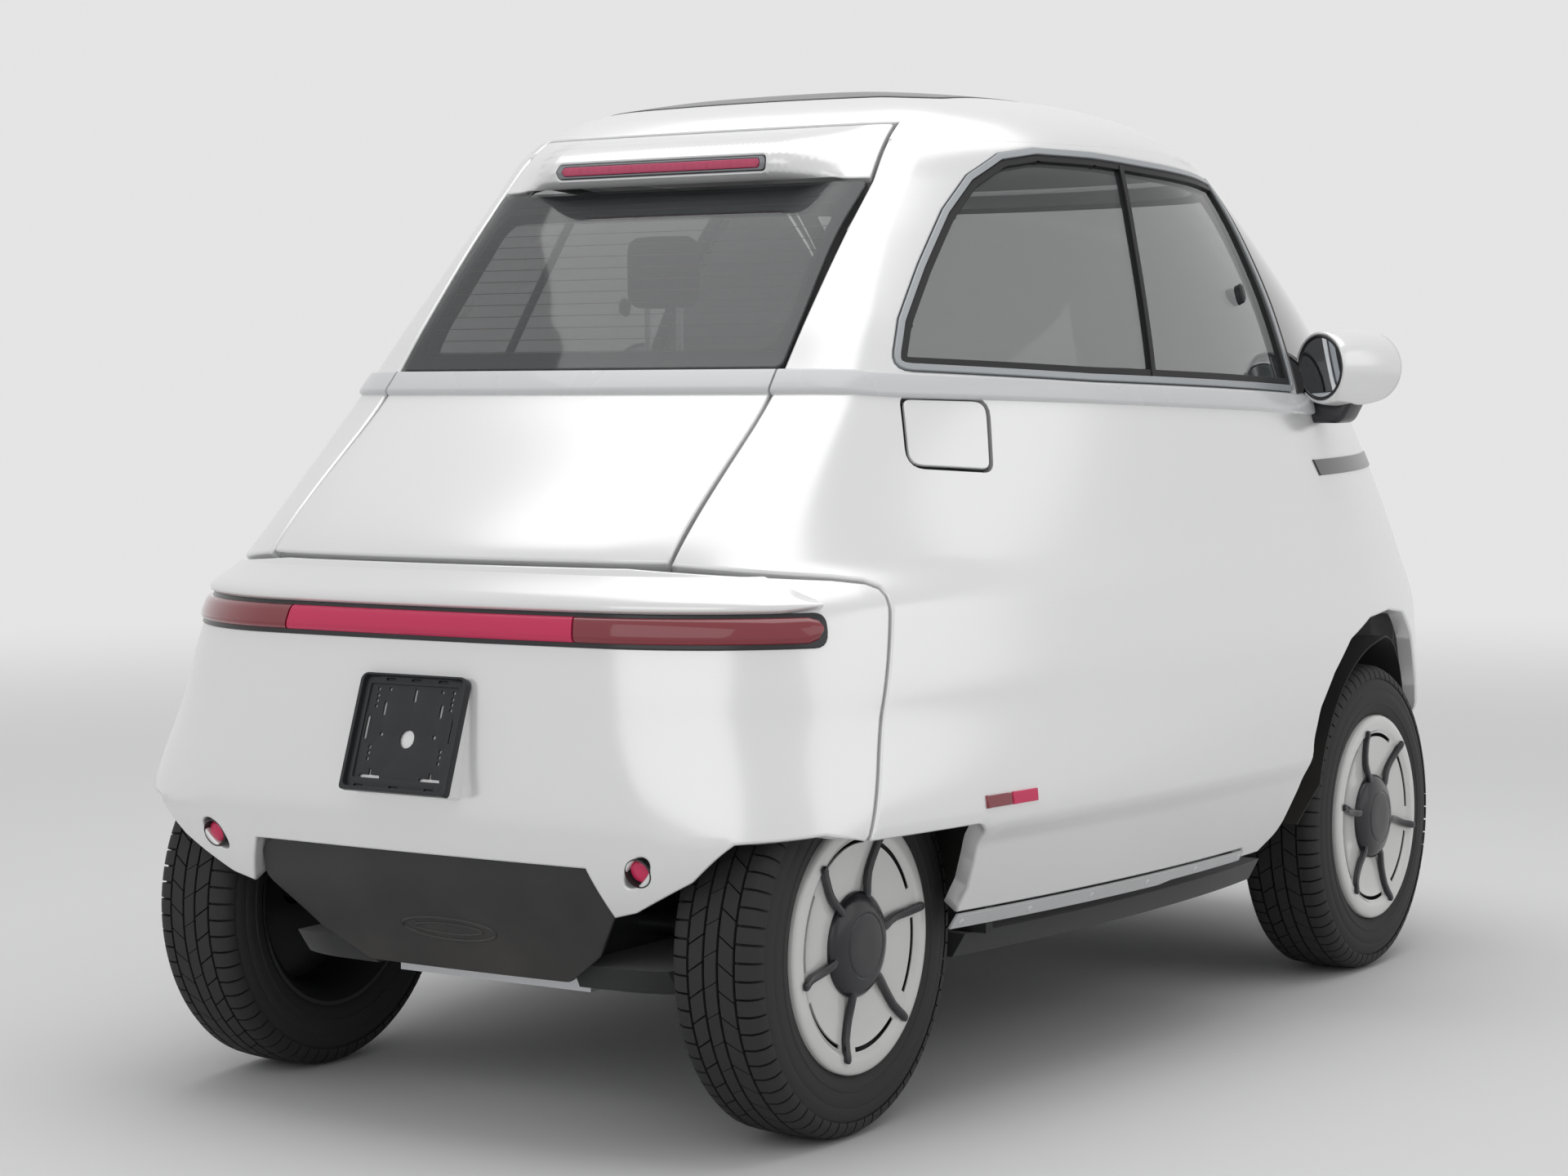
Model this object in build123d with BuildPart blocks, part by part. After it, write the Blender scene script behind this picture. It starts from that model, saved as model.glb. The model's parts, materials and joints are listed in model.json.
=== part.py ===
"""Two-seat bubble microcar as an assembly of separate pieces.

Millimetres. +X points forward, +Y to the car's left, +Z up. The origin is on the ground,
on the centre plane, halfway along the car. The lengths in tables and outlines are measured
from the rear axle.
"""
import math
import os

from build123d import *

# ---------------------------------------------------------------- driving dimensions
wheelbase = 1566.0
rear_axle_x = -925.0
front_axle_x = rear_axle_x + wheelbase
front_track = 1134.0
rear_track = 920.0

tyre_radius = 265.0
tyre_width = 145.0
rim_radius = 165.0
rim_wall = 6.0
cover_radius = 176.0
cover_reach = 76.0          # from the tyre's centre plane to the cover's outer face
spindle_radius = 20.0
kingpin_inset = 110.0       # from the tyre's centre plane inboard to the steering axis
upright_inset = 105.0       # from the rear tyre's centre plane inboard to its arm

body_wall = 35.0
glass_thickness = 6.0
seam_gap = 5.0              # round the door and the tailgate
soft_gap = 0.3              # between pieces that rest on each other
running_clearance = 0.05    # round pins and spindles

# Plan sections of the body, from the underside to the roof.
# columns: height, tail, nose, half_width, tail_side_arc, tail_corner, nose_side_arc,
#          nose_corner, widest_at, tail_arc
BODY_SECTIONS = [
    (190, -208, 2035, 610, 18, 205, 22, 225, 1000, 3.0),
    (385, -313, 2175, 715, 15, 205, 22, 215, 1000, 3.0),
    (435, -322, 2190, 742, 12, 260, 22, 215, 1000, 3.0),
    (600, -300, 2193, 739, 15, 320, 22, 250, 1000, 3.0),
    (720, -272, 2135, 720, 16, 324, 22, 275, 1000, 4.0),
    (790, -235, 2090, 706, 20, 324, 22, 275, 1000, 5.0),
    (1012, 55, 1900, 665, 27, 140, 24, 260, 1000, 1.0),
    (1130, 155, 1790, 629, 29, 126, 25, 252, 1000, 1.0),
    (1250, 258, 1660, 583, 31, 120, 27, 238, 980, 1.0),
    (1339, 344, 1541, 545, 32, 112, 28, 224, 950, 2.0),
    (1400, 405, 1431, 513, 32, 115, 28, 201, 920, 2.0),
    (1440, 461, 1321, 470, 31, 120, 28, 172, 890, 4.0),
    (1470, 528, 1181, 398, 30, 105, 28, 135, 860, 5.0),
    (1488, 603, 1050, 297, 30, 84, 28, 98, 840, 6.0),
    (1499, 668, 930, 166, 30, 59, 28, 61, 820, 8.0),
]
nose_arc = 20.0             # half sweep of the arc across the nose, degrees

cut_reach = 800.0           # half width of every cutter that crosses the whole body
far_behind = rear_axle_x - 500
far_ahead = rear_axle_x + 2400

os.makedirs("parts", exist_ok=True)


def save(part, name):
    """Label a finished piece and write it to its own file."""
    part.label = name
    export_step(part, f"parts/{name}.step")


def end_and_side_radii(run, half, corner, end_arc, side_arc):
    """Radii of an end arc and a side arc that meet a corner arc tangentially."""
    start, stop = math.radians(end_arc), math.pi / 2 - math.radians(side_arc)
    end_y, side_y = math.sin(start), 1 - math.sin(stop)
    end_x, side_x = 1 - math.cos(start), math.cos(stop)
    rest_y = half - corner * (math.sin(stop) - math.sin(start))
    rest_x = run - corner * (math.cos(start) - math.cos(stop))
    det = end_y * side_x - side_y * end_x
    return (rest_y * side_x - side_y * rest_x) / det, (end_y * rest_x - end_x * rest_y) / det


def body_outline(height, tail, nose, half, tail_side, tail_corner, nose_side, nose_corner, widest, tail_arc):
    """Closed plan outline of the body at one height."""
    tail_end, tail_flank = end_and_side_radii(widest - tail, half, tail_corner, tail_arc, tail_side)
    nose_end, nose_flank = end_and_side_radii(nose - widest, half, nose_corner, nose_arc, nose_side)
    with BuildSketch(Plane.XY.offset(height)) as outline:
        with BuildLine():
            a = JernArc((rear_axle_x + tail, 0), (0, 1), tail_end, -tail_arc)
            b = JernArc(a @ 1, a % 1, tail_corner, -(90 - tail_arc - tail_side))
            c = JernArc(b @ 1, b % 1, tail_flank, -tail_side)
            d = JernArc(c @ 1, c % 1, nose_flank, -nose_side)
            e = JernArc(d @ 1, d % 1, nose_corner, -(90 - nose_arc - nose_side))
            f = JernArc(e @ 1, e % 1, nose_end, -nose_arc)
            Line(f @ 1, a @ 0)
        make_face()
        mirror(about=Plane.XZ)
    return outline.sketch


def inset_section(index, wall):
    """One section moved inwards by a wall that is measured square to the surface."""
    here = BODY_SECTIONS[index]
    below = BODY_SECTIONS[max(index - 1, 0)]
    above = BODY_SECTIONS[min(index + 1, len(BODY_SECTIONS) - 1)]
    rise = above[0] - below[0]
    lean = [(above[1] - below[1]) / rise, (below[2] - above[2]) / rise, (below[3] - above[3]) / rise]
    mean = sum(lean) / 3
    drop = 2 * wall if index == 0 else wall * mean / math.hypot(1, mean)    # open below
    tail_in, nose_in, half_in = (wall * math.hypot(1, slope) - slope * drop for slope in lean)
    height, tail, nose, half, tail_side, tail_corner, nose_side, nose_corner, widest, tail_arc = here
    least_corner = 20
    return (height - drop, tail + tail_in, nose - nose_in, half - half_in, tail_side,
            max(tail_corner - wall / 2, least_corner), nose_side,
            max(nose_corner - wall / 2, least_corner), widest, tail_arc)


def body_solid(wall):
    """Solid of the whole body, drawn inside a wall."""
    with BuildPart() as solid:
        for index in range(len(BODY_SECTIONS)):
            add(body_outline(*inset_section(index, wall)))
        loft(ruled=True)
    return solid.part


def prism(points, plane, start, stop):
    """Straight-sided cutter: a polygon on a plane, from one offset to another."""
    with BuildPart() as cutter:
        with BuildSketch(plane.offset(start)):
            with BuildLine():
                Polyline(*points, close=True)
            make_face()
        extrude(amount=stop - start)
    return cutter.part


def seen_from_behind(points, start, stop):
    """Cutter along X from points given as (y, height)."""
    return prism(points, Plane.YZ, start, stop)


def seen_from_side(points, start=-cut_reach, stop=cut_reach):
    """Cutter along Y from points given as (x from the rear axle, height)."""
    shifted = [(rear_axle_x + x, z) for x, z in points]
    return prism(shifted, Plane.XZ, -stop, -start)


def both_sides(points):
    """Close an outline given by its left half, from bottom to top."""
    return [(y, z) for y, z in points] + [(-y, z) for y, z in reversed(points)]


def rod(plane, start, stop, radius):
    """Round bar along a plane's normal, from one offset to another."""
    with BuildPart() as bar:
        with BuildSketch(plane.offset(start)):
            Circle(radius)
        extrude(amount=stop - start)
    return bar.part


def leaf(plane, start, stop, depth, near, far):
    """Hinge leaf: a bar from a hinge's axis into the panel that carries it, between two offsets from the axis."""
    with BuildPart() as plate:
        with BuildSketch(plane.offset(start)):
            with Locations((depth / 2, (near + far) / 2)):
                Rectangle(abs(depth), abs(far - near))
        extrude(amount=stop - start)
    return plate.part


def hinge(plane, centre, eye_radius, pin_radius, eye, depth, width):
    """Barrel hinge on a plane's normal: (fixed part, moving part, room for each in the other).

    The two fixed eyes and their pin stand on the +y side of the plane, the moving eye on the -y side.
    """
    play = 1.0
    swept = math.hypot(depth, width) + 2 * play
    low, high = centre - eye / 2, centre + eye / 2
    with BuildPart() as fixed:
        add(rod(plane, low - eye, low - play / 2, eye_radius))
        add(rod(plane, high + play / 2, high + eye, eye_radius))
        add(rod(plane, low - eye, high + eye, pin_radius))
        add(leaf(plane, low - eye, low - play / 2, depth, play / 2, width))
        add(leaf(plane, high + play / 2, high + eye, depth, play / 2, width))
    with BuildPart() as moving:
        add(rod(plane, low + play / 2, high - play / 2, eye_radius))
        add(leaf(plane, low + play / 2, high - play / 2, depth, -play / 2, -width))
        add(rod(plane, low, high, pin_radius + running_clearance), mode=Mode.SUBTRACT)
    with BuildPart() as fixed_room:
        for start, stop in ((low - eye - play, low), (high, high + eye + play)):
            add(rod(plane, start, stop, eye_radius + play))
            add(leaf(plane, start, stop, depth + play, 0, width + play))
    with BuildPart() as moving_room:
        add(rod(plane, low, high, eye_radius + play))
        add(leaf(plane, low, high, swept, 0, -swept))
        add(leaf(plane, low, high, -swept, 0, -swept))
    return fixed.part, moving.part, fixed_room.part, moving_room.part


# ---------------------------------------------------------------- body shell
outer = body_solid(0)
inner = body_solid(body_wall)
pane_back = body_solid(glass_thickness)
inner_seat = body_solid(body_wall + soft_gap)

with BuildPart() as shell:
    add(outer)
    add(inner, mode=Mode.SUBTRACT)

with BuildPart() as skin:
    add(outer)
    add(pane_back, mode=Mode.SUBTRACT)

# ---------------------------------------------------------------- cutters for the panels
sill_height = 268.0
sill_top, sill_bottom = 284.0, 262.0
valance_top = 230.0
bumper_top = 786.0
roof_bottom = 1400.0
roof_half = seen_from_side([(-500, roof_bottom), (2400, roof_bottom), (2400, 1600), (-500, 1600)])

DOOR_EDGE = [               # columns: height, half_width, skin_x, flare of the right-hand edge
    (235, 400, 1970, 0.25),
    (335, 415, 2055, 0.16),
    (410, 488, 2065, 0.08),
    (480, 500, 2065, 0.06),
    (900, 520, 1790, 0.32),
    (1395, 430, 1270, 0.90),
]
door_rear_x = 1150.0
door_front_x = 2400.0


def door_face(x, grow):
    """Outline of the door's cutter in the plane at x from the rear axle, grown by a gap."""
    last = len(DOOR_EDGE) - 1
    left, right = [], []
    for index, (height, half, skin_x, flare) in enumerate(DOOR_EDGE):
        z = height - grow if index == 0 else height + grow if index == last else height
        left.append((half + grow, z))
        right.append((-half - grow * math.hypot(1, flare) - flare * (x - skin_x), z))
    with BuildSketch(Plane.YZ.offset(rear_axle_x + x)) as face:
        with BuildLine():
            Polyline(*left, *reversed(right), close=True)
        make_face()
    return face.sketch


def door_cutter(grow):
    """Room of the front door, whose right-hand edge flares forward so that it can swing out."""
    with BuildPart() as cutter:
        add(door_face(door_rear_x - grow, grow))
        add(door_face(door_front_x, grow))
        loft(ruled=True)
    return cutter.part


HATCH_EDGE = [(354, bumper_top + seam_gap), (344, 1335), (334, 1400), (328, 1425)]
hatch_front_x = rear_axle_x + 620


def hatch_cutter(grow):
    """Room of the tailgate, grown by a gap."""
    last = len(HATCH_EDGE) - 1
    edge = [(half + grow, z + (grow if index == last else -grow if index == 0 else 0))
            for index, (half, z) in enumerate(HATCH_EDGE)]
    return seen_from_behind(both_sides(edge), far_behind, hatch_front_x + grow)


door_room = door_cutter(seam_gap)
hatch_room = hatch_cutter(seam_gap)

bumper_side = seen_from_side([
    (-450, 150), (-240, 150), (-125, 424), (-61, 573), (6, 726), (8, 750), (-12, 764), (-61, 771),
    (-150, bumper_top), (-450, bumper_top)])
LOWER_EDGE = [(316, 318), (357, 329), (448, 377), (508, 430), (593, 438), (cut_reach, 438)]
bumper_foot = seen_from_behind(
    [(-288, 388), (288, 388), *LOWER_EDGE, (cut_reach, 100), (-cut_reach, 100),
     *[(-y, z) for y, z in reversed(LOWER_EDGE)]], far_behind, rear_axle_x + 60)
rear_arch = seen_from_side([
    (-500, 424), (104, 424), (128, 410), (160, 360), (182, 320), (188, sill_height), (188, 100), (-500, 100)])
front_arch = seen_from_side([
    (1040, 100), (1040, sill_height), (1056, 420), (1110, 500), (1230, 570), (1380, 612), (1533, 627),
    (1680, 612), (1800, 560), (1890, 460), (1925, 330), (1925, 100)])
under_sill = seen_from_side([
    (100, sill_top), (960, sill_top), (975, sill_height), (1050, sill_height), (1050, 100), (100, 100)])
valance_room = seen_from_side([(1925, 100), (1925, valance_top), (2400, valance_top), (2400, 100)])

rear_well_clearance = 32.0
rear_well_inset = 95.0
with BuildPart() as rear_wells:
    for side in (1, -1):
        with BuildSketch(Plane.XZ.offset(-side * (rear_track / 2 - rear_well_inset))):
            with Locations((rear_axle_x, tyre_radius)):
                Circle(tyre_radius + rear_well_clearance)
        extrude(amount=-side * 2 * rear_well_inset)

WINDOW_POINTS = [(205, 1058), (391, 1240), (500, 1328), (634, 1382), (790, 1392), (1238, 1368), (1198, 1014)]
window_left = seen_from_side(WINDOW_POINTS, start=0)
window_right = seen_from_side(WINDOW_POINTS, stop=0)

# ---------------------------------------------------------------- hinges
DOOR_HINGE = (2046.0, 522.5)            # x from the rear axle, y
DOOR_HINGE_HEIGHTS = (470.0, 600.0)
HATCH_HINGE = (440.5, 1427.5)           # x from the rear axle, height
HATCH_HINGE_SIDES = (230.0, -230.0)
FLAP_HINGE = ((298.0, -579.5, 906.0), (337.0, -553.0, 1006.0))    # its foot and its head

door_plane = Plane(origin=(rear_axle_x + DOOR_HINGE[0], DOOR_HINGE[1], 0), x_dir=(-1, 0, 0), z_dir=(0, 0, -1))
corner_span = (-458.0, -412.0)           # along the axis, where the door's corner swings past the side panel
corner_swing = 36.0
door_hinges = [hinge(door_plane, -height, 12, 5, 24, 34, 26) for height in DOOR_HINGE_HEIGHTS]
hatch_plane = Plane(origin=(rear_axle_x + HATCH_HINGE[0], 0, HATCH_HINGE[1]), x_dir=(1, 0, 0), z_dir=(0, -1, 0))
hatch_hinges = [hinge(hatch_plane, -side, 7, 3, 22, 26, 16) for side in HATCH_HINGE_SIDES]
flap_foot, flap_head = (Vector(rear_axle_x + x, y, z) for x, y, z in FLAP_HINGE)
flap_line = (flap_head - flap_foot).normalized()
flap_plane = Plane(origin=flap_foot, x_dir=(0.36, 0.83, -0.36), z_dir=-flap_line)
flap_hinge = hinge(flap_plane, -(flap_head - flap_foot).length / 2, 3.5, 1.5, 16, 8, 9)

# ---------------------------------------------------------------- roof and sunroof
sunroof_centre = rear_axle_x + 870
sunroof_length, sunroof_width, sunroof_corner = 600.0, 640.0, 60.0


def sunroof_plan():
    """Plan of the sunroof."""
    with BuildSketch(Plane.XY.offset(roof_bottom)) as plan:
        with Locations((sunroof_centre, 0)):
            RectangleRounded(sunroof_length, sunroof_width, sunroof_corner)
    return plan.sketch


with BuildPart() as roof_panel:
    add(shell.part)
    add(roof_half, mode=Mode.INTERSECT)
    add(hatch_room, mode=Mode.SUBTRACT)
    add(sunroof_plan())
    extrude(amount=2 * body_wall + 100, mode=Mode.SUBTRACT)
    for fixed, _, _, room in hatch_hinges:
        add(room, mode=Mode.SUBTRACT)
        add(fixed)
save(roof_panel.part, "roof_panel")

with BuildPart() as sunroof:
    add(sunroof_plan())
    extrude(amount=2 * body_wall + 100)
    add(shell.part, mode=Mode.INTERSECT)
save(sunroof.part, "sunroof")

# ---------------------------------------------------------------- rear bumper and lower panel
plate_lean = 0.35
plate_width, plate_height, plate_thickness = 186.0, 166.0, 52.0
plate_hole_spacing, plate_hole_radius = 140.0, 4.0
plate_front = Plane(origin=(rear_axle_x - 333, 0, 557), x_dir=(0, 1, 0), z_dir=(-1, 0, plate_lean))
plate_plane = plate_front.offset(-plate_thickness)
with BuildPart() as rear_bumper:
    add(shell.part)
    add(bumper_side, mode=Mode.INTERSECT)
    add(bumper_foot, mode=Mode.SUBTRACT)
    add(rear_wells.part, mode=Mode.SUBTRACT)
    with BuildSketch(plate_plane.offset(-2 * body_wall)):
        with GridLocations(plate_hole_spacing, plate_hole_spacing, 2, 2):
            Circle(plate_hole_radius)
    extrude(amount=2 * body_wall + plate_thickness, mode=Mode.SUBTRACT)
save(rear_bumper.part, "rear_bumper")

lower_panel_wall = 12.0
with BuildPart() as rear_lower_panel:
    add(outer)
    add(body_solid(lower_panel_wall), mode=Mode.SUBTRACT)
    add(seen_from_behind([(-180, 195), (-314, 318), (-288, 388), (288, 388), (314, 318), (180, 195)],
                         far_behind, rear_axle_x - 150), mode=Mode.INTERSECT)
save(rear_lower_panel.part, "rear_lower_panel")

# ---------------------------------------------------------------- side panels and valance
FLAP_POINTS = [(197, 1011), (337, 1006), (298, 906), (158, 916)]
flap_cutter = seen_from_side(FLAP_POINTS, stop=-300)
flap_hole = seen_from_side([(x + seam_gap * (1 if index in (1, 2) else -1),
                             z + seam_gap * (1 if index in (0, 1) else -1))
                            for index, (x, z) in enumerate(FLAP_POINTS)], stop=-300)

with BuildPart() as side_whole:
    add(shell.part)
    for cutter in (roof_half, bumper_side, hatch_room, door_room, rear_arch, rear_wells.part, under_sill,
                   front_arch, valance_room, window_left, window_right):
        add(cutter, mode=Mode.SUBTRACT)
side_solids = side_whole.part.solids().sort_by(Axis.Y)

with BuildPart() as side_panel_left:
    add(side_solids[-1])
    for fixed, _, _, room in door_hinges:
        add(room, mode=Mode.SUBTRACT)
        add(fixed)
    for depth in (corner_swing, -corner_swing):
        add(leaf(door_plane, *corner_span, depth, 0, -corner_swing), mode=Mode.SUBTRACT)
save(side_panel_left.part, "side_panel_left")

flap_fixed, flap_moving, flap_fixed_room, flap_moving_room = flap_hinge
with BuildPart() as side_panel_right:
    add(side_solids[0])
    add(flap_hole, mode=Mode.SUBTRACT)
    add(flap_moving_room, mode=Mode.SUBTRACT)
    add(flap_fixed)
save(side_panel_right.part, "side_panel_right")

with BuildPart() as front_valance:
    add(shell.part)
    add(valance_room, mode=Mode.INTERSECT)
save(front_valance.part, "front_valance")

# ---------------------------------------------------------------- side windows
for name, cutter in (("side_window_left", window_left), ("side_window_right", window_right)):
    with BuildPart() as pane:
        add(skin.part)
        add(cutter, mode=Mode.INTERSECT)
    save(pane.part, name)

# ---------------------------------------------------------------- charge flap and inlet
with BuildPart() as charge_flap:
    add(skin.part)
    add(flap_cutter, mode=Mode.INTERSECT)
    add(flap_fixed_room, mode=Mode.SUBTRACT)
    add(flap_moving)
save(charge_flap.part, "charge_flap")

inlet_wall = 12.0
inlet_bore, inlet_ring, inlet_depth, inlet_floor = 27.0, 33.0, 34.0, 6.0
inlet_mouth = Vector(rear_axle_x + 255, -512, 952)
inlet_axis = Vector(-0.30, -0.90, 0.30).normalized()
inlet_plane = Plane(origin=inlet_mouth, z_dir=inlet_axis)
with BuildPart() as charge_inlet:
    add(inner_seat)
    add(body_solid(body_wall + inlet_wall), mode=Mode.SUBTRACT)
    add(seen_from_side([(135, 1035), (355, 1030), (345, 885), (135, 890)], stop=-300), mode=Mode.INTERSECT)
    add(rod(inlet_plane, -inlet_depth - inlet_floor, 0, inlet_ring))
    add(rod(inlet_plane, -inlet_depth, 0, inlet_bore), mode=Mode.SUBTRACT)
save(charge_inlet.part, "charge_inlet")

# ---------------------------------------------------------------- tailgate
GLASS_EDGE = [(342, 1048), (332, 1330)]
LAMP_EDGE = [(185, 1350), (185, 1378)]
rear_glass_cutter = seen_from_behind(both_sides(GLASS_EDGE), far_behind, hatch_front_x)
brake_light_cutter = seen_from_behind(both_sides(LAMP_EDGE), far_behind, hatch_front_x)
spoiler_half = 290.0
with BuildPart() as hatch_shell:
    add(shell.part)
    add(seen_from_side([(350, 1338), (304, 1346), (294, 1364), (318, 1392), (400, 1416), (425, 1400)],
                       -spoiler_half, spoiler_half))
    add(hatch_cutter(0), mode=Mode.INTERSECT)
with BuildPart() as tailgate:
    add(hatch_shell.part)
    add(rear_glass_cutter, mode=Mode.SUBTRACT)
    add(brake_light_cutter, mode=Mode.SUBTRACT)
    for _, moving, room, _ in hatch_hinges:
        add(room, mode=Mode.SUBTRACT)
        add(moving)
save(tailgate.part, "tailgate")

with BuildPart() as rear_window:
    add(skin.part)
    add(rear_glass_cutter, mode=Mode.INTERSECT)
save(rear_window.part, "rear_window")

with BuildPart() as third_brake_light:
    add(hatch_shell.part)
    add(brake_light_cutter, mode=Mode.INTERSECT)
save(third_brake_light.part, "third_brake_light")

# ---------------------------------------------------------------- front door
door_body = door_cutter(0)
windshield_cutter = seen_from_behind(both_sides([(450, 1010), (385, 1345)]), rear_axle_x + door_rear_x, far_ahead)
light_bar_cutter = seen_from_behind(both_sides([(480, 868), (480, 900)]), rear_axle_x + door_rear_x, far_ahead)
with BuildPart() as front_door:
    add(shell.part)
    add(door_body, mode=Mode.INTERSECT)
    add(windshield_cutter, mode=Mode.SUBTRACT)
    add(light_bar_cutter, mode=Mode.SUBTRACT)
    for _, moving, room, _ in door_hinges:
        add(room, mode=Mode.SUBTRACT)
        add(moving)
save(front_door.part, "front_door")

with BuildPart() as windshield:
    add(skin.part)
    add(windshield_cutter, mode=Mode.INTERSECT)
save(windshield.part, "windshield")

with BuildPart() as front_light_bar:
    add(shell.part)
    add(light_bar_cutter, mode=Mode.INTERSECT)
save(front_light_bar.part, "front_light_bar")

# ---------------------------------------------------------------- tail light bar
bar_depth = 12.0
bar_end, bar_bottom, bar_top = -112, 682, 724
with BuildPart() as tail_light_bar:
    add(body_solid(-bar_depth))
    add(outer, mode=Mode.SUBTRACT)
    add(seen_from_side([(-450, bar_bottom), (bar_end, bar_bottom), (bar_end, bar_top), (-450, bar_top)]),
        mode=Mode.INTERSECT)
save(tail_light_bar.part, "tail_light_bar")

# ---------------------------------------------------------------- floor and load bay
floor_bottom, floor_top = 200.0, 235.0
front_tunnel_half = 330.0
rear_tunnel_half = 330.0
tunnel_wall = 20.0
bulkhead_x = rear_axle_x + 330
deck_bottom, deck_top = 600.0, 620.0
deck_length = 480.0
well_length, rear_well_length = 730.0, 800.0
with BuildPart() as floor_pan:
    with BuildSketch(Plane.XY.offset(floor_bottom)):
        Rectangle(2 * far_ahead, 2 * cut_reach)
    extrude(amount=floor_top - floor_bottom)
    add(inner_seat, mode=Mode.INTERSECT)
    with BuildSketch(Plane.XY.offset(floor_bottom)):
        for side in (1, -1):
            with Locations((front_axle_x - 10, side * (front_tunnel_half + 300))):
                Rectangle(well_length, 600)
            with Locations((rear_axle_x - 100, side * (rear_tunnel_half + 300))):
                Rectangle(rear_well_length, 600)
        with Locations((rear_axle_x - 20, 0)):
            Rectangle(350, 360)
    extrude(amount=floor_top - floor_bottom, mode=Mode.SUBTRACT)
    with BuildSketch(Plane.XY.offset(floor_top)):
        with Locations((bulkhead_x, 0)):
            Rectangle(tunnel_wall, 1100)
    extrude(amount=deck_top - floor_top)
    with BuildSketch(Plane.XY.offset(deck_bottom)):
        with Locations((bulkhead_x - deck_length / 2, 0)):
            Rectangle(deck_length, 2 * rear_tunnel_half)
    extrude(amount=deck_top - deck_bottom)
    with BuildSketch(Plane.XY.offset(floor_top)):
        for side in (1, -1):
            with Locations((front_axle_x - 10, side * (front_tunnel_half - tunnel_wall / 2))):
                Rectangle(well_length, tunnel_wall)
    extrude(amount=330)
save(floor_pan.part, "floor_pan")

sill_inner_half = 560.0
with BuildPart() as sills:
    add(pane_back)
    add(seen_from_side([(190, sill_top), (960, sill_top), (960, sill_bottom), (190, sill_bottom)]),
        mode=Mode.INTERSECT)
    add(seen_from_behind([(-sill_inner_half, 400), (sill_inner_half, 400), (sill_inner_half, 100),
                          (-sill_inner_half, 100)], far_behind, far_ahead), mode=Mode.SUBTRACT)
save(sills.part, "sills")

battery_bottom = 140.0
with BuildPart() as battery_pack:
    with BuildSketch(Plane.XY.offset(battery_bottom)):
        with Locations((rear_axle_x + 760, 0)):
            Rectangle(640, 560)
    extrude(amount=floor_bottom - battery_bottom)
save(battery_pack.part, "battery_pack")

# ---------------------------------------------------------------- seats
seat_front, seat_rear = rear_axle_x + 1020, rear_axle_x + 520
seat_width = 1080.0
cushion_bottom = floor_top + soft_gap
cushion_top = cushion_bottom + 300
with BuildPart() as seat_cushion:
    with BuildSketch(Plane.XY.offset(cushion_bottom)):
        with Locations(((seat_front + seat_rear) / 2, 0)):
            RectangleRounded(seat_front - seat_rear, seat_width, 50)
    extrude(amount=cushion_top - cushion_bottom)
save(seat_cushion.part, "seat_cushion")

back_bottom, back_top = cushion_top + soft_gap, 1080.0
with BuildPart() as seat_backrest:
    add(seen_from_side([(520, back_bottom), (660, back_bottom), (635, back_top), (560, back_top)], -500, 500))
save(seat_backrest.part, "seat_backrest")

headrest_x, headrest_y = rear_axle_x + 600, 200.0
headrest_height, headrest_depth = 1215.0, 70.0
post_bottom = 1040.0
with BuildPart() as headrests:
    for side in (1, -1):
        with BuildSketch(Plane.YZ.offset(headrest_x - headrest_depth / 2)):
            with Locations((side * headrest_y, headrest_height)):
                RectangleRounded(160, 145, 60)
        extrude(amount=headrest_depth)
        for post in (1, -1):
            with BuildSketch(Plane.XY.offset(post_bottom)):
                with Locations((headrest_x, side * headrest_y + post * 32)):
                    Circle(6)
            extrude(amount=headrest_height - 55 - post_bottom)
    add(seat_backrest.part, mode=Mode.SUBTRACT)
save(headrests.part, "headrests")

# ---------------------------------------------------------------- steering
wheel_tilt = 28.0
column_radius = 22.0
steering_ring_radius = 175.0
steering_tube_radius = 14.0
steering_y = 260.0
steering_centre = (rear_axle_x + 1250, steering_y, 880.0)
steering_axis = (-math.cos(math.radians(wheel_tilt)), 0.0, math.sin(math.radians(wheel_tilt)))
steering_plane = Plane(origin=steering_centre, x_dir=(0, 1, 0), z_dir=steering_axis)
with BuildPart() as steering_wheel:
    with BuildSketch(Plane(origin=steering_centre, x_dir=steering_axis, z_dir=(0, 1, 0))):
        with Locations((0, steering_ring_radius)):
            Circle(steering_tube_radius)
    revolve(axis=Axis(steering_centre, steering_axis))
    with BuildSketch(steering_plane.offset(-30)):
        Circle(45)
    extrude(amount=40)
    with BuildSketch(steering_plane.offset(-10)):
        with PolarLocations(steering_ring_radius / 2, 3, start_angle=90):
            Rectangle(steering_ring_radius, 26)
    extrude(amount=12)
save(steering_wheel.part, "steering_wheel")
with BuildPart() as steering_column:
    with BuildSketch(steering_plane.offset(-30 - soft_gap)):
        Circle(column_radius)
    extrude(amount=-300)
    with BuildSketch(Plane.XY.offset(floor_top)):
        with Locations((rear_axle_x + 1500, steering_y)):
            Rectangle(60, 60)
    extrude(amount=530)
save(steering_column.part, "steering_column")

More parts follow.
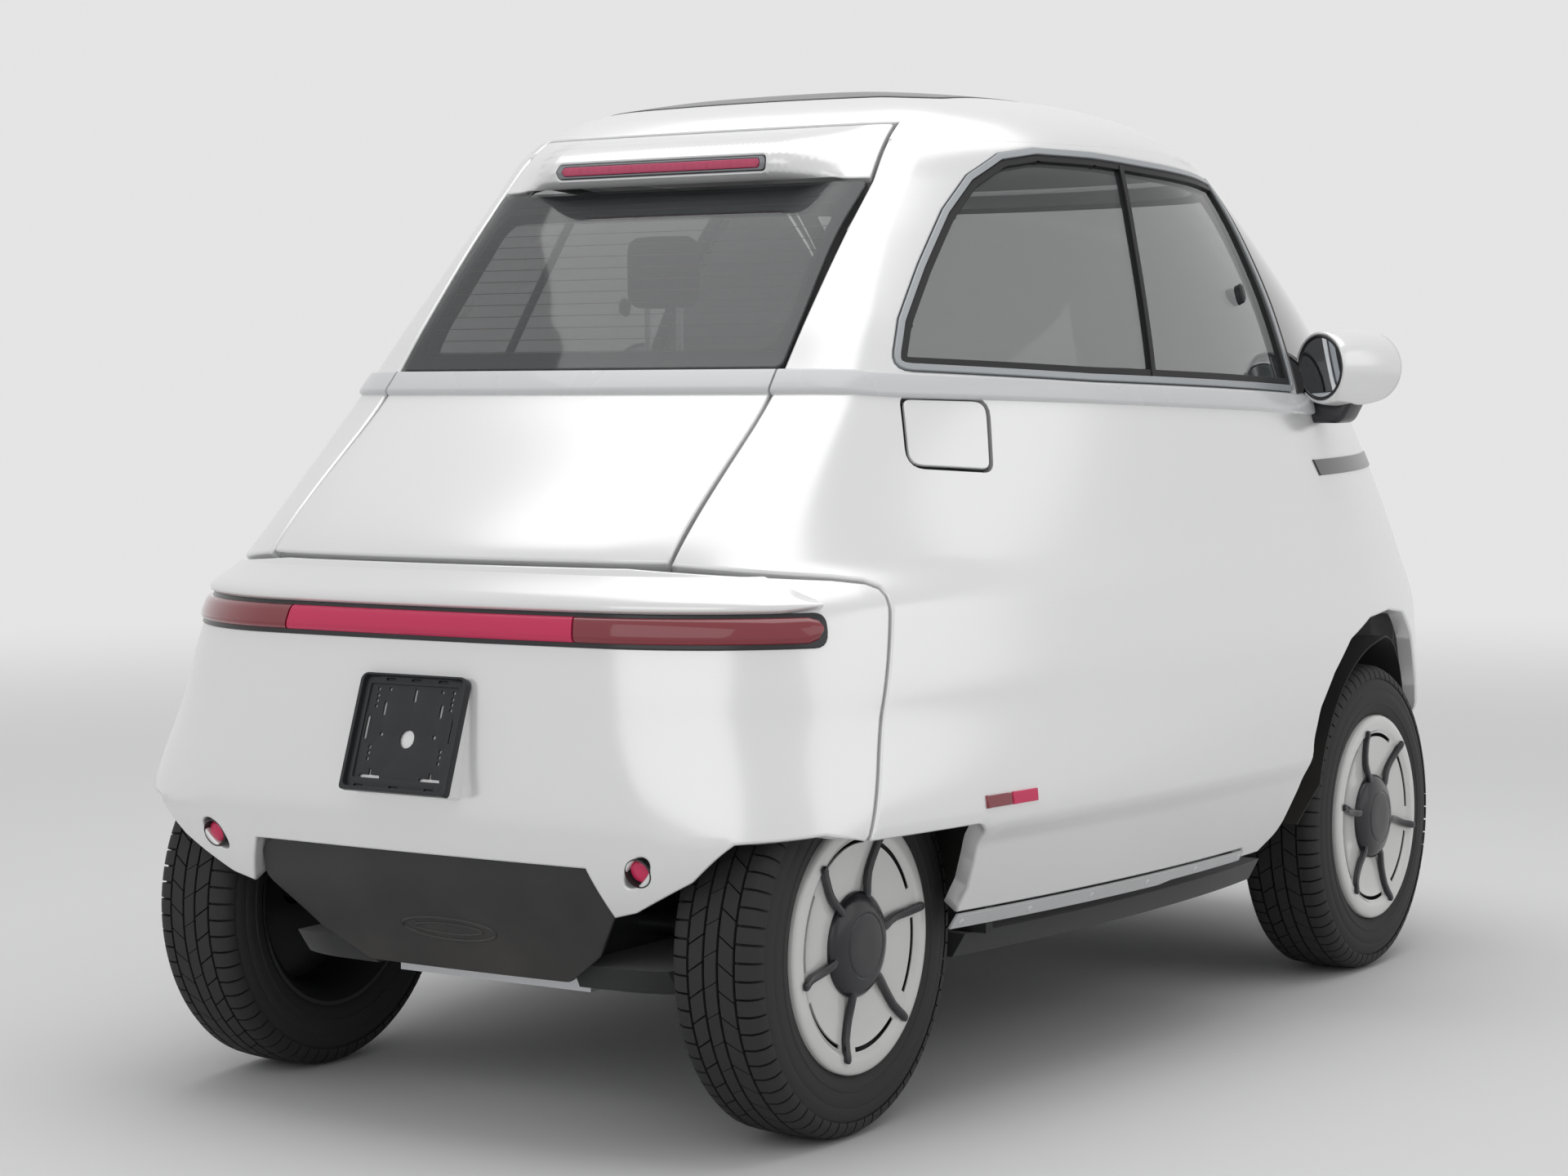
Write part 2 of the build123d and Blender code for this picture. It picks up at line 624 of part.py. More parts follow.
# ---------------------------------------------------------------- mirrors with headlamps
pod_radius = 64.0
pod_x, pod_y, pod_z = rear_axle_x + 1295, 708.0, 1050.0
pod_length = 140.0
pod_rear_round, pod_front_round = 50.0, 10.0
foot_bottom, foot_height = 955.0, 45.0
foot_length, foot_width, foot_y = 70.0, 110.0, 675.0
with BuildPart() as mirror_pod_left:
    with BuildSketch(Plane.YZ.offset(pod_x - pod_length / 2)):
        with Locations((pod_y, pod_z)):
            Circle(pod_radius)
    extrude(amount=pod_length)
    fillet(mirror_pod_left.faces().sort_by(Axis.X)[0].edges(), pod_rear_round)
    fillet(mirror_pod_left.faces().sort_by(Axis.X)[-1].edges(), pod_front_round)
    with BuildSketch(Plane.XY.offset(foot_bottom)):
        with Locations((pod_x, foot_y)):
            Rectangle(foot_length, foot_width)
    extrude(amount=foot_height)
    add(outer, mode=Mode.SUBTRACT)
save(mirror_pod_left.part, "mirror_pod_left")
save(mirror_pod_left.part.mirror(Plane.XZ), "mirror_pod_right")
lens_rim = 14.0
with BuildPart() as headlamps:
    for side in (1, -1):
        with BuildSketch(Plane.YZ.offset(pod_x + pod_length / 2)):
            with Locations((side * pod_y, pod_z)):
                Circle(pod_radius - lens_rim)
        extrude(amount=10)
save(headlamps.part, "headlamps")

# ---------------------------------------------------------------- plate holder
with BuildPart() as plate_holder:
    with BuildSketch(plate_plane):
        RectangleRounded(plate_width, plate_height, 12)
        with GridLocations(plate_hole_spacing, plate_hole_spacing, 2, 2):
            Circle(plate_hole_radius, mode=Mode.SUBTRACT)
        Circle(12, mode=Mode.SUBTRACT)
    extrude(amount=plate_thickness)
    add(outer, mode=Mode.SUBTRACT)
save(plate_holder.part, "plate_holder")

# ---------------------------------------------------------------- drive unit and suspension
motor_half = 170.0
with BuildPart() as drive_unit:
    with BuildSketch(Plane.XY.offset(185)):
        with Locations((rear_axle_x, 0)):
            Rectangle(260, 2 * motor_half)
    extrude(amount=180)
save(drive_unit.part, "drive_unit")

spindle_reach = 60.0
kingpin_y = front_track / 2 - kingpin_inset
pin_radius = 10.0
pin_length = 30.0
knuckle_bottom, knuckle_top = 180.0, 350.0
knuckle_radius = 22.0
for side_name, side in (("left", 1), ("right", -1)):
    y_upright = side * (rear_track / 2 - upright_inset)
    with BuildPart() as rear_arm:
        with BuildSketch(Plane.XZ.offset(-y_upright)):
            with Locations((rear_axle_x, tyre_radius)):
                Circle(50)
            with Locations((rear_axle_x + 149.7, tyre_radius - 35)):
                Rectangle(299.4, 50)
        extrude(amount=14, both=True)
        with BuildSketch(Plane.XZ.offset(-y_upright)):
            with Locations((rear_axle_x, tyre_radius)):
                Circle(spindle_radius)
        extrude(amount=-side * (upright_inset + spindle_reach))
        with BuildSketch(Plane.XZ.offset(-side * motor_half)):
            with Locations((rear_axle_x, tyre_radius)):
                Circle(16)
        extrude(amount=-side * (rear_track / 2 - upright_inset - motor_half))
    save(rear_arm.part, f"rear_arm_{side_name}")

    with BuildPart() as front_arm:
        with BuildSketch(Plane.XY.offset(knuckle_bottom - 25)):
            with BuildLine():
                Polyline((front_axle_x - 110, side * 250), (front_axle_x + 110, side * 250),
                         (front_axle_x + 24, side * (kingpin_y + 20)),
                         (front_axle_x - 24, side * (kingpin_y + 20)), close=True)
            make_face()
        extrude(amount=24)
        with BuildSketch(Plane.XY.offset(knuckle_bottom - 1)):
            with Locations((front_axle_x, side * kingpin_y)):
                Circle(pin_radius)
        extrude(amount=pin_length)
        with BuildSketch(Plane.XY.offset(knuckle_bottom - 25)):
            with Locations((front_axle_x, side * 262)):
                Rectangle(200, 24)
        extrude(amount=floor_bottom - knuckle_bottom + 25)
    save(front_arm.part, f"front_arm_{side_name}")

    with BuildPart() as strut:
        with BuildSketch(Plane.XY.offset(knuckle_top + 1)):
            with Locations((front_axle_x, side * kingpin_y)):
                Circle(26)
        extrude(amount=200)
        with BuildSketch(Plane.XY.offset(knuckle_top + 1)):
            with Locations((front_axle_x, side * kingpin_y)):
                Circle(pin_radius)
        extrude(amount=-pin_length)
        with BuildSketch(Plane.XY.offset(knuckle_top + 201)):
            with Locations((front_axle_x, side * (kingpin_y - 60))):
                Rectangle(70, 180)
        extrude(amount=16)
        add(floor_pan.part, mode=Mode.SUBTRACT)
    save(strut.part, f"strut_{side_name}")

    with BuildPart() as knuckle:
        with BuildSketch(Plane.XY.offset(knuckle_bottom)):
            with Locations((front_axle_x, side * kingpin_y)):
                Circle(knuckle_radius)
        extrude(amount=knuckle_top - knuckle_bottom)
        with BuildSketch(Plane.XZ.offset(-side * kingpin_y)):
            with Locations((front_axle_x, tyre_radius)):
                Circle(spindle_radius)
        extrude(amount=-side * (kingpin_inset + spindle_reach))
        for height, depth in ((knuckle_bottom, pin_length + 2), (knuckle_top, -pin_length - 2)):
            with BuildSketch(Plane.XY.offset(height)):
                with Locations((front_axle_x, side * kingpin_y)):
                    Circle(pin_radius + running_clearance)
            extrude(amount=depth, mode=Mode.SUBTRACT)
    save(knuckle.part, f"knuckle_{side_name}")

# ---------------------------------------------------------------- wheels
disc_reach = 30.0           # from the tyre's centre plane to the rim's disc
disc_thickness = 8.0
hub_radius = 46.0
cap_radius = 48.0
bead_inset = 12.0
WHEELS = [                  # columns: corner, axle_x, track, side
    ("front_left", front_axle_x, front_track, 1),
    ("front_right", front_axle_x, front_track, -1),
    ("rear_left", rear_axle_x, rear_track, 1),
    ("rear_right", rear_axle_x, rear_track, -1),
]
half_tyre = tyre_width / 2
bead = half_tyre - bead_inset


def turned(points):
    """Solid turned about the wheel's own axle from points given as (reach, radius)."""
    with BuildPart() as ring:
        with BuildSketch(Plane.YZ):
            with BuildLine():
                Polyline(*points, close=True)
            make_face()
        revolve(axis=Axis.Y)
    return ring.part


tyre = turned([
    (-bead, rim_radius), (-half_tyre, 205), (-half_tyre + 12, 247), (-half_tyre + 22, tyre_radius - 5),
    (-half_tyre + 40, tyre_radius), (half_tyre - 40, tyre_radius), (half_tyre - 22, tyre_radius - 5),
    (half_tyre - 12, 247), (half_tyre, 205), (bead, rim_radius), (bead - 16, rim_radius),
    (half_tyre - 22, 235), (-half_tyre + 22, 235), (-bead + 16, rim_radius)])
bore = spindle_radius + running_clearance
with BuildPart() as rim:
    add(turned([(-bead, rim_radius), (bead, rim_radius), (bead, rim_radius - rim_wall), (-bead, rim_radius - rim_wall)]))
    add(turned([(disc_reach, rim_radius - 1), (disc_reach + disc_thickness, rim_radius - 1),
                (disc_reach + disc_thickness, bore), (disc_reach, bore)]))
    add(turned([(-30, hub_radius), (disc_reach, hub_radius), (disc_reach, bore), (-30, bore)]))
cover_face = cover_reach - 4
wheel_cover = turned([(bead, rim_radius - 1), (bead + 4, cover_radius), (cover_face - 4, cover_radius),
                      (cover_face, cover_radius - 16), (cover_face, 0), (cover_face - 5, 0),
                      (cover_face - 5, cover_radius - 22), (bead, rim_radius - rim_wall)])
with BuildPart() as hub_cap:
    add(turned([(cover_face, 0), (cover_face, cap_radius), (cover_face + 8, cap_radius - 2), (cover_face + 13, 0)]))
    with BuildSketch(Plane.XZ.offset(-cover_face)):
        with PolarLocations(0, 6, start_angle=90):
            with Locations((95, 0)):
                Rectangle(110, 12)
    extrude(amount=-4)

for corner, axle_x, track, side in WHEELS:
    for name, piece in (("tyre", tyre), ("rim", rim.part), ("wheel_cover", wheel_cover), ("hub_cap", hub_cap.part)):
        shape = piece if side > 0 else piece.mirror(Plane.XZ)
        save(shape.moved(Location((axle_x, side * track / 2, tyre_radius))), f"{name}_{corner}")
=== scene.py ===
"""Two-seat bubble microcar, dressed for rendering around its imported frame.

Metres. +X forward, +Y to the car's left, +Z up. Lengths in the outlines below are measured
from the rear axle, and ORIGIN_SHIFT moves them into the frame.
"""
from __future__ import annotations

import json
import logging
import math
from collections.abc import Callable, Sequence
from dataclasses import dataclass, field
from enum import Enum

import bmesh
import bpy
import numpy as np
from mathutils import Matrix, Vector
from mathutils.geometry import delaunay_2d_cdt

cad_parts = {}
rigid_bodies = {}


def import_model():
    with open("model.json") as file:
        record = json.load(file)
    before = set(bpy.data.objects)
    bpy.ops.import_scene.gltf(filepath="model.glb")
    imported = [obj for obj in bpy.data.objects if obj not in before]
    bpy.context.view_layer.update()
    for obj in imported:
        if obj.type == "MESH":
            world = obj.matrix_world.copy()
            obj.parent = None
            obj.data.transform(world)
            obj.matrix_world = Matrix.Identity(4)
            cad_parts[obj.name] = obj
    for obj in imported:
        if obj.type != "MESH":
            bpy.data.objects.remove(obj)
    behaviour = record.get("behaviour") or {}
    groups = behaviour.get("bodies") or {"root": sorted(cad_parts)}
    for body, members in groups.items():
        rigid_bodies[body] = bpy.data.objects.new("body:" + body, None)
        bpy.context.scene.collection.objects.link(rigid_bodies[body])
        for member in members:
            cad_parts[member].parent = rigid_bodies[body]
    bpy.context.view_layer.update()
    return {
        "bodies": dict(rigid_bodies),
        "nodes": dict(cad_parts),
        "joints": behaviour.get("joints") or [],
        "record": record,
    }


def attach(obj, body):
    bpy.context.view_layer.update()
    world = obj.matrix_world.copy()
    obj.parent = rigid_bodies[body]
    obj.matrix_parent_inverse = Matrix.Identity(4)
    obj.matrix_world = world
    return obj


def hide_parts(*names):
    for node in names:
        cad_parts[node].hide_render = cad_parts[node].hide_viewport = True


log = logging.getLogger("microcar")
ORIGIN_SHIFT = -0.925       # x of the rear axle in the frame
WHEELBASE = 1.566
AXLE_HEIGHT = 0.265
FRONT_HALF_TRACK, REAR_HALF_TRACK = 0.567, 0.460

Points = Sequence[tuple[float, float]]


class Side(Enum):
    """A side of the car, as the sign of y."""

    LEFT = 1
    RIGHT = -1

    @property
    def word(self) -> str:
        """The side's name in node names."""
        return self.name.lower()


class Face(Enum):
    """The direction from which an outline is drawn."""

    SIDE = "side"
    TAIL = "tail"
    NOSE = "nose"


# ---------------------------------------------------------------- body surface
BODY_ROWS = np.array([
    # height, tail, nose, half_width, tail_side_arc, tail_corner,
    # nose_side_arc, nose_corner, widest_at, tail_arc
    (190, -208, 2035, 610, 18, 205, 22, 225, 1000, 3),
    (385, -313, 2175, 715, 15, 205, 22, 215, 1000, 3),
    (435, -322, 2190, 742, 12, 260, 22, 215, 1000, 3),
    (600, -300, 2193, 739, 15, 320, 22, 250, 1000, 3),
    (720, -272, 2135, 720, 16, 324, 22, 275, 1000, 4),
    (790, -235, 2090, 706, 20, 324, 22, 275, 1000, 5),
    (1012, 55, 1900, 665, 27, 140, 24, 260, 1000, 1),
    (1130, 155, 1790, 629, 29, 126, 25, 252, 1000, 1),
    (1250, 258, 1660, 583, 31, 120, 27, 238, 980, 1),
    (1339, 344, 1541, 545, 32, 112, 28, 224, 950, 2),
    (1400, 405, 1431, 513, 32, 115, 28, 201, 920, 2),
    (1440, 461, 1321, 470, 31, 120, 28, 172, 890, 4),
    (1470, 528, 1181, 398, 30, 105, 28, 135, 860, 5),
    (1488, 603, 1050, 297, 30, 84, 28, 98, 840, 6),
    (1499, 668, 930, 166, 30, 59, 28, 61, 820, 8),
    (1502, 735, 860, 70, 30, 25, 28, 26, 800, 8),
    (1503, 788, 808, 9, 30, 3, 28, 3, 798, 8),
], dtype=float)
NOSE_ARC = 20.0
QUARTER_SHARES = (0.42, 0.40, 1.27, 1.19, 0.27, 0.55)   # unrolled lengths of the six arcs, tail to nose
HALF_ROUND = sum(QUARTER_SHARES)


class BodySurface:
    """The car's outer skin as a function of a distance round the car and a height.

    The distance is 0 at the tail's middle, positive on the left, and HALF_ROUND at the nose's middle.
    """

    def __init__(self) -> None:
        """Scale the table and work out the slopes of its smooth interpolation."""
        rows = BODY_ROWS.copy()
        scale = np.ones(rows.shape[1]) * 1e-3
        scale[[4, 6, 9]] = math.pi / 180
        rows *= scale
        self.heights = rows[:, 0]
        self.values = rows[:, 1:]
        steps = np.diff(self.heights)[:, None]
        rises = np.diff(self.values, axis=0) / steps
        slopes = np.zeros_like(self.values)
        product = rises[:-1] * rises[1:]
        weight_a = 2 * steps[1:] + steps[:-1]
        weight_b = steps[1:] + 2 * steps[:-1]
        with np.errstate(divide="ignore", invalid="ignore"):
            mean = (weight_a + weight_b) / (weight_a / rises[:-1] + weight_b / rises[1:])
        slopes[1:-1] = np.where(product > 0, mean, 0.0)
        slopes[0], slopes[-1] = rises[0], rises[-1]
        self.slopes = slopes

    def section(self, z: np.ndarray) -> np.ndarray:
        """Interpolated table values at heights, one row for each.

        Args:
            z: Heights.

        Returns:
            One row of sizes for each height.
        """
        index = np.clip(np.searchsorted(self.heights, z) - 1, 0, len(self.heights) - 2)
        step = self.heights[index + 1] - self.heights[index]
        f = (np.clip(z, self.heights[0], self.heights[-1]) - self.heights[index]) / step
        f, step = f[:, None], step[:, None]
        a, b = self.values[index], self.values[index + 1]
        slope_a, slope_b = self.slopes[index] * step, self.slopes[index + 1] * step
        return (a * (1 + 2 * f) * (1 - f) ** 2 + slope_a * f * (1 - f) ** 2
                + b * f * f * (3 - 2 * f) - slope_b * f * f * (1 - f))

    def plan(self, u: np.ndarray, z: np.ndarray) -> np.ndarray:
        """Points on the bare skin.

        Args:
            u: Distances round the car.
            z: Heights.

        Returns:
            One row (x, y, z) for each, in the frame.
        """
        u = np.mod(u + HALF_ROUND, 2 * HALF_ROUND) - HALF_ROUND
        sign = np.where(u < 0, -1.0, 1.0)
        a = np.abs(u)
        tail, nose, half, tail_side, tail_corner, nose_side, nose_corner, widest, tail_arc = self.section(z).T
        at_tail = a < sum(QUARTER_SHARES[:3])
        run = np.where(at_tail, widest - tail, nose - widest)
        corner = np.where(at_tail, tail_corner, nose_corner)
        end = np.where(at_tail, tail_arc, math.radians(NOSE_ARC))
        flank = np.where(at_tail, tail_side, nose_side)
        shares = [np.where(at_tail, QUARTER_SHARES[i], QUARTER_SHARES[5 - i]) for i in range(3)]
        along = np.where(at_tail, a, HALF_ROUND - a)
        turn_b = math.pi / 2 - flank
        end_y, side_y = np.sin(end), 1 - np.sin(turn_b)
        end_x, side_x = 1 - np.cos(end), np.cos(turn_b)
        rest_y = half - corner * (np.sin(turn_b) - np.sin(end))
        rest_x = run - corner * (np.cos(end) - np.cos(turn_b))
        det = end_y * side_x - side_y * end_x
        end_radius = (rest_y * side_x - side_y * rest_x) / det
        side_radius = (end_y * rest_x - end_x * rest_y) / det
        f1 = np.clip(along / shares[0], 0, 1)
        f2 = np.clip((along - shares[0]) / shares[1], 0, 1)
        f3 = np.clip((along - shares[0] - shares[1]) / shares[2], 0, 1)
        t1, t2, t3 = end * f1, end + (turn_b - end) * f2, turn_b + flank * f3
        x = (end_radius * (1 - np.cos(t1)) + corner * (np.cos(end) - np.cos(t2))
             + side_radius * (np.cos(turn_b) - np.cos(t3)))
        y = (end_radius * np.sin(t1) + corner * (np.sin(t2) - np.sin(end))
             + side_radius * (np.sin(t3) - np.sin(turn_b)))
        x = np.where(at_tail, tail + x, nose - x)
        return np.stack([x + ORIGIN_SHIFT, sign * y, z], axis=1)

    def bare_normal(self, u: np.ndarray, z: np.ndarray) -> np.ndarray:
        """Outward unit normals of the bare skin."""
        return normals_of(self.plan, u, z)

    def locate(self, face: Face, side: int, across: np.ndarray, z: np.ndarray) -> np.ndarray:
        """Distances round the car of points on an outline.

        Args:
            face: Where the outline is drawn from.
            side: Sign of y, used for a side outline.
            across: x from the rear axle for a side outline, else y.
            z: Heights.

        Returns:
            The distance u of each point.
        """
        turn = sum(QUARTER_SHARES[:3])
        if face is Face.SIDE:
            low, high = np.zeros_like(across), np.full_like(across, HALF_ROUND)
            wanted = across + ORIGIN_SHIFT
            for _ in range(36):
                middle = (low + high) / 2
                less = self.plan(middle, z)[:, 0] < wanted
                low, high = np.where(less, middle, low), np.where(less, high, middle)
            return side * (low + high) / 2
        size = np.abs(across)
        low, high = np.zeros_like(across), np.full_like(across,
                                                        turn if face is Face.TAIL else HALF_ROUND - turn)
        for _ in range(36):
            middle = (low + high) / 2
            at = middle if face is Face.TAIL else HALF_ROUND - middle
            less = self.plan(at, z)[:, 1] < size
            low, high = np.where(less, middle, low), np.where(less, high, middle)
        found = (low + high) / 2
        sign = np.where(across < 0, -1.0, 1.0)
        if face is Face.TAIL:
            return sign * found
        return HALF_ROUND - sign * found

    def height_at(self, x: np.ndarray, y: np.ndarray) -> tuple[np.ndarray, np.ndarray]:
        """Distance round the car and height of the roof above points in plan.

        Args:
            x: Distances along the car.
            y: Distances across the car.

        Returns:
            Distances round the car, and heights.
        """
        low, high = np.full_like(x, 1.34), np.full_like(x, self.heights[-1])
        for _ in range(22):
            middle = (low + high) / 2
            u = self.locate(Face.SIDE, 1, x, middle)
            at = self.plan(u, middle)
            inside = (np.abs(at[:, 0] - ORIGIN_SHIFT - x) < 1e-4) & (at[:, 1] > np.abs(y))
            low, high = np.where(inside, middle, low), np.where(inside, high, middle)
        z = (low + high) / 2
        u = self.locate(Face.SIDE, 1, x, z)
        return np.where(y < 0, -u, u), z


def normals_of(function: Callable[[np.ndarray, np.ndarray], np.ndarray], u: np.ndarray,
               v: np.ndarray) -> np.ndarray:
    """Outward unit normals of a surface given as a function of two values.

    Args:
        function: Gives places from two values.
        u: First values.
        v: Second values.

    Returns:
        One unit vector for each pair of values.
    """
    step = 1e-3
    along = function(u + step, v) - function(u - step, v)
    up = function(u, v + step) - function(u, v - step)
    cross = np.cross(up, along)
    return cross / np.maximum(np.linalg.norm(cross, axis=1), 1e-12)[:, None]


BODY = BodySurface()


def smooth(a: float, b: float, value: np.ndarray) -> np.ndarray:
    """Smooth step from 0 at a to 1 at b."""
    t = np.clip((value - a) / (b - a), 0, 1)
    return t * t * (3 - 2 * t)


# ---------------------------------------------------------------- reliefs of the skin
SPOILER_PROFILE = np.array([
    # height, x from the rear axle
    (1.3360, 0.3420), (1.3395, 0.3230), (1.3440, 0.3070), (1.3500, 0.2980), (1.3640, 0.2940),
    (1.3780, 0.3000),
    (1.3920, 0.3170), (1.4040, 0.3480), (1.4140, 0.3860), (1.4200, 0.4150), (1.4255, 0.4375)])


def spoiler_shift(y: np.ndarray, z: np.ndarray) -> np.ndarray:
    """How far the tailgate's brow stands behind the body's skin, at a place seen from behind.

    Args:
        y: Distances across the car.
        z: Heights.

    Returns:
        Distances, none above zero.
    """
    skin = BODY.section(z)[:, 0]
    profile = np.interp(z, SPOILER_PROFILE[:, 0], SPOILER_PROFILE[:, 1])
    reach = np.where((z > SPOILER_PROFILE[0, 0]) & (z < SPOILER_PROFILE[-1, 0]),
                     np.minimum(profile - skin, 0), 0)
    return reach * (1 - smooth(0.20, 0.318, np.abs(y)))


class Skin:
    """A view of the body's surface with a relief, and its normals."""

    def __init__(self, relief: Callable[[np.ndarray, np.ndarray], np.ndarray] | None = None,
                 spoiler: bool = False) -> None:
        """Keep which relief to add.

        Args:
            relief: Rise of the skin at (x from the rear axle, height), or None.
            spoiler: Whether the tailgate's brow is added.
        """
        self.relief = relief
        self.spoiler = spoiler

    def place(self, u: np.ndarray, z: np.ndarray) -> np.ndarray:
        """Points of the skin at distances round the car and heights.

        Args:
            u: Distances round the car.
            z: Heights.

        Returns:
            The places.
        """
        at = BODY.plan(u, z)
        if self.relief is not None:
            at = at + BODY.bare_normal(u, z) * self.relief(at[:, 0] - ORIGIN_SHIFT, z)[:, None]
        if self.spoiler:
            at[:, 0] += spoiler_shift(at[:, 1], z)
        return at

    def normal(self, u: np.ndarray, z: np.ndarray) -> np.ndarray:
        """Outward unit normals of the skin."""
        return normals_of(self.place, u, z)


class RoofSkin:
    """The top of the body as a function of its plan: x from the rear axle and y."""

    def place(self, x: np.ndarray, y: np.ndarray) -> np.ndarray:
        """Points of the roof above places in plan."""
        _, z = BODY.height_at(x, y)
        return np.stack([x + ORIGIN_SHIFT, y, z], axis=1)

    def normal(self, x: np.ndarray, y: np.ndarray) -> np.ndarray:
        """Outward unit normals of the roof.

        Args:
            x: Distances along the car.
            y: Distances across the car.

        Returns:
            The normals.
        """
        step = 0.006
        along = self.place(x + step, y) - self.place(x - step, y)
        up = self.place(x, y + step) - self.place(x, y - step)
        cross = np.cross(along, up)
        return cross / np.linalg.norm(cross, axis=1)[:, None]


# ---------------------------------------------------------------- outlines
def round_corners(points: Points, radius: float, closed: bool = True,
                  steps: int = 5) -> list[tuple[float, float]]:
    """Polygon whose corners are arcs.

    Args:
        points: Corners in order.
        radius: Largest corner radius.
        closed: Whether the last point joins the first.
        steps: Segments in each arc.

    Returns:
        The rounded polygon's points.
    """
    out: list[tuple[float, float]] = []
    count = len(points)
    for index, point in enumerate(points):
        if not closed and index in (0, count - 1):
            out.append(tuple(point))
            continue
        here = Vector(point)
        before = Vector(points[index - 1]) - here
        after = Vector(points[(index + 1) % count]) - here
        angle = before.angle(after, 0.0)
        if angle > math.radians(178) or angle < math.radians(2):
            out.append(tuple(point))
            continue
        reach = min(radius / math.tan(angle / 2), 0.45 * before.length, 0.45 * after.length)
        a, b = here + before.normalized() * reach, here + after.normalized() * reach
        for k in range(steps + 1):
            f = k / steps
            out.append(tuple(a * (1 - f) ** 2 + here * 2 * f * (1 - f) + b * f * f))
    return out


def resample(points: np.ndarray, spacing: float, closed: bool) -> np.ndarray:
    """Divide a polyline's segments so that none is longer than a spacing.

    Args:
        points: The points, in order.
        spacing: Longest segment.
        closed: Whether the last point joins the first.

    Returns:
        The old and new points, in order.
    """
    out = []
    count = len(points)
    for index in range(count if closed else count - 1):
        a, b = points[index], points[(index + 1) % count]
        parts = max(1, int(math.ceil(np.linalg.norm(b - a) / spacing)))
        out.extend(a + (b - a) * k / parts for k in range(parts))
    if not closed:
        out.append(points[-1])
    return np.array(out)


@dataclass
class Edge:
    """A stretch of a panel's outline, with the seam that it leaves to its neighbour."""

    face: Face
    points: Points
    seam: float = 0.0025
    side: int = 1

    def domain(self, spacing: float) -> np.ndarray:
        """The stretch as (distance round the car, height) points.

        Args:
            spacing: Longest segment.

        Returns:
            The points.
        """
        flat = resample(np.array(self.points, dtype=float), spacing, closed=False)
        u = BODY.locate(self.face, self.side, flat[:, 0], flat[:, 1])
        return np.stack([u, flat[:, 1]], axis=1)


@dataclass
class Loop:
    """A closed outline in a surface's own two values, with a seam for each of its segments."""

    points: np.ndarray
    seams: np.ndarray

    @classmethod
    def of_edges(cls, edges: Sequence[Edge], spacing: float = 0.012) -> Loop:
        """Join stretches end to end.

        Args:
            edges: The stretches, in order.
            spacing: Longest segment.

        Returns:
            The loop.
        """
        points, seams = [], []
        for edge in edges:
            stretch = edge.domain(spacing)
            points.append(stretch[:-1])
            seams.extend([edge.seam] * (len(stretch) - 1))
        return cls(np.concatenate(points), np.array(seams))

    @classmethod
    def of_points(cls, face: Face, points: Points, seam: float, side: int = 1,
                  spacing: float = 0.012) -> Loop:
        """A loop of one kind, from one closed outline."""
        return cls.of_edges([Edge(face, [*points, points[0]], seam, side)], spacing)

    @classmethod
    def flat(cls, points: Points, seam: float, spacing: float = 0.012) -> Loop:
        """A loop given straight in the surface's two values."""
        sampled = resample(np.array(points, dtype=float), spacing, closed=True)
        return cls(sampled, np.full(len(sampled), seam))


def ordered(loop: Loop, turn: int) -> Loop:
    """The loop, turned so that its signed area has the wanted sign.

    Args:
        loop: The loop to work on.
        turn: 1 or -1, the wanted sign.

    Returns:
        The loop as it was, or turned round.
    """
    p = loop.points
    q = np.roll(p, -1, axis=0)
    area = 0.5 * np.sum(p[:, 0] * q[:, 1] - q[:, 0] * p[:, 1])
    if area * turn > 0:
        return loop
    return Loop(p[::-1].copy(), np.roll(loop.seams[::-1], -1).copy())


def inside(points: np.ndarray, loops: Sequence[np.ndarray]) -> np.ndarray:
    """Which points lie in the area between loops, by the even-odd rule.

    Args:
        points: The points to test.
        loops: The outlines, any way round.

    Returns:
        One truth value for each point.
    """
    result = np.zeros(len(points), dtype=bool)
    for loop in loops:
        a, b = loop, np.roll(loop, -1, axis=0)
        for (ax, ay), (bx, by) in zip(a, b):
            if ay == by:
                continue
            crossing = (ay > points[:, 1]) != (by > points[:, 1])
            at = ax + (points[:, 1] - ay) * (bx - ax) / (by - ay)
            result ^= crossing & (points[:, 0] < at)
    return result


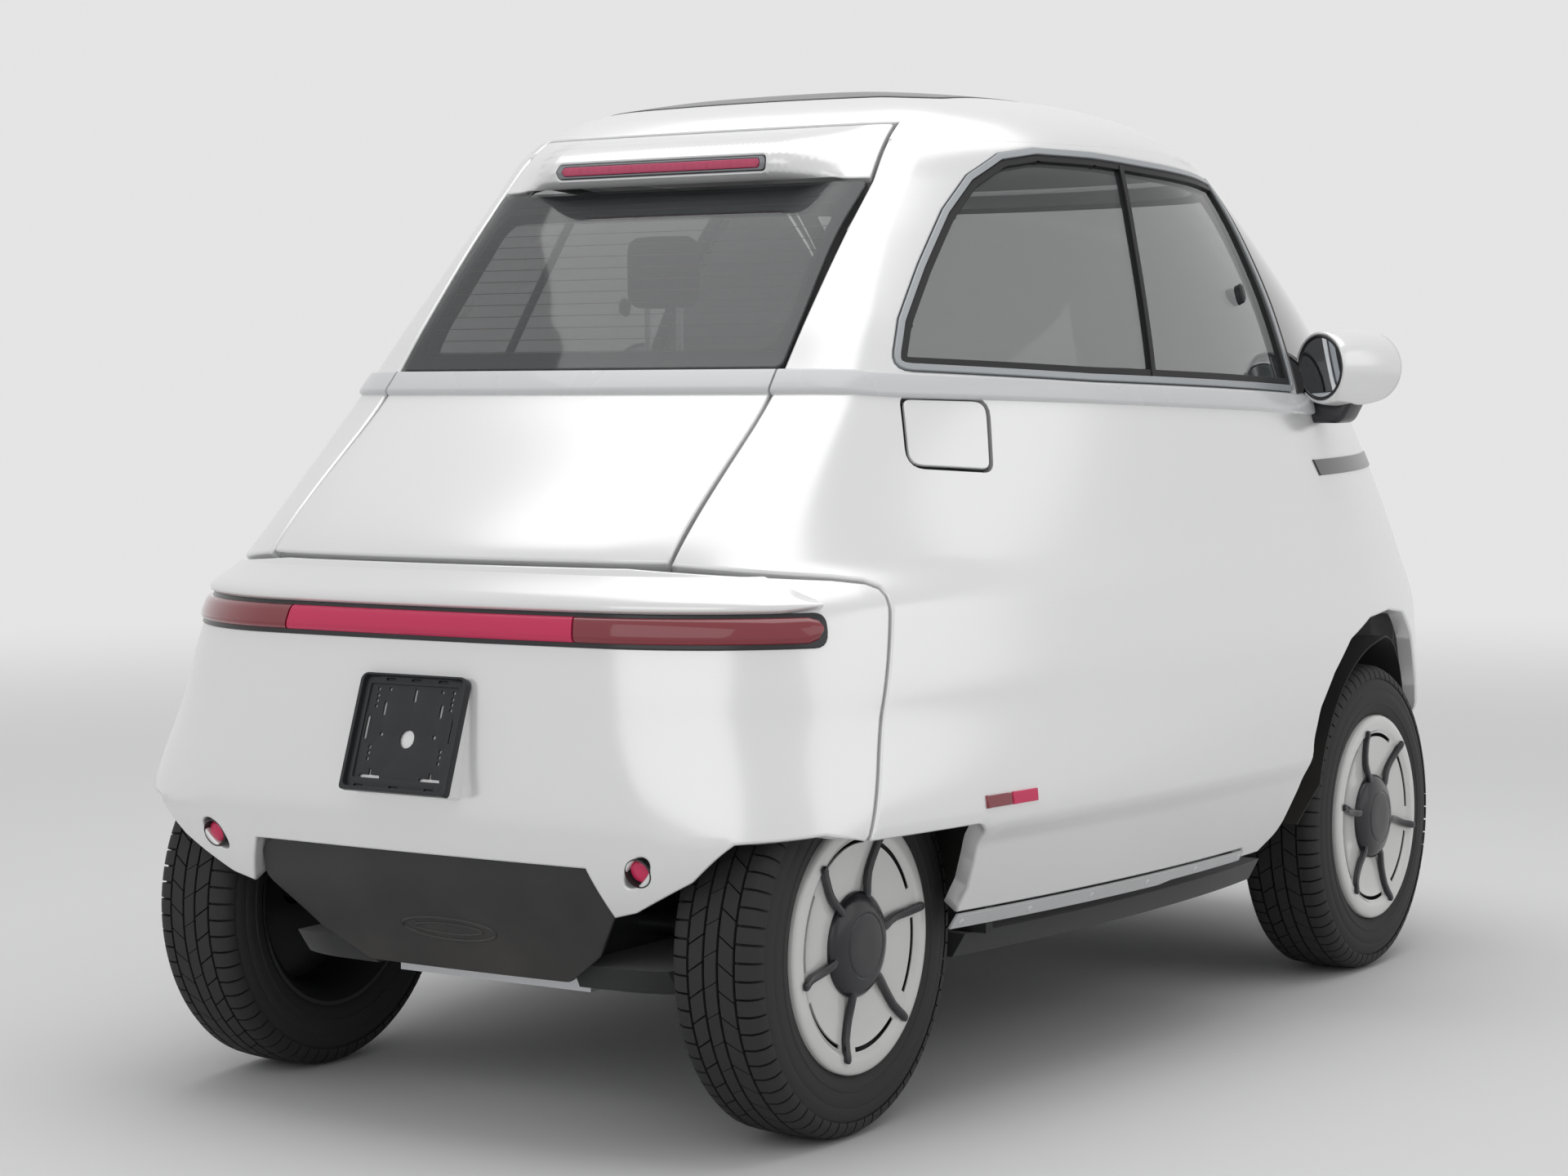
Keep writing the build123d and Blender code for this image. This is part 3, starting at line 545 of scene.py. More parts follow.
@dataclass
class Patch:
    """A trimmed piece of a surface, made into a closed shell with rolled edges.

    The first loop is the outline, the others are holes.
    """

    surface: Skin | RoofSkin
    loops: Sequence[Loop]
    wall: float = 0.030
    depth: float = 0.0
    roll: float = 0.004
    grid: float = 0.020
    grid_up: float | None = None

    def frame_at(self, at: np.ndarray) -> tuple[np.ndarray, np.ndarray, np.ndarray]:
        """Derivatives and normals of the surface at domain points.

        Args:
            at: Domain points.

        Returns:
            Derivative by each value, and unit normals.
        """
        step = 5e-4
        u, v = at[:, 0], at[:, 1]
        du = (self.surface.place(u + step, v) - self.surface.place(u - step, v)) / (2 * step)
        dv = (self.surface.place(u, v + step) - self.surface.place(u, v - step)) / (2 * step)
        return du, dv, self.surface.normal(u, v)

    def shifted(self, loop: Loop, extra: float) -> tuple[np.ndarray, np.ndarray]:
        """The loop moved into the panel by its seam and an extra amount.

        Args:
            loop: The loop, turned so that the panel lies on its left.
            extra: Further distance into the panel.

        Returns:
            The moved domain points, and unit vectors out of the panel in space.
        """
        at = loop.points
        du, dv, normal = self.frame_at(at)
        place = self.surface.place(at[:, 0], at[:, 1])
        ahead = np.roll(place, -1, axis=0) - place
        ahead -= normal * np.sum(ahead * normal, axis=1)[:, None]
        ahead /= np.maximum(np.linalg.norm(ahead, axis=1), 1e-9)[:, None]
        behind = np.roll(ahead, 1, axis=0)
        into_next = np.cross(normal, ahead)
        into_last = np.cross(normal, behind)
        wanted_next = loop.seams + np.where(loop.seams > 0, extra, min(extra, 3e-4))
        wanted_last = np.roll(wanted_next, 1)
        dot = np.sum(into_next * into_last, axis=1)
        det = np.maximum(1 - dot * dot, 1e-9)
        a = (wanted_next - dot * wanted_last) / det
        b = (wanted_last - dot * wanted_next) / det
        straight = dot > 0.995
        a = np.where(straight, (wanted_next + wanted_last) / 4, a)
        b = np.where(straight, (wanted_next + wanted_last) / 4, b)
        limit = 2.5 * np.maximum(wanted_next, wanted_last)
        move = into_next * a[:, None] + into_last * b[:, None]
        length = np.maximum(np.linalg.norm(move, axis=1), 1e-12)
        move *= np.minimum(1, limit / length)[:, None]
        g11, g12, g22 = np.sum(du * du, 1), np.sum(du * dv, 1), np.sum(dv * dv, 1)
        m1, m2 = np.sum(move * du, 1), np.sum(move * dv, 1)
        gram = g11 * g22 - g12 * g12
        delta = np.stack([(g22 * m1 - g12 * m2) / gram, (g11 * m2 - g12 * m1) / gram], axis=1)
        out = -(into_next + into_last)
        out /= np.maximum(np.linalg.norm(out, axis=1), 1e-9)[:, None]
        return at + delta, out

    def build(self, name: str, material: bpy.types.Material) -> bpy.types.Object:
        """Make the shell.

        Args:
            name: The object's name.
            material: Its finish.

        Returns:
            The finished object, at the origin.
        """
        turn = 1 if isinstance(self.surface, RoofSkin) else -1
        loops = [ordered(loop, turn if index == 0 else -turn) for index, loop in enumerate(self.loops)]
        fronts, seams, outs = [], [], []
        for index, loop in enumerate(loops):
            front, out = self.shifted(loop, self.roll)
            seam, _ = self.shifted(loop, 0.0)
            fronts.append(front)
            seams.append(seam)
            outs.append(out)
        grid_up = self.grid_up or self.grid
        low = fronts[0].min(axis=0)
        high = fronts[0].max(axis=0)
        across = np.arange(low[0] + self.grid / 2, high[0], self.grid)
        upward = np.arange(low[1] + grid_up / 2, high[1], grid_up)
        mesh_u, mesh_v = np.meshgrid(across, upward)
        mesh_u[1::2] += self.grid / 2
        candidates = np.stack([mesh_u.ravel(), mesh_v.ravel()], axis=1)
        candidates = candidates[inside(candidates, fronts)]
        scale = np.array([1 / self.grid, 1 / grid_up])
        border = np.concatenate(fronts) * scale
        keep = np.ones(len(candidates), dtype=bool)
        for start in range(0, len(candidates), 512):
            block = candidates[start:start + 512] * scale
            gaps = np.min(np.sum((block[:, None] - border[None]) ** 2, axis=2), axis=1)
            keep[start:start + 512] = gaps > 0.30
        candidates = candidates[keep]
        points = np.concatenate([*fronts, candidates])
        edges, start = [], 0
        for front in fronts:
            count = len(front)
            edges.extend((start + k, start + (k + 1) % count) for k in range(count))
            start += count
        _, _, faces, origins, _, _ = delaunay_2d_cdt([Vector(p) for p in points], edges, [], 0, 1e-7)
        source = [o[0] if o else -1 for o in origins]
        triangles = np.array([[source[i] for i in face] for face in faces
                              if all(source[i] >= 0 for i in face)])
        centres = points[triangles].mean(axis=1)
        triangles = triangles[inside(centres, fronts)]
        if turn < 0:
            area = np.cross(points[triangles[:, 1]] - points[triangles[:, 0]],
                            points[triangles[:, 2]] - points[triangles[:, 0]])
            triangles[area > 0] = triangles[area > 0][:, ::-1]
        place = self.surface.place(points[:, 0], points[:, 1])
        normal = self.surface.normal(points[:, 0], points[:, 1])
        front_at = place - normal * self.depth
        back_at = place - normal * (self.depth + self.wall)
        vertices: list[np.ndarray] = [front_at, back_at]
        total = len(points)
        all_faces: list[tuple[int, ...]] = [tuple(t) for t in triangles]
        all_normals: list[np.ndarray] = [normal[list(t)] for t in triangles]
        all_faces += [tuple(int(i) + total for i in t[::-1]) for t in triangles]
        all_normals += [-normal[list(t[::-1])] for t in triangles]
        base, offset = 2 * total, 0
        for front, seam, out in zip(fronts, seams, outs):
            count = len(front)
            seam_place = self.surface.place(seam[:, 0], seam[:, 1])
            seam_normal = self.surface.normal(seam[:, 0], seam[:, 1])
            flat = 1 - math.sqrt(0.5)
            reach = np.linalg.norm(seam_place - place[offset:offset + count], axis=1)[:, None]
            roll = np.minimum(self.roll, reach)
            ring_b = seam_place - out * reach * flat - seam_normal * (self.depth + roll * flat)
            ring_c = seam_place - seam_normal * (self.depth + roll)
            ring_d = seam_place - seam_normal * (self.depth + self.wall)
            vertices += [ring_b, ring_c, ring_d]
            half = seam_normal + out
            half /= np.linalg.norm(half, axis=1)[:, None]
            rings = [
                (offset, seam_normal, base, half),
                (base, half, base + count, out),
                (base + count, out, base + 2 * count, out),
                (base + 2 * count, -seam_normal, total + offset, -seam_normal),
            ]
            for a, normal_a, b, normal_b in rings:
                for k in range(count):
                    n = (k + 1) % count
                    all_faces.append((a + n, a + k, b + k, b + n))
                    all_normals.append(np.array([normal_a[n], normal_a[k], normal_b[k], normal_b[n]]))
            base += 3 * count
            offset += count
        return solid_mesh(name, np.concatenate(vertices), all_faces, material, np.concatenate(all_normals))


def solid_mesh(name: str, vertices: np.ndarray | Sequence, faces: Sequence[Sequence[int]],
               material: bpy.types.Material | None, normals: np.ndarray | None = None,
               smooth_faces: bool = True) -> bpy.types.Object:
    """Make an object from plain lists.

    Args:
        name: The object's name.
        vertices: Its points, in the frame.
        faces: Point indices of each face, outward.
        material: Its finish.
        normals: A normal for each face corner, in order, or None for the faces' own.
        smooth_faces: Whether the faces are shaded smooth.

    Returns:
        The linked object.
    """
    mesh = bpy.data.meshes.new(name)
    mesh.from_pydata([tuple(v) for v in vertices], [], [tuple(int(i) for i in f) for f in faces])
    mesh.polygons.foreach_set("use_smooth", [smooth_faces] * len(mesh.polygons))
    if material is not None:
        mesh.materials.append(material)
    if normals is not None and len(normals) == len(mesh.loops):
        mesh.normals_split_custom_set([tuple(n) for n in normals])
    mesh.update()
    made = bpy.data.objects.new(name, mesh)
    bpy.context.scene.collection.objects.link(made)
    return made


# ---------------------------------------------------------------- finishes
def group_socket(tree: bpy.types.NodeTree, name: str, kind: str, default: float | None = None,
                 leaving: bool = False) -> None:
    """Add a named input or output to a node group.

    Args:
        tree: The node group.
        name: The socket's name.
        kind: The type of socket.
        default: Value of an input that nothing feeds.
        leaving: Whether it is an output.
    """
    socket = tree.interface.new_socket(name=name, in_out="OUTPUT" if leaving else "INPUT", socket_type=kind)
    if default is not None:
        socket.default_value = default


def grain_group() -> bpy.types.NodeTree:
    """Shared surface grain: a fine bump, a slow bump and a patchy mask, on object coordinates.

    Returns:
        The group.
    """
    if "surface_grain" in bpy.data.node_groups:
        return bpy.data.node_groups["surface_grain"]
    tree = bpy.data.node_groups.new("surface_grain", "ShaderNodeTree")
    group_socket(tree, "Scale", "NodeSocketFloat", 400.0)
    group_socket(tree, "Strength", "NodeSocketFloat", 0.1)
    group_socket(tree, "Wave", "NodeSocketFloat", 0.0)
    group_socket(tree, "Normal", "NodeSocketVector", leaving=True)
    group_socket(tree, "Mask", "NodeSocketFloat", leaving=True)
    nodes, link = tree.nodes, tree.links.new
    given, out = nodes.new("NodeGroupInput"), nodes.new("NodeGroupOutput")
    where = nodes.new("ShaderNodeTexCoord")
    fine = nodes.new("ShaderNodeTexNoise")
    fine.inputs["Detail"].default_value = 3
    slow = nodes.new("ShaderNodeTexNoise")
    slow.inputs["Scale"].default_value = 7
    slow.inputs["Detail"].default_value = 2
    patches = nodes.new("ShaderNodeTexNoise")
    patches.inputs["Scale"].default_value = 3.2
    patches.inputs["Detail"].default_value = 5
    first, second = nodes.new("ShaderNodeBump"), nodes.new("ShaderNodeBump")
    first.inputs["Distance"].default_value = 0.0004
    second.inputs["Distance"].default_value = 0.004
    for noise in (fine, slow, patches):
        link(where.outputs["Object"], noise.inputs["Vector"])
    link(given.outputs["Scale"], fine.inputs["Scale"])
    link(fine.outputs["Fac"], first.inputs["Height"])
    link(given.outputs["Strength"], first.inputs["Strength"])
    link(slow.outputs["Fac"], second.inputs["Height"])
    link(given.outputs["Wave"], second.inputs["Strength"])
    link(first.outputs["Normal"], second.inputs["Normal"])
    link(second.outputs["Normal"], out.inputs["Normal"])
    link(patches.outputs["Fac"], out.inputs["Mask"])
    return tree


def grime_group() -> bpy.types.NodeTree:
    """Shared road dust: a mask that grows towards the ground and breaks up in patches.

    Returns:
        The group.
    """
    if "road_dust" in bpy.data.node_groups:
        return bpy.data.node_groups["road_dust"]
    tree = bpy.data.node_groups.new("road_dust", "ShaderNodeTree")
    group_socket(tree, "Top", "NodeSocketFloat", 0.5)
    group_socket(tree, "Amount", "NodeSocketFloat", 0.2)
    group_socket(tree, "Dust", "NodeSocketFloat", leaving=True)
    nodes, link = tree.nodes, tree.links.new
    given, out = nodes.new("NodeGroupInput"), nodes.new("NodeGroupOutput")
    where = nodes.new("ShaderNodeTexCoord")
    apart = nodes.new("ShaderNodeSeparateXYZ")
    fade = nodes.new("ShaderNodeMapRange")
    fade.inputs["To Min"].default_value = 1
    fade.inputs["To Max"].default_value = 0
    noise = nodes.new("ShaderNodeTexNoise")
    noise.inputs["Scale"].default_value = 9
    noise.inputs["Detail"].default_value = 6
    broken, scaled = nodes.new("ShaderNodeMath"), nodes.new("ShaderNodeMath")
    broken.operation = scaled.operation = "MULTIPLY"
    link(where.outputs["Object"], apart.inputs["Vector"])
    link(where.outputs["Object"], noise.inputs["Vector"])
    link(apart.outputs["Z"], fade.inputs["Value"])
    link(given.outputs["Top"], fade.inputs["From Max"])
    link(fade.outputs["Result"], broken.inputs[0])
    link(noise.outputs["Fac"], broken.inputs[1])
    link(broken.outputs[0], scaled.inputs[0])
    link(given.outputs["Amount"], scaled.inputs[1])
    link(scaled.outputs[0], out.inputs["Dust"])
    return tree


@dataclass(frozen=True)
class Finish:
    """A surface finish, from which a procedural material is made."""

    name: str
    colour: tuple[float, float, float]
    roughness: float = 0.5
    metallic: float = 0.0
    coat: float = 0.0
    grain_scale: float = 400.0
    grain: float = 0.08
    wave: float = 0.0
    vary: float = 0.05
    vary_rough: float = 0.08
    dust: float = 0.0
    dust_top: float = 0.5
    dust_colour: tuple[float, float, float] = (0.33, 0.30, 0.27)
    transmission: float = 0.0
    alpha: float = 1.0
    ior: float = 1.45
    specular: float = 0.5
    sheen: float = 0.0
    glow: float = 0.0

    def material(self) -> bpy.types.Material:
        """The finish's material, made once.

        Returns:
            The material.
        """
        if self.name in bpy.data.materials:
            return bpy.data.materials[self.name]
        made = bpy.data.materials.new(self.name)
        made.use_nodes = True
        nodes, link = made.node_tree.nodes, made.node_tree.links.new
        shader = nodes["Principled BSDF"]
        shader.inputs["Metallic"].default_value = self.metallic
        shader.inputs["Coat Weight"].default_value = self.coat
        shader.inputs["Coat Roughness"].default_value = 0.03
        shader.inputs["IOR"].default_value = self.ior
        shader.inputs["Specular IOR Level"].default_value = self.specular
        shader.inputs["Transmission Weight"].default_value = self.transmission
        shader.inputs["Alpha"].default_value = self.alpha
        shader.inputs["Sheen Weight"].default_value = self.sheen
        grain = nodes.new("ShaderNodeGroup")
        grain.node_tree = grain_group()
        grain.inputs["Scale"].default_value = self.grain_scale
        grain.inputs["Strength"].default_value = self.grain
        grain.inputs["Wave"].default_value = self.wave
        link(grain.outputs["Normal"], shader.inputs["Normal"])
        mix = nodes.new("ShaderNodeMix")
        mix.data_type = "RGBA"
        mix.inputs["A"].default_value = (*self.colour, 1)
        mix.inputs["B"].default_value = (*[c * (1 - self.vary) for c in self.colour], 1)
        link(grain.outputs["Mask"], mix.inputs["Factor"])
        rough = nodes.new("ShaderNodeMapRange")
        rough.inputs["To Min"].default_value = max(self.roughness - self.vary_rough / 2, 0.0)
        rough.inputs["To Max"].default_value = min(self.roughness + self.vary_rough / 2, 1.0)
        link(grain.outputs["Mask"], rough.inputs["Value"])
        link(rough.outputs["Result"], shader.inputs["Roughness"])
        colour = mix.outputs["Result"]
        if self.dust > 0:
            dust = nodes.new("ShaderNodeGroup")
            dust.node_tree = grime_group()
            dust.inputs["Top"].default_value = self.dust_top
            dust.inputs["Amount"].default_value = self.dust
            laid = nodes.new("ShaderNodeMix")
            laid.data_type = "RGBA"
            laid.inputs["B"].default_value = (*self.dust_colour, 1)
            link(dust.outputs["Dust"], laid.inputs["Factor"])
            link(colour, laid.inputs["A"])
            colour = laid.outputs["Result"]
        link(colour, shader.inputs["Base Color"])
        if self.glow > 0:
            link(colour, shader.inputs["Emission Color"])
            shader.inputs["Emission Strength"].default_value = self.glow
        return made


WHITE = Finish("white_paint", (0.80, 0.80, 0.80), 0.16, coat=1.0, grain=0.02, wave=0.01, vary=0.02, dust=0.10,
               dust_top=0.55)
WHITE_TRIM = Finish("white_trim", (0.72, 0.73, 0.74), 0.28, coat=0.5, grain=0.04, vary=0.03)
SILL_GREY = Finish("sill_grey", (0.60, 0.61, 0.62), 0.34, coat=0.3, grain=0.05, vary=0.04, dust=0.35)
GREY_TRIM = Finish("window_trim", (0.42, 0.44, 0.46), 0.33, metallic=0.35, grain=0.05)
BLACK_GLOSS = Finish("black_gloss", (0.012, 0.012, 0.015), 0.07, coat=1.0, grain=0.02, vary=0.2)
PILLAR_BLACK = Finish("pillar_black", (0.018, 0.016, 0.016), 0.10, coat=1.0, grain=0.02, vary=0.2)
SATIN_BLACK = Finish("satin_black", (0.022, 0.023, 0.026), 0.38, grain=0.30, grain_scale=900, vary=0.2,
                     dust=0.5, dust_top=0.45)
MATT_BLACK = Finish("matt_black", (0.014, 0.014, 0.015), 0.75, grain=0.5, grain_scale=500, vary=0.25,
                    dust=0.6, dust_top=0.5)
LINER = Finish("arch_liner", (0.012, 0.012, 0.013), 0.8, grain=0.7, grain_scale=220, vary=0.3, dust=0.5)
RUBBER = Finish("seal_rubber", (0.012, 0.012, 0.013), 0.55, grain=0.2, vary=0.2)
TYRE = Finish("tyre_rubber", (0.020, 0.020, 0.021), 0.62, grain=0.5, grain_scale=300, vary=0.25, dust=0.55,
              dust_top=0.6, dust_colour=(0.16, 0.15, 0.14))
RIM_STEEL = Finish("rim_steel", (0.016, 0.016, 0.018), 0.42, metallic=0.3, grain=0.15, dust=0.4)
STEEL = Finish("bare_steel", (0.42, 0.41, 0.40), 0.42, metallic=0.9, grain=0.3, vary=0.2, dust=0.5)
DARK_STEEL = Finish("painted_steel", (0.035, 0.035, 0.038), 0.45, metallic=0.2, grain=0.3, vary=0.25,
                    dust=0.7)
ALUMINIUM = Finish("cast_aluminium", (0.42, 0.43, 0.44), 0.5, metallic=0.85, grain=0.6, grain_scale=250,
                   dust=0.5)
CHROME = Finish("chrome", (0.75, 0.76, 0.78), 0.08, metallic=1.0, grain=0.02)
RED_LENS = Finish("red_lens", (0.42, 0.006, 0.045), 0.10, coat=1.0, grain=0.02, vary=0.2, glow=0.06)
DARK_RED_LENS = Finish("dark_red_lens", (0.27, 0.004, 0.018), 0.10, coat=1.0, grain=0.02, vary=0.25,
                       glow=0.03)
PINK_LENS = Finish("brake_lens", (0.55, 0.03, 0.12), 0.12, coat=1.0, grain=0.02, vary=0.15, glow=0.08)
LAMP_GLASS = Finish("lamp_glass", (0.80, 0.83, 0.86), 0.06, transmission=0.0, alpha=0.30, coat=1.0,
                    grain=0.02)
LAMP_BOWL = Finish("lamp_bowl", (0.80, 0.81, 0.83), 0.15, metallic=1.0, grain=0.05)
WINDOW_GLASS = Finish("window_glass", (0.055, 0.065, 0.065), 0.03, coat=1.0, alpha=0.42, grain=0.005,
                      vary=0.05, vary_rough=0.0)
REAR_GLASS = Finish("rear_glass", (0.055, 0.062, 0.065), 0.03, coat=1.0, alpha=0.50, grain=0.005, vary=0.05,
                    vary_rough=0.0)
CLEAR_GLASS = Finish("windscreen_glass", (0.09, 0.10, 0.10), 0.03, coat=1.0, alpha=0.22, grain=0.005,
                     vary=0.05, vary_rough=0.0)
MIRROR = Finish("mirror_glass", (0.75, 0.77, 0.80), 0.02, metallic=1.0, grain=0.005)
FROST_GREY = Finish("lamp_border", (0.30, 0.31, 0.33), 0.35, grain=0.1)
COVER_WHITE = Finish("cover_white", (0.78, 0.78, 0.77), 0.22, coat=0.6, grain=0.03, dust=0.25, dust_top=0.6)
CABIN_GREY = Finish("cabin_grey", (0.10, 0.105, 0.11), 0.65, grain=0.5, grain_scale=700, vary=0.15)
CARPET = Finish("carpet", (0.025, 0.026, 0.028), 0.95, grain=1.0, grain_scale=900, vary=0.35, sheen=0.4)
HEATER = Finish("heater_line", (0.30, 0.16, 0.10), 0.5, metallic=0.3)
STITCH = Finish("stitching", (0.55, 0.55, 0.53), 0.8, grain=0.4, grain_scale=1500)


def weave_material(name: str, colour: tuple[float, float, float], scale: float) -> bpy.types.Material:
    """Woven seat cloth on object coordinates, with painted shade in the hollows between the threads.

    Args:
        name: The material's name.
        colour: Colour of the yarn.
        scale: Threads to the metre, divided by two pi.

    Returns:
        The material.
    """
    made = bpy.data.materials.new(name)
    made.use_nodes = True
    nodes, link = made.node_tree.nodes, made.node_tree.links.new
    shader = nodes["Principled BSDF"]
    shader.inputs["Roughness"].default_value = 0.9
    shader.inputs["Sheen Weight"].default_value = 0.3
    where = nodes.new("ShaderNodeTexCoord")
    heights = []
    for axis in ("X", "Y", "Z"):
        wave = nodes.new("ShaderNodeTexWave")
        wave.bands_direction = axis
        wave.inputs["Scale"].default_value = scale
        wave.inputs["Distortion"].default_value = 0.6
        link(where.outputs["Object"], wave.inputs["Vector"])
        heights.append(wave.outputs["Fac"])
    first, second = nodes.new("ShaderNodeMath"), nodes.new("ShaderNodeMath")
    first.operation = second.operation = "MAXIMUM"
    link(heights[0], first.inputs[0])
    link(heights[1], first.inputs[1])
    link(first.outputs[0], second.inputs[0])
    link(heights[2], second.inputs[1])
    bump = nodes.new("ShaderNodeBump")
    bump.inputs["Distance"].default_value = 0.0006
    bump.inputs["Strength"].default_value = 0.6
    link(second.outputs[0], bump.inputs["Height"])
    link(bump.outputs["Normal"], shader.inputs["Normal"])
    # The cloth's colour darkens to 0.45 where the weave's bump is low: painted shade in its hollows.
    mix = nodes.new("ShaderNodeMix")
    mix.data_type = "RGBA"
    mix.inputs["A"].default_value = (*[c * 0.45 for c in colour], 1)
    mix.inputs["B"].default_value = (*colour, 1)
    link(second.outputs[0], mix.inputs["Factor"])
    link(mix.outputs["Result"], shader.inputs["Base Color"])
    return made


# ---------------------------------------------------------------- shared builders
def settle(piece: bpy.types.Object, body: str, slot: str, *nodes: str) -> bpy.types.Object:
    """Put a finished piece on its body and hide the nodes that it stands for.

    Args:
        piece: The object to work on.
        body: The body that it rides on.
        slot: Not used.
        *nodes: The nodes that it stands for.

    Returns:
        The same object.
    """
    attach(piece, body)
    if nodes:
        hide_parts(*nodes)
    log.info("%s rides on %s", piece.name, body)
    return piece


def joined(name: str, pieces: Sequence[bpy.types.Object]) -> bpy.types.Object:
    """Join objects into one, keeping each one's materials.

    Args:
        name: The object's name.
        pieces: The objects, used up by this.

    Returns:
        The one object.
    """
    mesh = bmesh.new()
    target = bpy.data.meshes.new(name)
    for piece in pieces:
        base = len(target.materials)
        for material in piece.data.materials:
            target.materials.append(material)
        first = len(mesh.faces)
        mesh.from_mesh(piece.data)
        mesh.faces.ensure_lookup_table()
        for face in mesh.faces[first:]:
            face.material_index += base
        bpy.data.objects.remove(piece)
    mesh.to_mesh(target)
    mesh.free()
    made = bpy.data.objects.new(name, target)
    bpy.context.scene.collection.objects.link(made)
    return made


def frame_from(axis: Vector, up: Vector = Vector((0, 0, 1))) -> Matrix:
    """Rotation whose Z column is an axis and whose Y column leans to up.

    Args:
        axis: The direction along it.
        up: The direction that Y leans to.

    Returns:
        The rotation.
    """
    z = axis.normalized()
    x = up.cross(z)
    if x.length < 1e-6:
        x = Vector((1, 0, 0)).cross(z)
    x.normalize()
    return Matrix((x, z.cross(x), z)).transposed()


def turned(name: str, profile: Points, centre: Sequence[float], axis: Sequence[float],
           material: bpy.types.Material, segments: int = 48, closed: bool = True) -> bpy.types.Object:
    """Turn a profile about an axis.

    Args:
        name: The object's name.
        profile: (reach along the axis, radius) points; a radius of 0 makes a pole.
        centre: Point that reach is measured from.
        axis: The axis' direction.
        material: The finish.
        segments: Steps round.
        closed: Whether the profile's last point joins its first.

    Returns:
        The solid.
    """
    turn = frame_from(Vector(axis))
    middle = Vector(centre)
    vertices: list[Vector] = []
    rings: list[list[int]] = []
    for reach, radius in profile:
        if radius < 1e-7:
            rings.append([len(vertices)])
            vertices.append(middle + turn @ Vector((0, 0, reach)))
            continue
        rings.append(list(range(len(vertices), len(vertices) + segments)))
        for k in range(segments):
            angle = 2 * math.pi * k / segments
            vertices.append(middle + turn @ Vector((radius * math.cos(angle), radius * math.sin(angle),
                                                    reach)))
    faces = []
    count = len(rings)
    for index in range(count if closed else count - 1):
        a, b = rings[index], rings[(index + 1) % count]
        for k in range(segments):
            n = (k + 1) % segments
            if len(a) > 1 and len(b) > 1:
                faces.append((a[k], b[k], b[n], a[n]))
            elif len(a) > 1:
                faces.append((a[k], b[0], a[n]))
            elif len(b) > 1:
                faces.append((a[0], b[k], b[n]))
    made = solid_mesh(name, vertices, faces, material)
    face_out(made)
    shade_by_angle(made)
    return made


def face_out(piece: bpy.types.Object) -> None:
    """Merge doubles and turn all faces outward.

    Args:
        piece: The object to work on.
    """
    mesh = bmesh.new()
    mesh.from_mesh(piece.data)
    bmesh.ops.remove_doubles(mesh, verts=mesh.verts, dist=1e-6)
    bmesh.ops.recalc_face_normals(mesh, faces=mesh.faces)
    mesh.to_mesh(piece.data)
    mesh.free()


def shade_by_angle(piece: bpy.types.Object, angle: float = 35.0) -> None:
    """Shade smooth, with edges sharper than an angle kept sharp.

    Args:
        piece: The object to work on.
        angle: The angle, in degrees.
    """
    mesh = piece.data
    mesh.polygons.foreach_set("use_smooth", [True] * len(mesh.polygons))
    mesh.set_sharp_from_angle(angle=math.radians(angle))


def box_piece(name: str, low: Sequence[float], high: Sequence[float], material: bpy.types.Material,
              bevel: float = 0.003, segments: int = 2) -> bpy.types.Object:
    """A box with rounded edges between two corners.

    Args:
        name: The object's name.
        low: Lowest corner or value.
        high: Highest corner or value.
        material: Its finish.
        bevel: Radius of its edges.
        segments: Segments in an edge.

    Returns:
        The object.
    """
    mesh = bmesh.new()
    bmesh.ops.create_cube(mesh, size=1.0)
    a, b = Vector(low), Vector(high)
    for vertex in mesh.verts:
        vertex.co = Vector([(a[i] + b[i]) / 2 + vertex.co[i] * (b[i] - a[i]) for i in range(3)])
    if bevel > 0:
        bmesh.ops.bevel(mesh, geom=list(mesh.edges), offset=bevel, segments=segments, affect="EDGES",
                        profile=0.5)
    made = bpy.data.objects.new(name, bpy.data.meshes.new(name))
    mesh.to_mesh(made.data)
    mesh.free()
    made.data.materials.append(material)
    bpy.context.scene.collection.objects.link(made)
    shade_by_angle(made, 30)
    return made


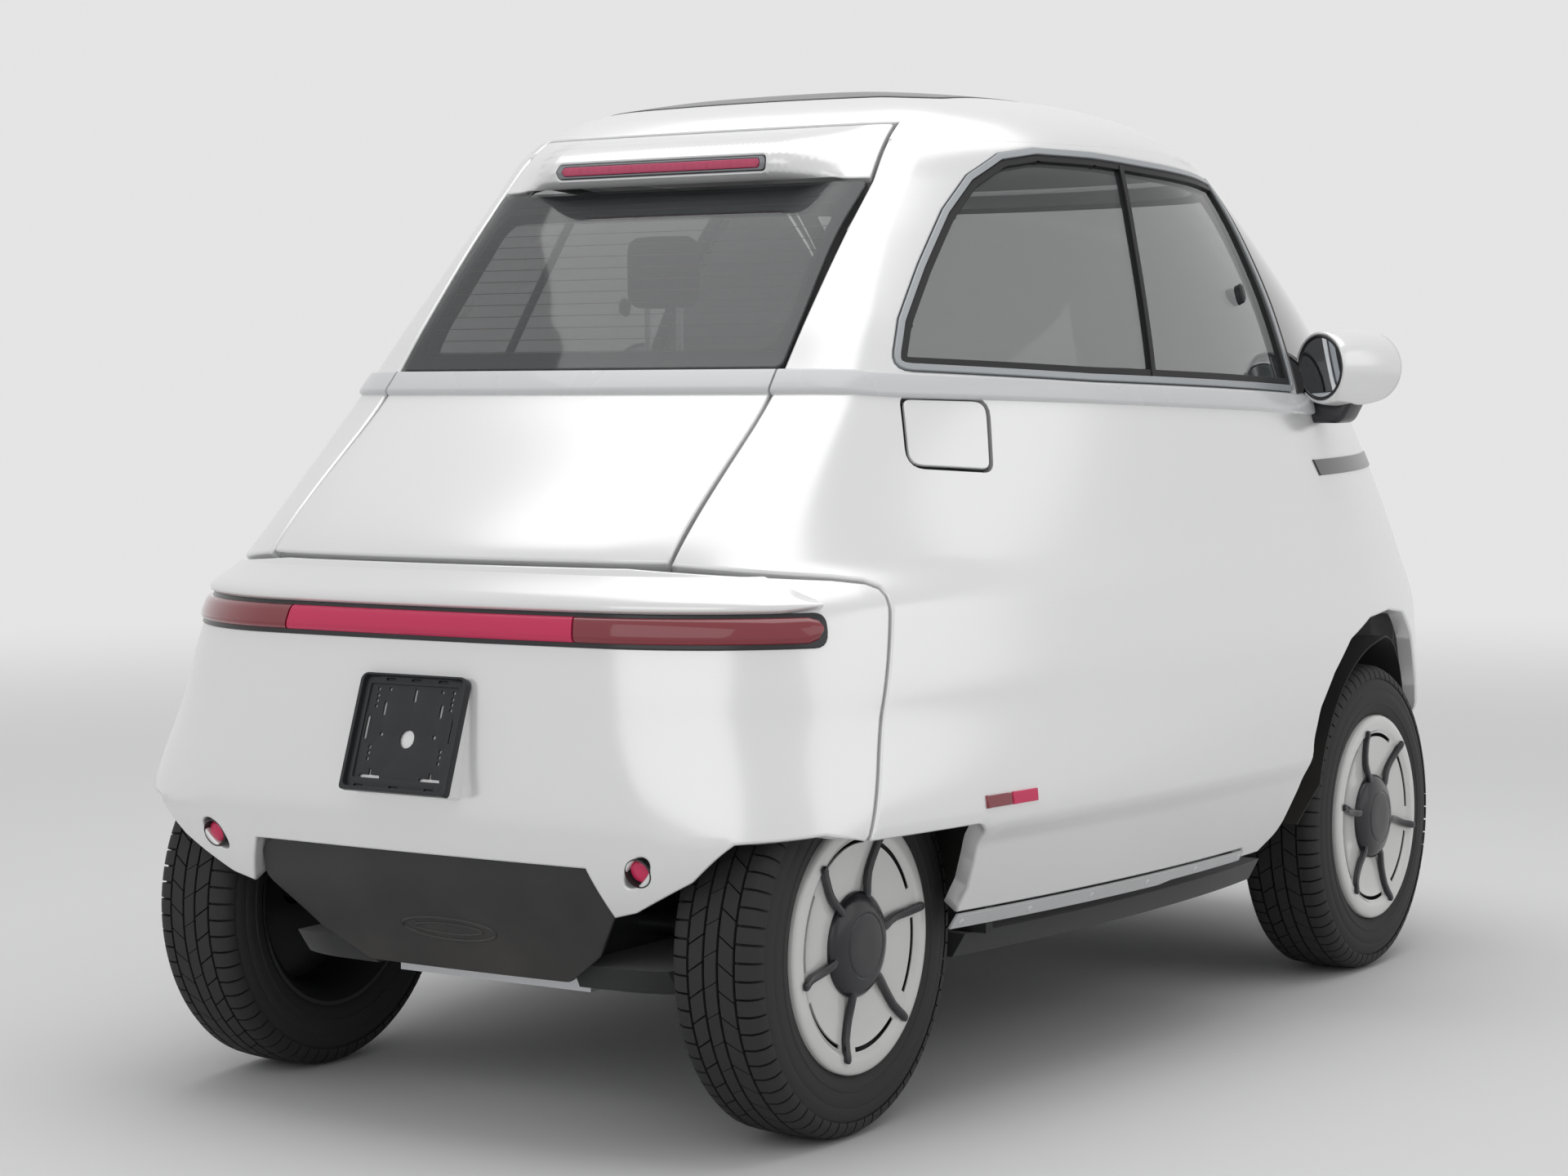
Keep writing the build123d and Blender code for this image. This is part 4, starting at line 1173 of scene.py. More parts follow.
def plate_piece(name: str, outline: Points, centre: Sequence[float], axis: Sequence[float], thickness: float,
                material: bpy.types.Material, bevel: float = 0.001, holes: Sequence[Points] = (),
                up: Sequence[float] = (0, 0, 1)) -> bpy.types.Object:
    """A flat plate with holes, extruded backwards from its face.

    Args:
        name: The object's name.
        outline: Its outline as (right, up) seen against the axis.
        centre: Where the outline's origin lies, on the front face.
        axis: Direction that the front face looks in.
        thickness: Depth behind the face.
        material: The finish.
        bevel: Size of the chamfer round the front.
        holes: Outlines of openings.
        up: Direction that the outline's second value leans to.

    Returns:
        The plate.
    """
    turn = frame_from(Vector(axis), Vector(up))
    middle = Vector(centre)
    loops = [np.array(outline, dtype=float), *[np.array(h, dtype=float) for h in holes]]
    edges, start = [], 0
    for loop in loops:
        edges.extend((start + k, start + (k + 1) % len(loop)) for k in range(len(loop)))
        start += len(loop)
    points = np.concatenate(loops)
    _, _, faces, origins, _, _ = delaunay_2d_cdt([Vector(p) for p in points], edges, [], 0, 1e-8)
    source = [o[0] if o else -1 for o in origins]
    triangles = [[source[i] for i in f] for f in faces if all(source[i] >= 0 for i in f)]
    centres = np.array([points[t].mean(axis=0) for t in triangles])
    chosen = inside(centres, loops)
    mesh = bmesh.new()
    vertices = [mesh.verts.new(middle + turn @ Vector((p[0], p[1], 0))) for p in points]
    for triangle, wanted in zip(triangles, chosen):
        if wanted:
            mesh.faces.new([vertices[i] for i in triangle])
    for vertex in [v for v in mesh.verts if not v.link_faces]:
        mesh.verts.remove(vertex)
    bmesh.ops.recalc_face_normals(mesh, faces=mesh.faces)
    back = bmesh.ops.extrude_face_region(mesh, geom=list(mesh.faces))
    moved = [v for v in back["geom"] if isinstance(v, bmesh.types.BMVert)]
    bmesh.ops.translate(mesh, verts=moved, vec=turn @ Vector((0, 0, -thickness)))
    bmesh.ops.recalc_face_normals(mesh, faces=mesh.faces)
    if bevel > 0:
        plane_normal = turn @ Vector((0, 0, 1))
        rim = [e for e in mesh.edges if len(e.link_faces) == 2
               and abs((e.verts[0].co - middle).dot(plane_normal)) < 1e-6
               and abs((e.verts[1].co - middle).dot(plane_normal)) < 1e-6
               and e.link_faces[0].normal.dot(e.link_faces[1].normal) < 0.5]
        bmesh.ops.bevel(mesh, geom=rim, offset=bevel, segments=2, affect="EDGES", profile=0.5)
    made = bpy.data.objects.new(name, bpy.data.meshes.new(name))
    mesh.to_mesh(made.data)
    mesh.free()
    made.data.materials.append(material)
    bpy.context.scene.collection.objects.link(made)
    shade_by_angle(made, 30)
    return made


def tube_piece(name: str, points: Sequence[Sequence[float]], radius: float, material: bpy.types.Material,
               closed: bool = False, sides: int = 10, stretch: float = 1.0) -> bpy.types.Object:
    """A round bar along a path, with closed ends.

    Args:
        name: The object's name.
        points: The path.
        radius: Radius of the bar.
        material: The finish.
        closed: Whether the path is a ring.
        sides: Faces round the bar.
        stretch: Height of the bar's section against its width.

    Returns:
        The bar.
    """
    path = [Vector(p) for p in points]
    count = len(path)
    vertices, faces = [], []
    up = Vector((0, 0, 1))
    for index, point in enumerate(path):
        after = path[(index + 1) % count] if closed or index < count - 1 else point
        before = path[index - 1] if closed or index > 0 else point
        along = (after - before).normalized()
        turn = frame_from(along, up if abs(along.dot(up)) < 0.95 else Vector((1, 0, 0)))
        for k in range(sides):
            angle = 2 * math.pi * k / sides
            vertices.append(point + turn @ Vector((radius * math.cos(angle),
                                                   stretch * radius * math.sin(angle), 0)))
    for index in range(count if closed else count - 1):
        n = (index + 1) % count
        for k in range(sides):
            m = (k + 1) % sides
            faces.append((index * sides + k, index * sides + m, n * sides + m, n * sides + k))
    if not closed:
        faces.append(tuple(reversed(range(sides))))
        faces.append(tuple(range((count - 1) * sides, count * sides)))
    made = solid_mesh(name, vertices, faces, material)
    face_out(made)
    shade_by_angle(made, 50)
    return made


def rounded_rectangle(width: float, height: float, radius: float,
                      steps: int = 6) -> list[tuple[float, float]]:
    """Outline of a rectangle with round corners, centred on its origin.

    Args:
        width: Its width.
        height: Its height.
        radius: Its radius.
        steps: Segments in a corner.

    Returns:
        Its points, in order.
    """
    out = []
    for quarter in range(4):
        sx, sy = ((1, 1), (-1, 1), (-1, -1), (1, -1))[quarter]
        cx, cy = sx * (width / 2 - radius), sy * (height / 2 - radius)
        for k in range(steps + 1):
            angle = math.pi / 2 * (quarter + k / steps)
            out.append((cx + radius * math.cos(angle), cy + radius * math.sin(angle)))
    return out


# ---------------------------------------------------------------- body panels
SEAM = 0.0025               # half of the gap between two panels
BUTT = 0.0                  # a joint that doesn't show
HATCH_EDGE = [(0.354, 0.791), (0.344, 1.335), (0.334, 1.400), (0.328, 1.4275)]
DOOR_EDGE = [
    # height, half_width, skin_x, flare of the right-hand edge
    (0.235, 0.400, 1.970, 0.25), (0.335, 0.415, 2.055, 0.16), (0.410, 0.488, 2.065, 0.08),
    (0.480, 0.500, 2.065, 0.06),
    (0.900, 0.520, 1.790, 0.32), (1.395, 0.430, 1.270, 0.90)]
SIDE_SEAM = [(-0.125, 0.424), (-0.085, 0.515), (-0.061, 0.573), (-0.020, 0.670), (0.004, 0.726),
             (0.0095, 0.744), (0.006, 0.755), (-0.012, 0.763), (-0.061, 0.770)]
BUMPER_TOP = 0.7885
REAR_ARCH = [(0.104, 0.424), (0.128, 0.410), (0.160, 0.360), (0.182, 0.320), (0.188, 0.284)]
SILL = [(0.188, 0.284), (0.960, 0.284), (0.975, 0.268), (1.040, 0.268)]
FRONT_ARCH = [(1.040, 0.268), (1.094, 0.300), (1.085, 0.372), (1.062, 0.440), (1.100, 0.498), (1.168, 0.549),
              (1.258, 0.597), (1.384, 0.624), (1.533, 0.627), (1.680, 0.612), (1.800, 0.560), (1.880, 0.460),
              (1.925, 0.330), (1.925, 0.230)]
ROOF_SEAM = 1.400
WINDOW = [(0.203, 1.052), (0.256, 1.125), (0.335, 1.207), (0.421, 1.291), (0.490, 1.345), (0.561, 1.380),
          (0.634, 1.391), (0.759, 1.389), (0.886, 1.382), (1.100, 1.374), (1.232, 1.366), (1.195, 1.010),
          (0.900, 1.021), (0.560, 1.033)]
FLAP = [(0.197, 1.011), (0.337, 1.006), (0.298, 0.906), (0.158, 0.916)]
LOWER_EDGE = [(0.316, 0.318), (0.357, 0.329), (0.448, 0.377), (0.508, 0.430), (0.593, 0.438)]
BLACK_PANEL_TOP = 0.386


def door_right(z: np.ndarray, grow: float = 0.0) -> np.ndarray:
    """Distances round the car of the door's right-hand edge at heights.

    Args:
        z: Heights.
        grow: How far outside the edge.

    Returns:
        The distance u of each point, past the nose's middle.
    """
    table = np.array(DOOR_EDGE)
    half = np.interp(z, table[:, 0], table[:, 1])
    skin_x = np.interp(z, table[:, 0], table[:, 2])
    flare = np.interp(z, table[:, 0], table[:, 3])
    low, high = np.full_like(z, 0.0), np.full_like(z, HALF_ROUND - sum(QUARTER_SHARES[:3]))
    for _ in range(36):
        middle = (low + high) / 2
        at = BODY.plan(HALF_ROUND - middle, z)
        less = at[:, 1] < half + grow + flare * (at[:, 0] - ORIGIN_SHIFT - skin_x)
        low, high = np.where(less, middle, low), np.where(less, high, middle)
    return HALF_ROUND + (low + high) / 2


def door_side_points(side: Side, low: float, high: float, grow: float = 0.0) -> np.ndarray:
    """The door's edge on one side, going up, as domain points on the band that crosses the nose.

    Args:
        side: The side of the car.
        low: Lowest height.
        high: Highest height.
        grow: How much wider than the door.

    Returns:
        The points.
    """
    z = np.linspace(low, high, max(2, int((high - low) / 0.012)))
    if side is Side.RIGHT:
        return np.stack([door_right(z, grow), z], axis=1)
    table = np.array(DOOR_EDGE)
    half = np.interp(z, table[:, 0], table[:, 1]) + grow
    return np.stack([BODY.locate(Face.NOSE, 1, half, z), z], axis=1)


def chain(stretches: Sequence[tuple[np.ndarray, float]]) -> Loop:
    """Join domain stretches, each with its seam, into a closed loop.

    Args:
        stretches: Points and seam width of each stretch.

    Returns:
        The loop.
    """
    points, seams = [], []
    for stretch, seam in stretches:
        points.append(stretch[:-1])
        seams.extend([seam] * (len(stretch) - 1))
    return Loop(np.concatenate(points), np.array(seams))


def line(a: Sequence[float], b: Sequence[float], spacing: float = 0.014) -> np.ndarray:
    """Domain points from one place to another."""
    return resample(np.array([a, b], dtype=float), spacing, closed=False)


@dataclass
class BodyShell:
    """The painted outer panels that don't open, the tailgate and the front door."""

    wall: float = 0.028
    roll: float = 0.0045
    grid: float = 0.020
    skin: Skin = field(default_factory=Skin)
    hatch_skin: Skin = field(default_factory=lambda: Skin(spoiler=True))

    def window_loop(self, side: Side, seam: float) -> Loop:
        """The side window's opening."""
        return Loop.of_points(Face.SIDE, round_corners(WINDOW, 0.018), seam, side.value)

    def side_loop(self, side: Side) -> Loop:
        """Outline of a side panel, drawn on the left and mirrored where the sides agree.

        Args:
            side: The side of the car.

        Returns:
            The loop.
        """
        s = side.value
        corner = BODY.locate(Face.TAIL, s, np.array([s * 0.354]), np.array([BUMPER_TOP]))[0]
        seam_top = Edge(Face.SIDE, [SIDE_SEAM[-1]], side=s).domain(0.01)[0]
        top_z = np.array([ROOF_SEAM])
        hatch_corner = BODY.locate(Face.TAIL, s, np.array([s * 0.334]), top_z)[0]
        hatch = Edge(Face.TAIL, [(s * y, z) for y, z in reversed(HATCH_EDGE[:3])], side=s).domain(0.012)
        hatch = np.concatenate([hatch[:-1], [[corner, BUMPER_TOP]]])
        door = door_side_points(side, 0.230, ROOF_SEAM, grow=0.0)
        if side is Side.RIGHT:
            door[:, 0] -= 2 * HALF_ROUND
        front_low = Edge(Face.SIDE, [FRONT_ARCH[-1]], side=s).domain(0.01)[0]
        arch = Edge(Face.SIDE, round_corners(FRONT_ARCH, 0.05, closed=False), SEAM, s).domain(0.012)
        rear = Edge(Face.SIDE, round_corners([SIDE_SEAM[0], *REAR_ARCH], 0.03, closed=False), SEAM,
                    s).domain(0.012)
        return chain([
            (line((corner, BUMPER_TOP), seam_top), SEAM),
            (Edge(Face.SIDE, list(reversed(SIDE_SEAM)), SEAM, s).domain(0.012), SEAM),
            (rear, SEAM),
            (Edge(Face.SIDE, SILL, 0.001, s).domain(0.014), 0.001),
            (arch, SEAM),
            (line(front_low, door[0]), SEAM),
            (door, SEAM),
            (line(door[-1], (hatch_corner, ROOF_SEAM)), BUTT),
            (hatch, SEAM),
        ])

    def side_panel(self, side: Side) -> None:
        """One side of the body with its window opening and, on the right, the charge flap's.

        Args:
            side: The side of the car.
        """
        loops = [self.side_loop(side), self.window_loop(side, 0.0005)]
        if side is Side.RIGHT:
            loops.append(Loop.of_points(Face.SIDE, round_corners(FLAP, 0.018), -0.0022, side.value, 0.008))
        panel = Patch(self.skin, loops, self.wall, roll=self.roll, grid=self.grid, grid_up=0.012)
        name = f"body_side_{side.word}"
        settle(panel.build(name, WHITE.material()), "root", "white_paint", f"side_panel_{side.word}")

    def charge_flap(self) -> None:
        """The flap over the charging inlet, on the right."""
        loop = Loop.of_points(Face.SIDE, round_corners(FLAP, 0.018), 0.0018, -1, 0.008)
        flap = Patch(self.skin, [loop], 0.005, roll=0.002, grid=0.014, grid_up=0.006)
        settle(flap.build("charge_flap_skin", WHITE.material()), "charge_flap", "white_paint", "charge_flap")

    def bumper(self) -> None:
        """The rear bumper, round both corners, with cups for the reflectors."""
        left = Edge(Face.SIDE, SIDE_SEAM, SEAM, 1).domain(0.012)
        lower = Edge(Face.TAIL, [(0.288, BLACK_PANEL_TOP), *LOWER_EDGE], SEAM).domain(0.012)
        corner = BODY.locate(Face.TAIL, 1, np.array([0.30]), np.array([BUMPER_TOP]))[0]
        half = [
            (line((0.0, BLACK_PANEL_TOP), lower[0]), SEAM),
            (lower, SEAM),
            (line(lower[-1], left[0]), SEAM),
            (left, SEAM),
            (line(left[-1], (corner, BUMPER_TOP)), SEAM),
            (line((corner, BUMPER_TOP), (0.0, BUMPER_TOP)), SEAM),
        ]
        other = [(stretch[::-1] * np.array([-1.0, 1.0]), seam) for stretch, seam in reversed(half)]
        outline = chain(half + other)
        cups = []
        for side in Side:
            centre = BODY.locate(Face.TAIL, 1, np.array([side.value * 0.373]), np.array([0.389]))[0]
            ring = [(centre + 0.0195 * math.cos(a), 0.389 + 0.0215 * math.sin(a))
                    for a in np.linspace(0, 2 * math.pi, 28, endpoint=False)]
            cups.append(Loop.flat(ring, 0.0003, 0.02))
        panel = Patch(self.skin, [outline, *cups], self.wall, roll=self.roll, grid=self.grid, grid_up=0.014)
        shelf_end = BODY.locate(Face.SIDE, 1, np.array([-0.105]), np.array([0.73]))[0]
        shelf = Band("shelf", [(0.0, 0.7255), (shelf_end - 0.06, 0.7255), (shelf_end, 0.7300)],
                     [(0.0, 0.776), (shelf_end - 0.06, 0.774), (shelf_end, 0.742)],
                     [(0.0, 0.0), (0.01, 0.0095), (0.05, 0.0118), (0.13, 0.0124), (0.25, 0.0112),
                      (0.45, 0.0076), (0.70, 0.0032), (1.0, 0.0)])
        piece = joined("bumper_skin", [panel.build("bumper", WHITE.material()),
                                       shelf.build(self.skin, WHITE.material())])
        settle(piece, "root", "white_paint", "rear_bumper")

    def lower_panel(self) -> None:
        """The black panel under the bumper, set back, with two raised ovals one in the other."""
        set_back, oval_height = 0.016, 0.262
        def emboss(x: np.ndarray, z: np.ndarray) -> np.ndarray:
            """Set back everywhere, rising towards the top edge."""
            return -set_back - 0.006 * smooth(0.36, 0.25, z) + 0 * x
        skin = Skin(emboss)
        left = [(0.180, 0.195), (0.250, 0.240), (0.314, 0.318), (0.300, 0.365), (0.284, BLACK_PANEL_TOP)]
        outline = round_corners([*left, *[(-y, z) for y, z in reversed(left)]], 0.03)
        loop = Loop.of_points(Face.TAIL, outline, 0.002)
        panel = Patch(skin, [loop], 0.010, roll=0.003, grid=0.016).build("lower_panel",
                                                                         SATIN_BLACK.material())
        rings = []
        for width, height, rise in ((0.165, 0.034, 0.003), (0.120, 0.016, 0.0025)):
            ring = [(width / 2 * math.cos(a), oval_height + height / 2 * math.sin(a))
                    for a in np.linspace(0, 2 * math.pi, 40, endpoint=False)]
            path = skin_points(skin, Face.TAIL, ring, -rise * 0.2)
            rings.append(tube_piece(f"oval_{width}", path, rise, SATIN_BLACK.material(), closed=True,
                                    sides=8))
        piece = joined("lower_panel_skin", [panel, *rings])
        settle(piece, "root", "black_plastic", "rear_lower_panel")

    def tailgate(self) -> None:
        """The tailgate's painted skin below and above the glass."""
        low = Edge(Face.TAIL, [HATCH_EDGE[0], (0.3495, 1.0535)]).domain(0.012)
        base = BODY.locate(Face.TAIL, 1, np.array([0.354]), np.array([0.791]))[0]
        top = Edge(Face.TAIL, [(0.3435, 1.3385), *HATCH_EDGE[2:]]).domain(0.008)
        lower = chain([
            (line((-base, 0.791), (base, 0.791)), SEAM),
            (low, SEAM),
            (line(low[-1], (-low[-1][0], low[-1][1])), 0.001),
            (low[::-1] * np.array([-1.0, 1.0]), SEAM),
        ])
        skirt = Patch(self.hatch_skin, [lower], self.wall, roll=self.roll, grid=self.grid, grid_up=0.008)
        lamp = [(0.1915, 1.352), (0.1955, 1.3645), (0.1915, 1.377)]
        lamp = round_corners([*lamp, *[(-y, z) for y, z in reversed(lamp)]], 0.008)
        lamp_loop = Loop.flat(spoiler_outline(lamp), 0.0004, 0.012)
        upper = chain([
            (line((-top[0][0], top[0][1]), top[0]), 0.001),
            (top, SEAM),
            (line(top[-1], (-top[-1][0], top[-1][1])), SEAM),
            (top[::-1] * np.array([-1.0, 1.0]), SEAM),
        ])
        brow = Patch(self.hatch_skin, [upper, lamp_loop], 0.012, roll=0.003, grid=0.014, grid_up=0.0045)
        frame = rear_glass_frame()
        paint = WHITE.material()
        piece = joined("tailgate_skin", [skirt.build("hatch_low", paint), brow.build("hatch_brow", paint),
                                         frame])
        settle(piece, "tailgate", "white_paint", "tailgate")

    def door(self) -> None:
        """The front door's painted skin, with openings for the windscreen and the lamp bar."""
        left = door_side_points(Side.LEFT, 0.235, 1.395)
        right = door_side_points(Side.RIGHT, 0.235, 1.395)
        outline = chain([
            (line(left[0], right[0]), SEAM),
            (right, SEAM),
            (line(right[-1], left[-1]), SEAM),
            (left[::-1], SEAM),
        ])
        screen = Loop.flat(self.screen_points(0.0), 0.001)
        bar = Loop.flat(self.bar_points(), 0.001)
        panel = Patch(self.skin, [outline, screen, bar], self.wall, roll=self.roll, grid=self.grid,
                      grid_up=0.014)
        settle(panel.build("door_skin", WHITE.material()), "front_door", "white_paint", "front_door")

    def screen_points(self, inset: float) -> Points:
        """Outline of the windscreen in the skin's two values.

        Args:
            inset: How far inside the opening.

        Returns:
            The outline.
        """
        z = np.linspace(1.004 + inset, 1.372 - inset, 30)
        half = np.interp(z, [1.004, 1.372], [0.505, 0.424]) - inset
        right = door_right(z, -0.022 - inset)
        left = BODY.locate(Face.NOSE, 1, half, z)
        return round_corners([*zip(right, z), *zip(left[::-1], z[::-1])], 0.04)

    def bar_points(self) -> Points:
        """Outline of the lamp bar under the windscreen.

        Returns:
            The outline.
        """
        z = np.array([0.868, 0.900])
        ends = BODY.locate(Face.NOSE, 1, np.array([0.48, 0.48]), z)
        other = BODY.locate(Face.NOSE, 1, np.array([-0.48, -0.48]), z)
        return [(ends[0], z[0]), (other[0], z[0]), (other[1], z[1]), (ends[1], z[1])]

    def valance(self) -> None:
        """The strip under the door."""
        z_low, z_high = 0.196, 0.230
        ends_low = BODY.locate(Face.SIDE, 1, np.array([1.925]), np.array([z_low]))[0]
        ends_high = BODY.locate(Face.SIDE, 1, np.array([1.925]), np.array([z_high]))[0]
        loop = chain([
            (line((ends_low, z_low), (2 * HALF_ROUND - ends_low, z_low)), SEAM),
            (line((2 * HALF_ROUND - ends_low, z_low), (2 * HALF_ROUND - ends_high, z_high)), SEAM),
            (line((2 * HALF_ROUND - ends_high, z_high), (ends_high, z_high)), SEAM),
            (line((ends_high, z_high), (ends_low, z_low)), SEAM),
        ])
        strip = Patch(Skin(), [loop], 0.02, roll=0.003, grid=0.02)
        settle(strip.build("valance_skin", SATIN_BLACK.material()), "root", "black_plastic", "front_valance")

    def roof(self) -> None:
        """The roof round the sunroof, level with the sides at the roof seam."""
        z = np.full(1, ROOF_SEAM)
        tail_u = BODY.locate(Face.TAIL, 1, np.array([0.334]), z)[0]
        rim_u = np.linspace(tail_u, HALF_ROUND, 150)
        rim = BODY.plan(rim_u, np.full(150, ROOF_SEAM))
        rim[:, 0] -= ORIGIN_SHIFT
        hatch = np.array([(0.334, 1.400), (0.328, 1.4275)])
        hatch_u = BODY.locate(Face.TAIL, 1, hatch[:, 0], hatch[:, 1])
        corner = BODY.plan(hatch_u, hatch[:, 1])[1]
        top_u = np.linspace(hatch_u[1], 0, 30)
        top = BODY.plan(top_u, np.full(30, 1.4275))
        half = [
            (resample(top[::-1, :2] - [ORIGIN_SHIFT, 0], 0.012, False), SEAM),
            (line((corner[0] - ORIGIN_SHIFT, corner[1]), rim[0, :2]), SEAM),
            (rim[:, :2], BUTT),
        ]
        half[2] = (rim[:, :2], BUTT)
        other = [(stretch[::-1] * np.array([1.0, -1.0]), seam) for stretch, seam in reversed(half)]
        outline = chain(half + other)
        hole = Loop.flat([(0.870 + x, y) for x, y in rounded_rectangle(0.600, 0.640, 0.060)], 0.001)
        panel = Patch(RoofSkin(), [outline, hole], 0.026, roll=0.003, grid=0.024)
        settle(panel.build("roof_skin", WHITE.material()), "root", "white_paint", "roof_panel")
        lid = Loop.flat([(0.870 + x, y) for x, y in rounded_rectangle(0.600, 0.640, 0.060)], 0.0035)
        glass = Patch(RoofSkin(), [lid], 0.006, depth=-0.001, roll=0.003, grid=0.024)
        settle(glass.build("sunroof_glass", BLACK_GLOSS.material()), "root", "black_gloss", "sunroof")

    def build(self) -> None:
        """Make every panel."""
        for side in Side:
            self.side_panel(side)
        self.charge_flap()
        self.bumper()
        self.lower_panel()
        self.tailgate()
        self.door()
        self.valance()
        self.roof()
        self.belt()

    def belt(self) -> None:
        """The raised band under the windows: one length on the tailgate and one on each side."""
        hatch_u = BODY.locate(Face.TAIL, 1, np.array([0.3475]), np.array([1.03]))[0]
        rib = Band("rib", [(0.0, 1.0185), (hatch_u - 0.004, 1.0185)],
                   [(0.0, 1.0515), (hatch_u - 0.004, 1.0515)], BELT_PROFILE)
        settle(rib.build(self.skin, WHITE_TRIM.material()), "tailgate", "white_paint")
        start = hatch_u + 0.006
        x = np.array([0.10, 0.14, 0.20, 0.32, 0.56, 0.90, 1.19, 1.40])
        low = np.array([1.0185, 1.014, 1.0105, 1.0070, 0.9980, 0.9850, 0.9735, 0.966])
        high = np.array([1.0515, 1.049, 1.0450, 1.0400, 1.0285, 1.0170, 1.0060, 0.998])
        for side in Side:
            end = door_side_points(side, 0.97, 1.0, 0.006)[0, 0]
            end = 2 * HALF_ROUND - end if side is Side.RIGHT else end
            u = BODY.locate(Face.SIDE, 1, x, (low + high) / 2)
            u = np.concatenate([[start], u[u > start + 0.02]])
            u = np.append(u[u < end - 0.02], end)
            along = BODY.plan(u, np.full(len(u), 1.0))[:, 0] - ORIGIN_SHIFT
            lower = [(side.value * a, np.interp(b, x, low)) for a, b in zip(u, along)]
            upper = [(side.value * a, np.interp(b, x, high)) for a, b in zip(u, along)]
            name = f"belt_{side.word}"
            piece = Band(name, lower, upper, BELT_PROFILE, mirrored=False).build(self.skin,
                                                                                 WHITE_TRIM.material())
            settle(piece, "root", "white_paint")


BELT_PROFILE = [(0.0, 0.0), (0.02, 0.0045), (0.07, 0.0068), (0.16, 0.0075), (0.84, 0.0075), (0.93, 0.0068),
                (0.98, 0.0045), (1.0, 0.0)]


@dataclass
class Band:
    """A moulding that lies on the skin between a lower and an upper line."""

    name: str
    lower: Points
    upper: Points
    profile: Points
    mirrored: bool = True
    root: float = 0.004

    def build(self, skin: Skin, material: bpy.types.Material) -> bpy.types.Object:
        """Make the moulding.

        Args:
            skin: What it lies on.
            material: Its finish.

        Returns:
            The closed moulding.
        """
        low, high = np.array(self.lower, dtype=float), np.array(self.upper, dtype=float)
        if self.mirrored:
            flip = np.array([-1.0, 1.0])
            low = np.concatenate([low[:0:-1] * flip, low])
            high = np.concatenate([high[:0:-1] * flip, high])
        stations = [0.0]
        for a, b in zip(low[:-1], low[1:]):
            stations.extend(stations[-1] + np.arange(1, 1 + (n := max(1, int(abs(b[0] - a[0]) / 0.012)))) / n)
        marks = np.arange(len(low), dtype=float)
        at = np.array(stations)
        low = np.stack([np.interp(at, marks, low[:, i]) for i in (0, 1)], axis=1)
        high = np.stack([np.interp(at, marks, high[:, i]) for i in (0, 1)], axis=1)
        profile = [(0.0, -self.root), *self.profile, (1.0, -self.root)]
        rows = []
        for share, lift in profile:
            line_at = low + share * (high - low)
            normal = skin.normal(line_at[:, 0], line_at[:, 1])
            rows.append(skin.place(line_at[:, 0], line_at[:, 1]) + normal * lift)
        count, width = len(at), len(rows)
        vertices = np.stack(rows, axis=1).reshape(-1, 3)
        faces = []
        for i in range(count - 1):
            for k in range(width):
                n = (k + 1) % width
                faces.append((i * width + k, i * width + n, (i + 1) * width + n, (i + 1) * width + k))
        faces.append(tuple(range(width)))
        faces.append(tuple(range((count - 1) * width, count * width))[::-1])
        made = solid_mesh(self.name, vertices, faces, material)
        face_out(made)
        shade_by_angle(made, 60)
        return made


def skin_points(skin: Skin, face: Face, points: Points, lift: float, side: int = 1) -> list[Vector]:
    """Places on a skin under an outline's points, lifted along its normals.

    Args:
        skin: The surface that carries it.
        face: The direction from which the outline is drawn.
        points: The points, in order.
        lift: Height above the skin.
        side: The side of the car.

    Returns:
        One place for each point.
    """
    flat = np.array(points, dtype=float)
    u = BODY.locate(face, side, flat[:, 0], flat[:, 1])
    at = skin.place(u, flat[:, 1]) + skin.normal(u, flat[:, 1]) * lift
    return [Vector(p) for p in at]


def spoiler_outline(points: Points) -> list[tuple[float, float]]:
    """The brow's outlines, seen from behind, in the skin's two values.

    Args:
        points: The points, in order.

    Returns:
        The outline.
    """
    flat = np.array(points, dtype=float)
    u = BODY.locate(Face.TAIL, 1, flat[:, 0], flat[:, 1])
    return list(zip(u, flat[:, 1]))


def glass_outline(grow: float) -> list[tuple[float, float]]:
    """Outline of the rear glass, seen from behind, grown by a distance."""
    left = [(0.3475 + grow, 1.0555 - grow), (0.3405 + grow, 1.3350 + grow)]
    return [*left, *[(-y, z) for y, z in reversed(left)]]


def rear_glass_frame() -> bpy.types.Object:
    """The black frame that carries the rear glass between the tailgate's two painted parts.

    Returns:
        The frame.
    """
    outer = Loop.flat(spoiler_outline(glass_outline(-0.001)), 0.0005)
    inner = Loop.flat(spoiler_outline(round_corners(glass_outline(-0.030), 0.03)), 0.0005)
    return Patch(Skin(), [outer, inner], 0.020, depth=0.006, roll=0.002, grid=0.02).build("frame",
                                                                                     SATIN_BLACK.material())


# ---------------------------------------------------------------- glazing
def grown(surface: Skin, loop: Loop, distance: float) -> Loop:
    """The loop moved inwards by a distance, seen as an outline.

    Args:
        surface: The surface that carries it.
        loop: The loop to work on.
        distance: How far it moves.

    Returns:
        The moved loop.
    """
    turn = 1 if isinstance(surface, RoofSkin) else -1
    turned_loop = ordered(loop, turn)
    plain = Loop(turned_loop.points, np.full(len(turned_loop.points), 1e-6))
    moved, _ = Patch(surface, [plain]).shifted(plain, distance)
    return Loop(moved, turned_loop.seams)


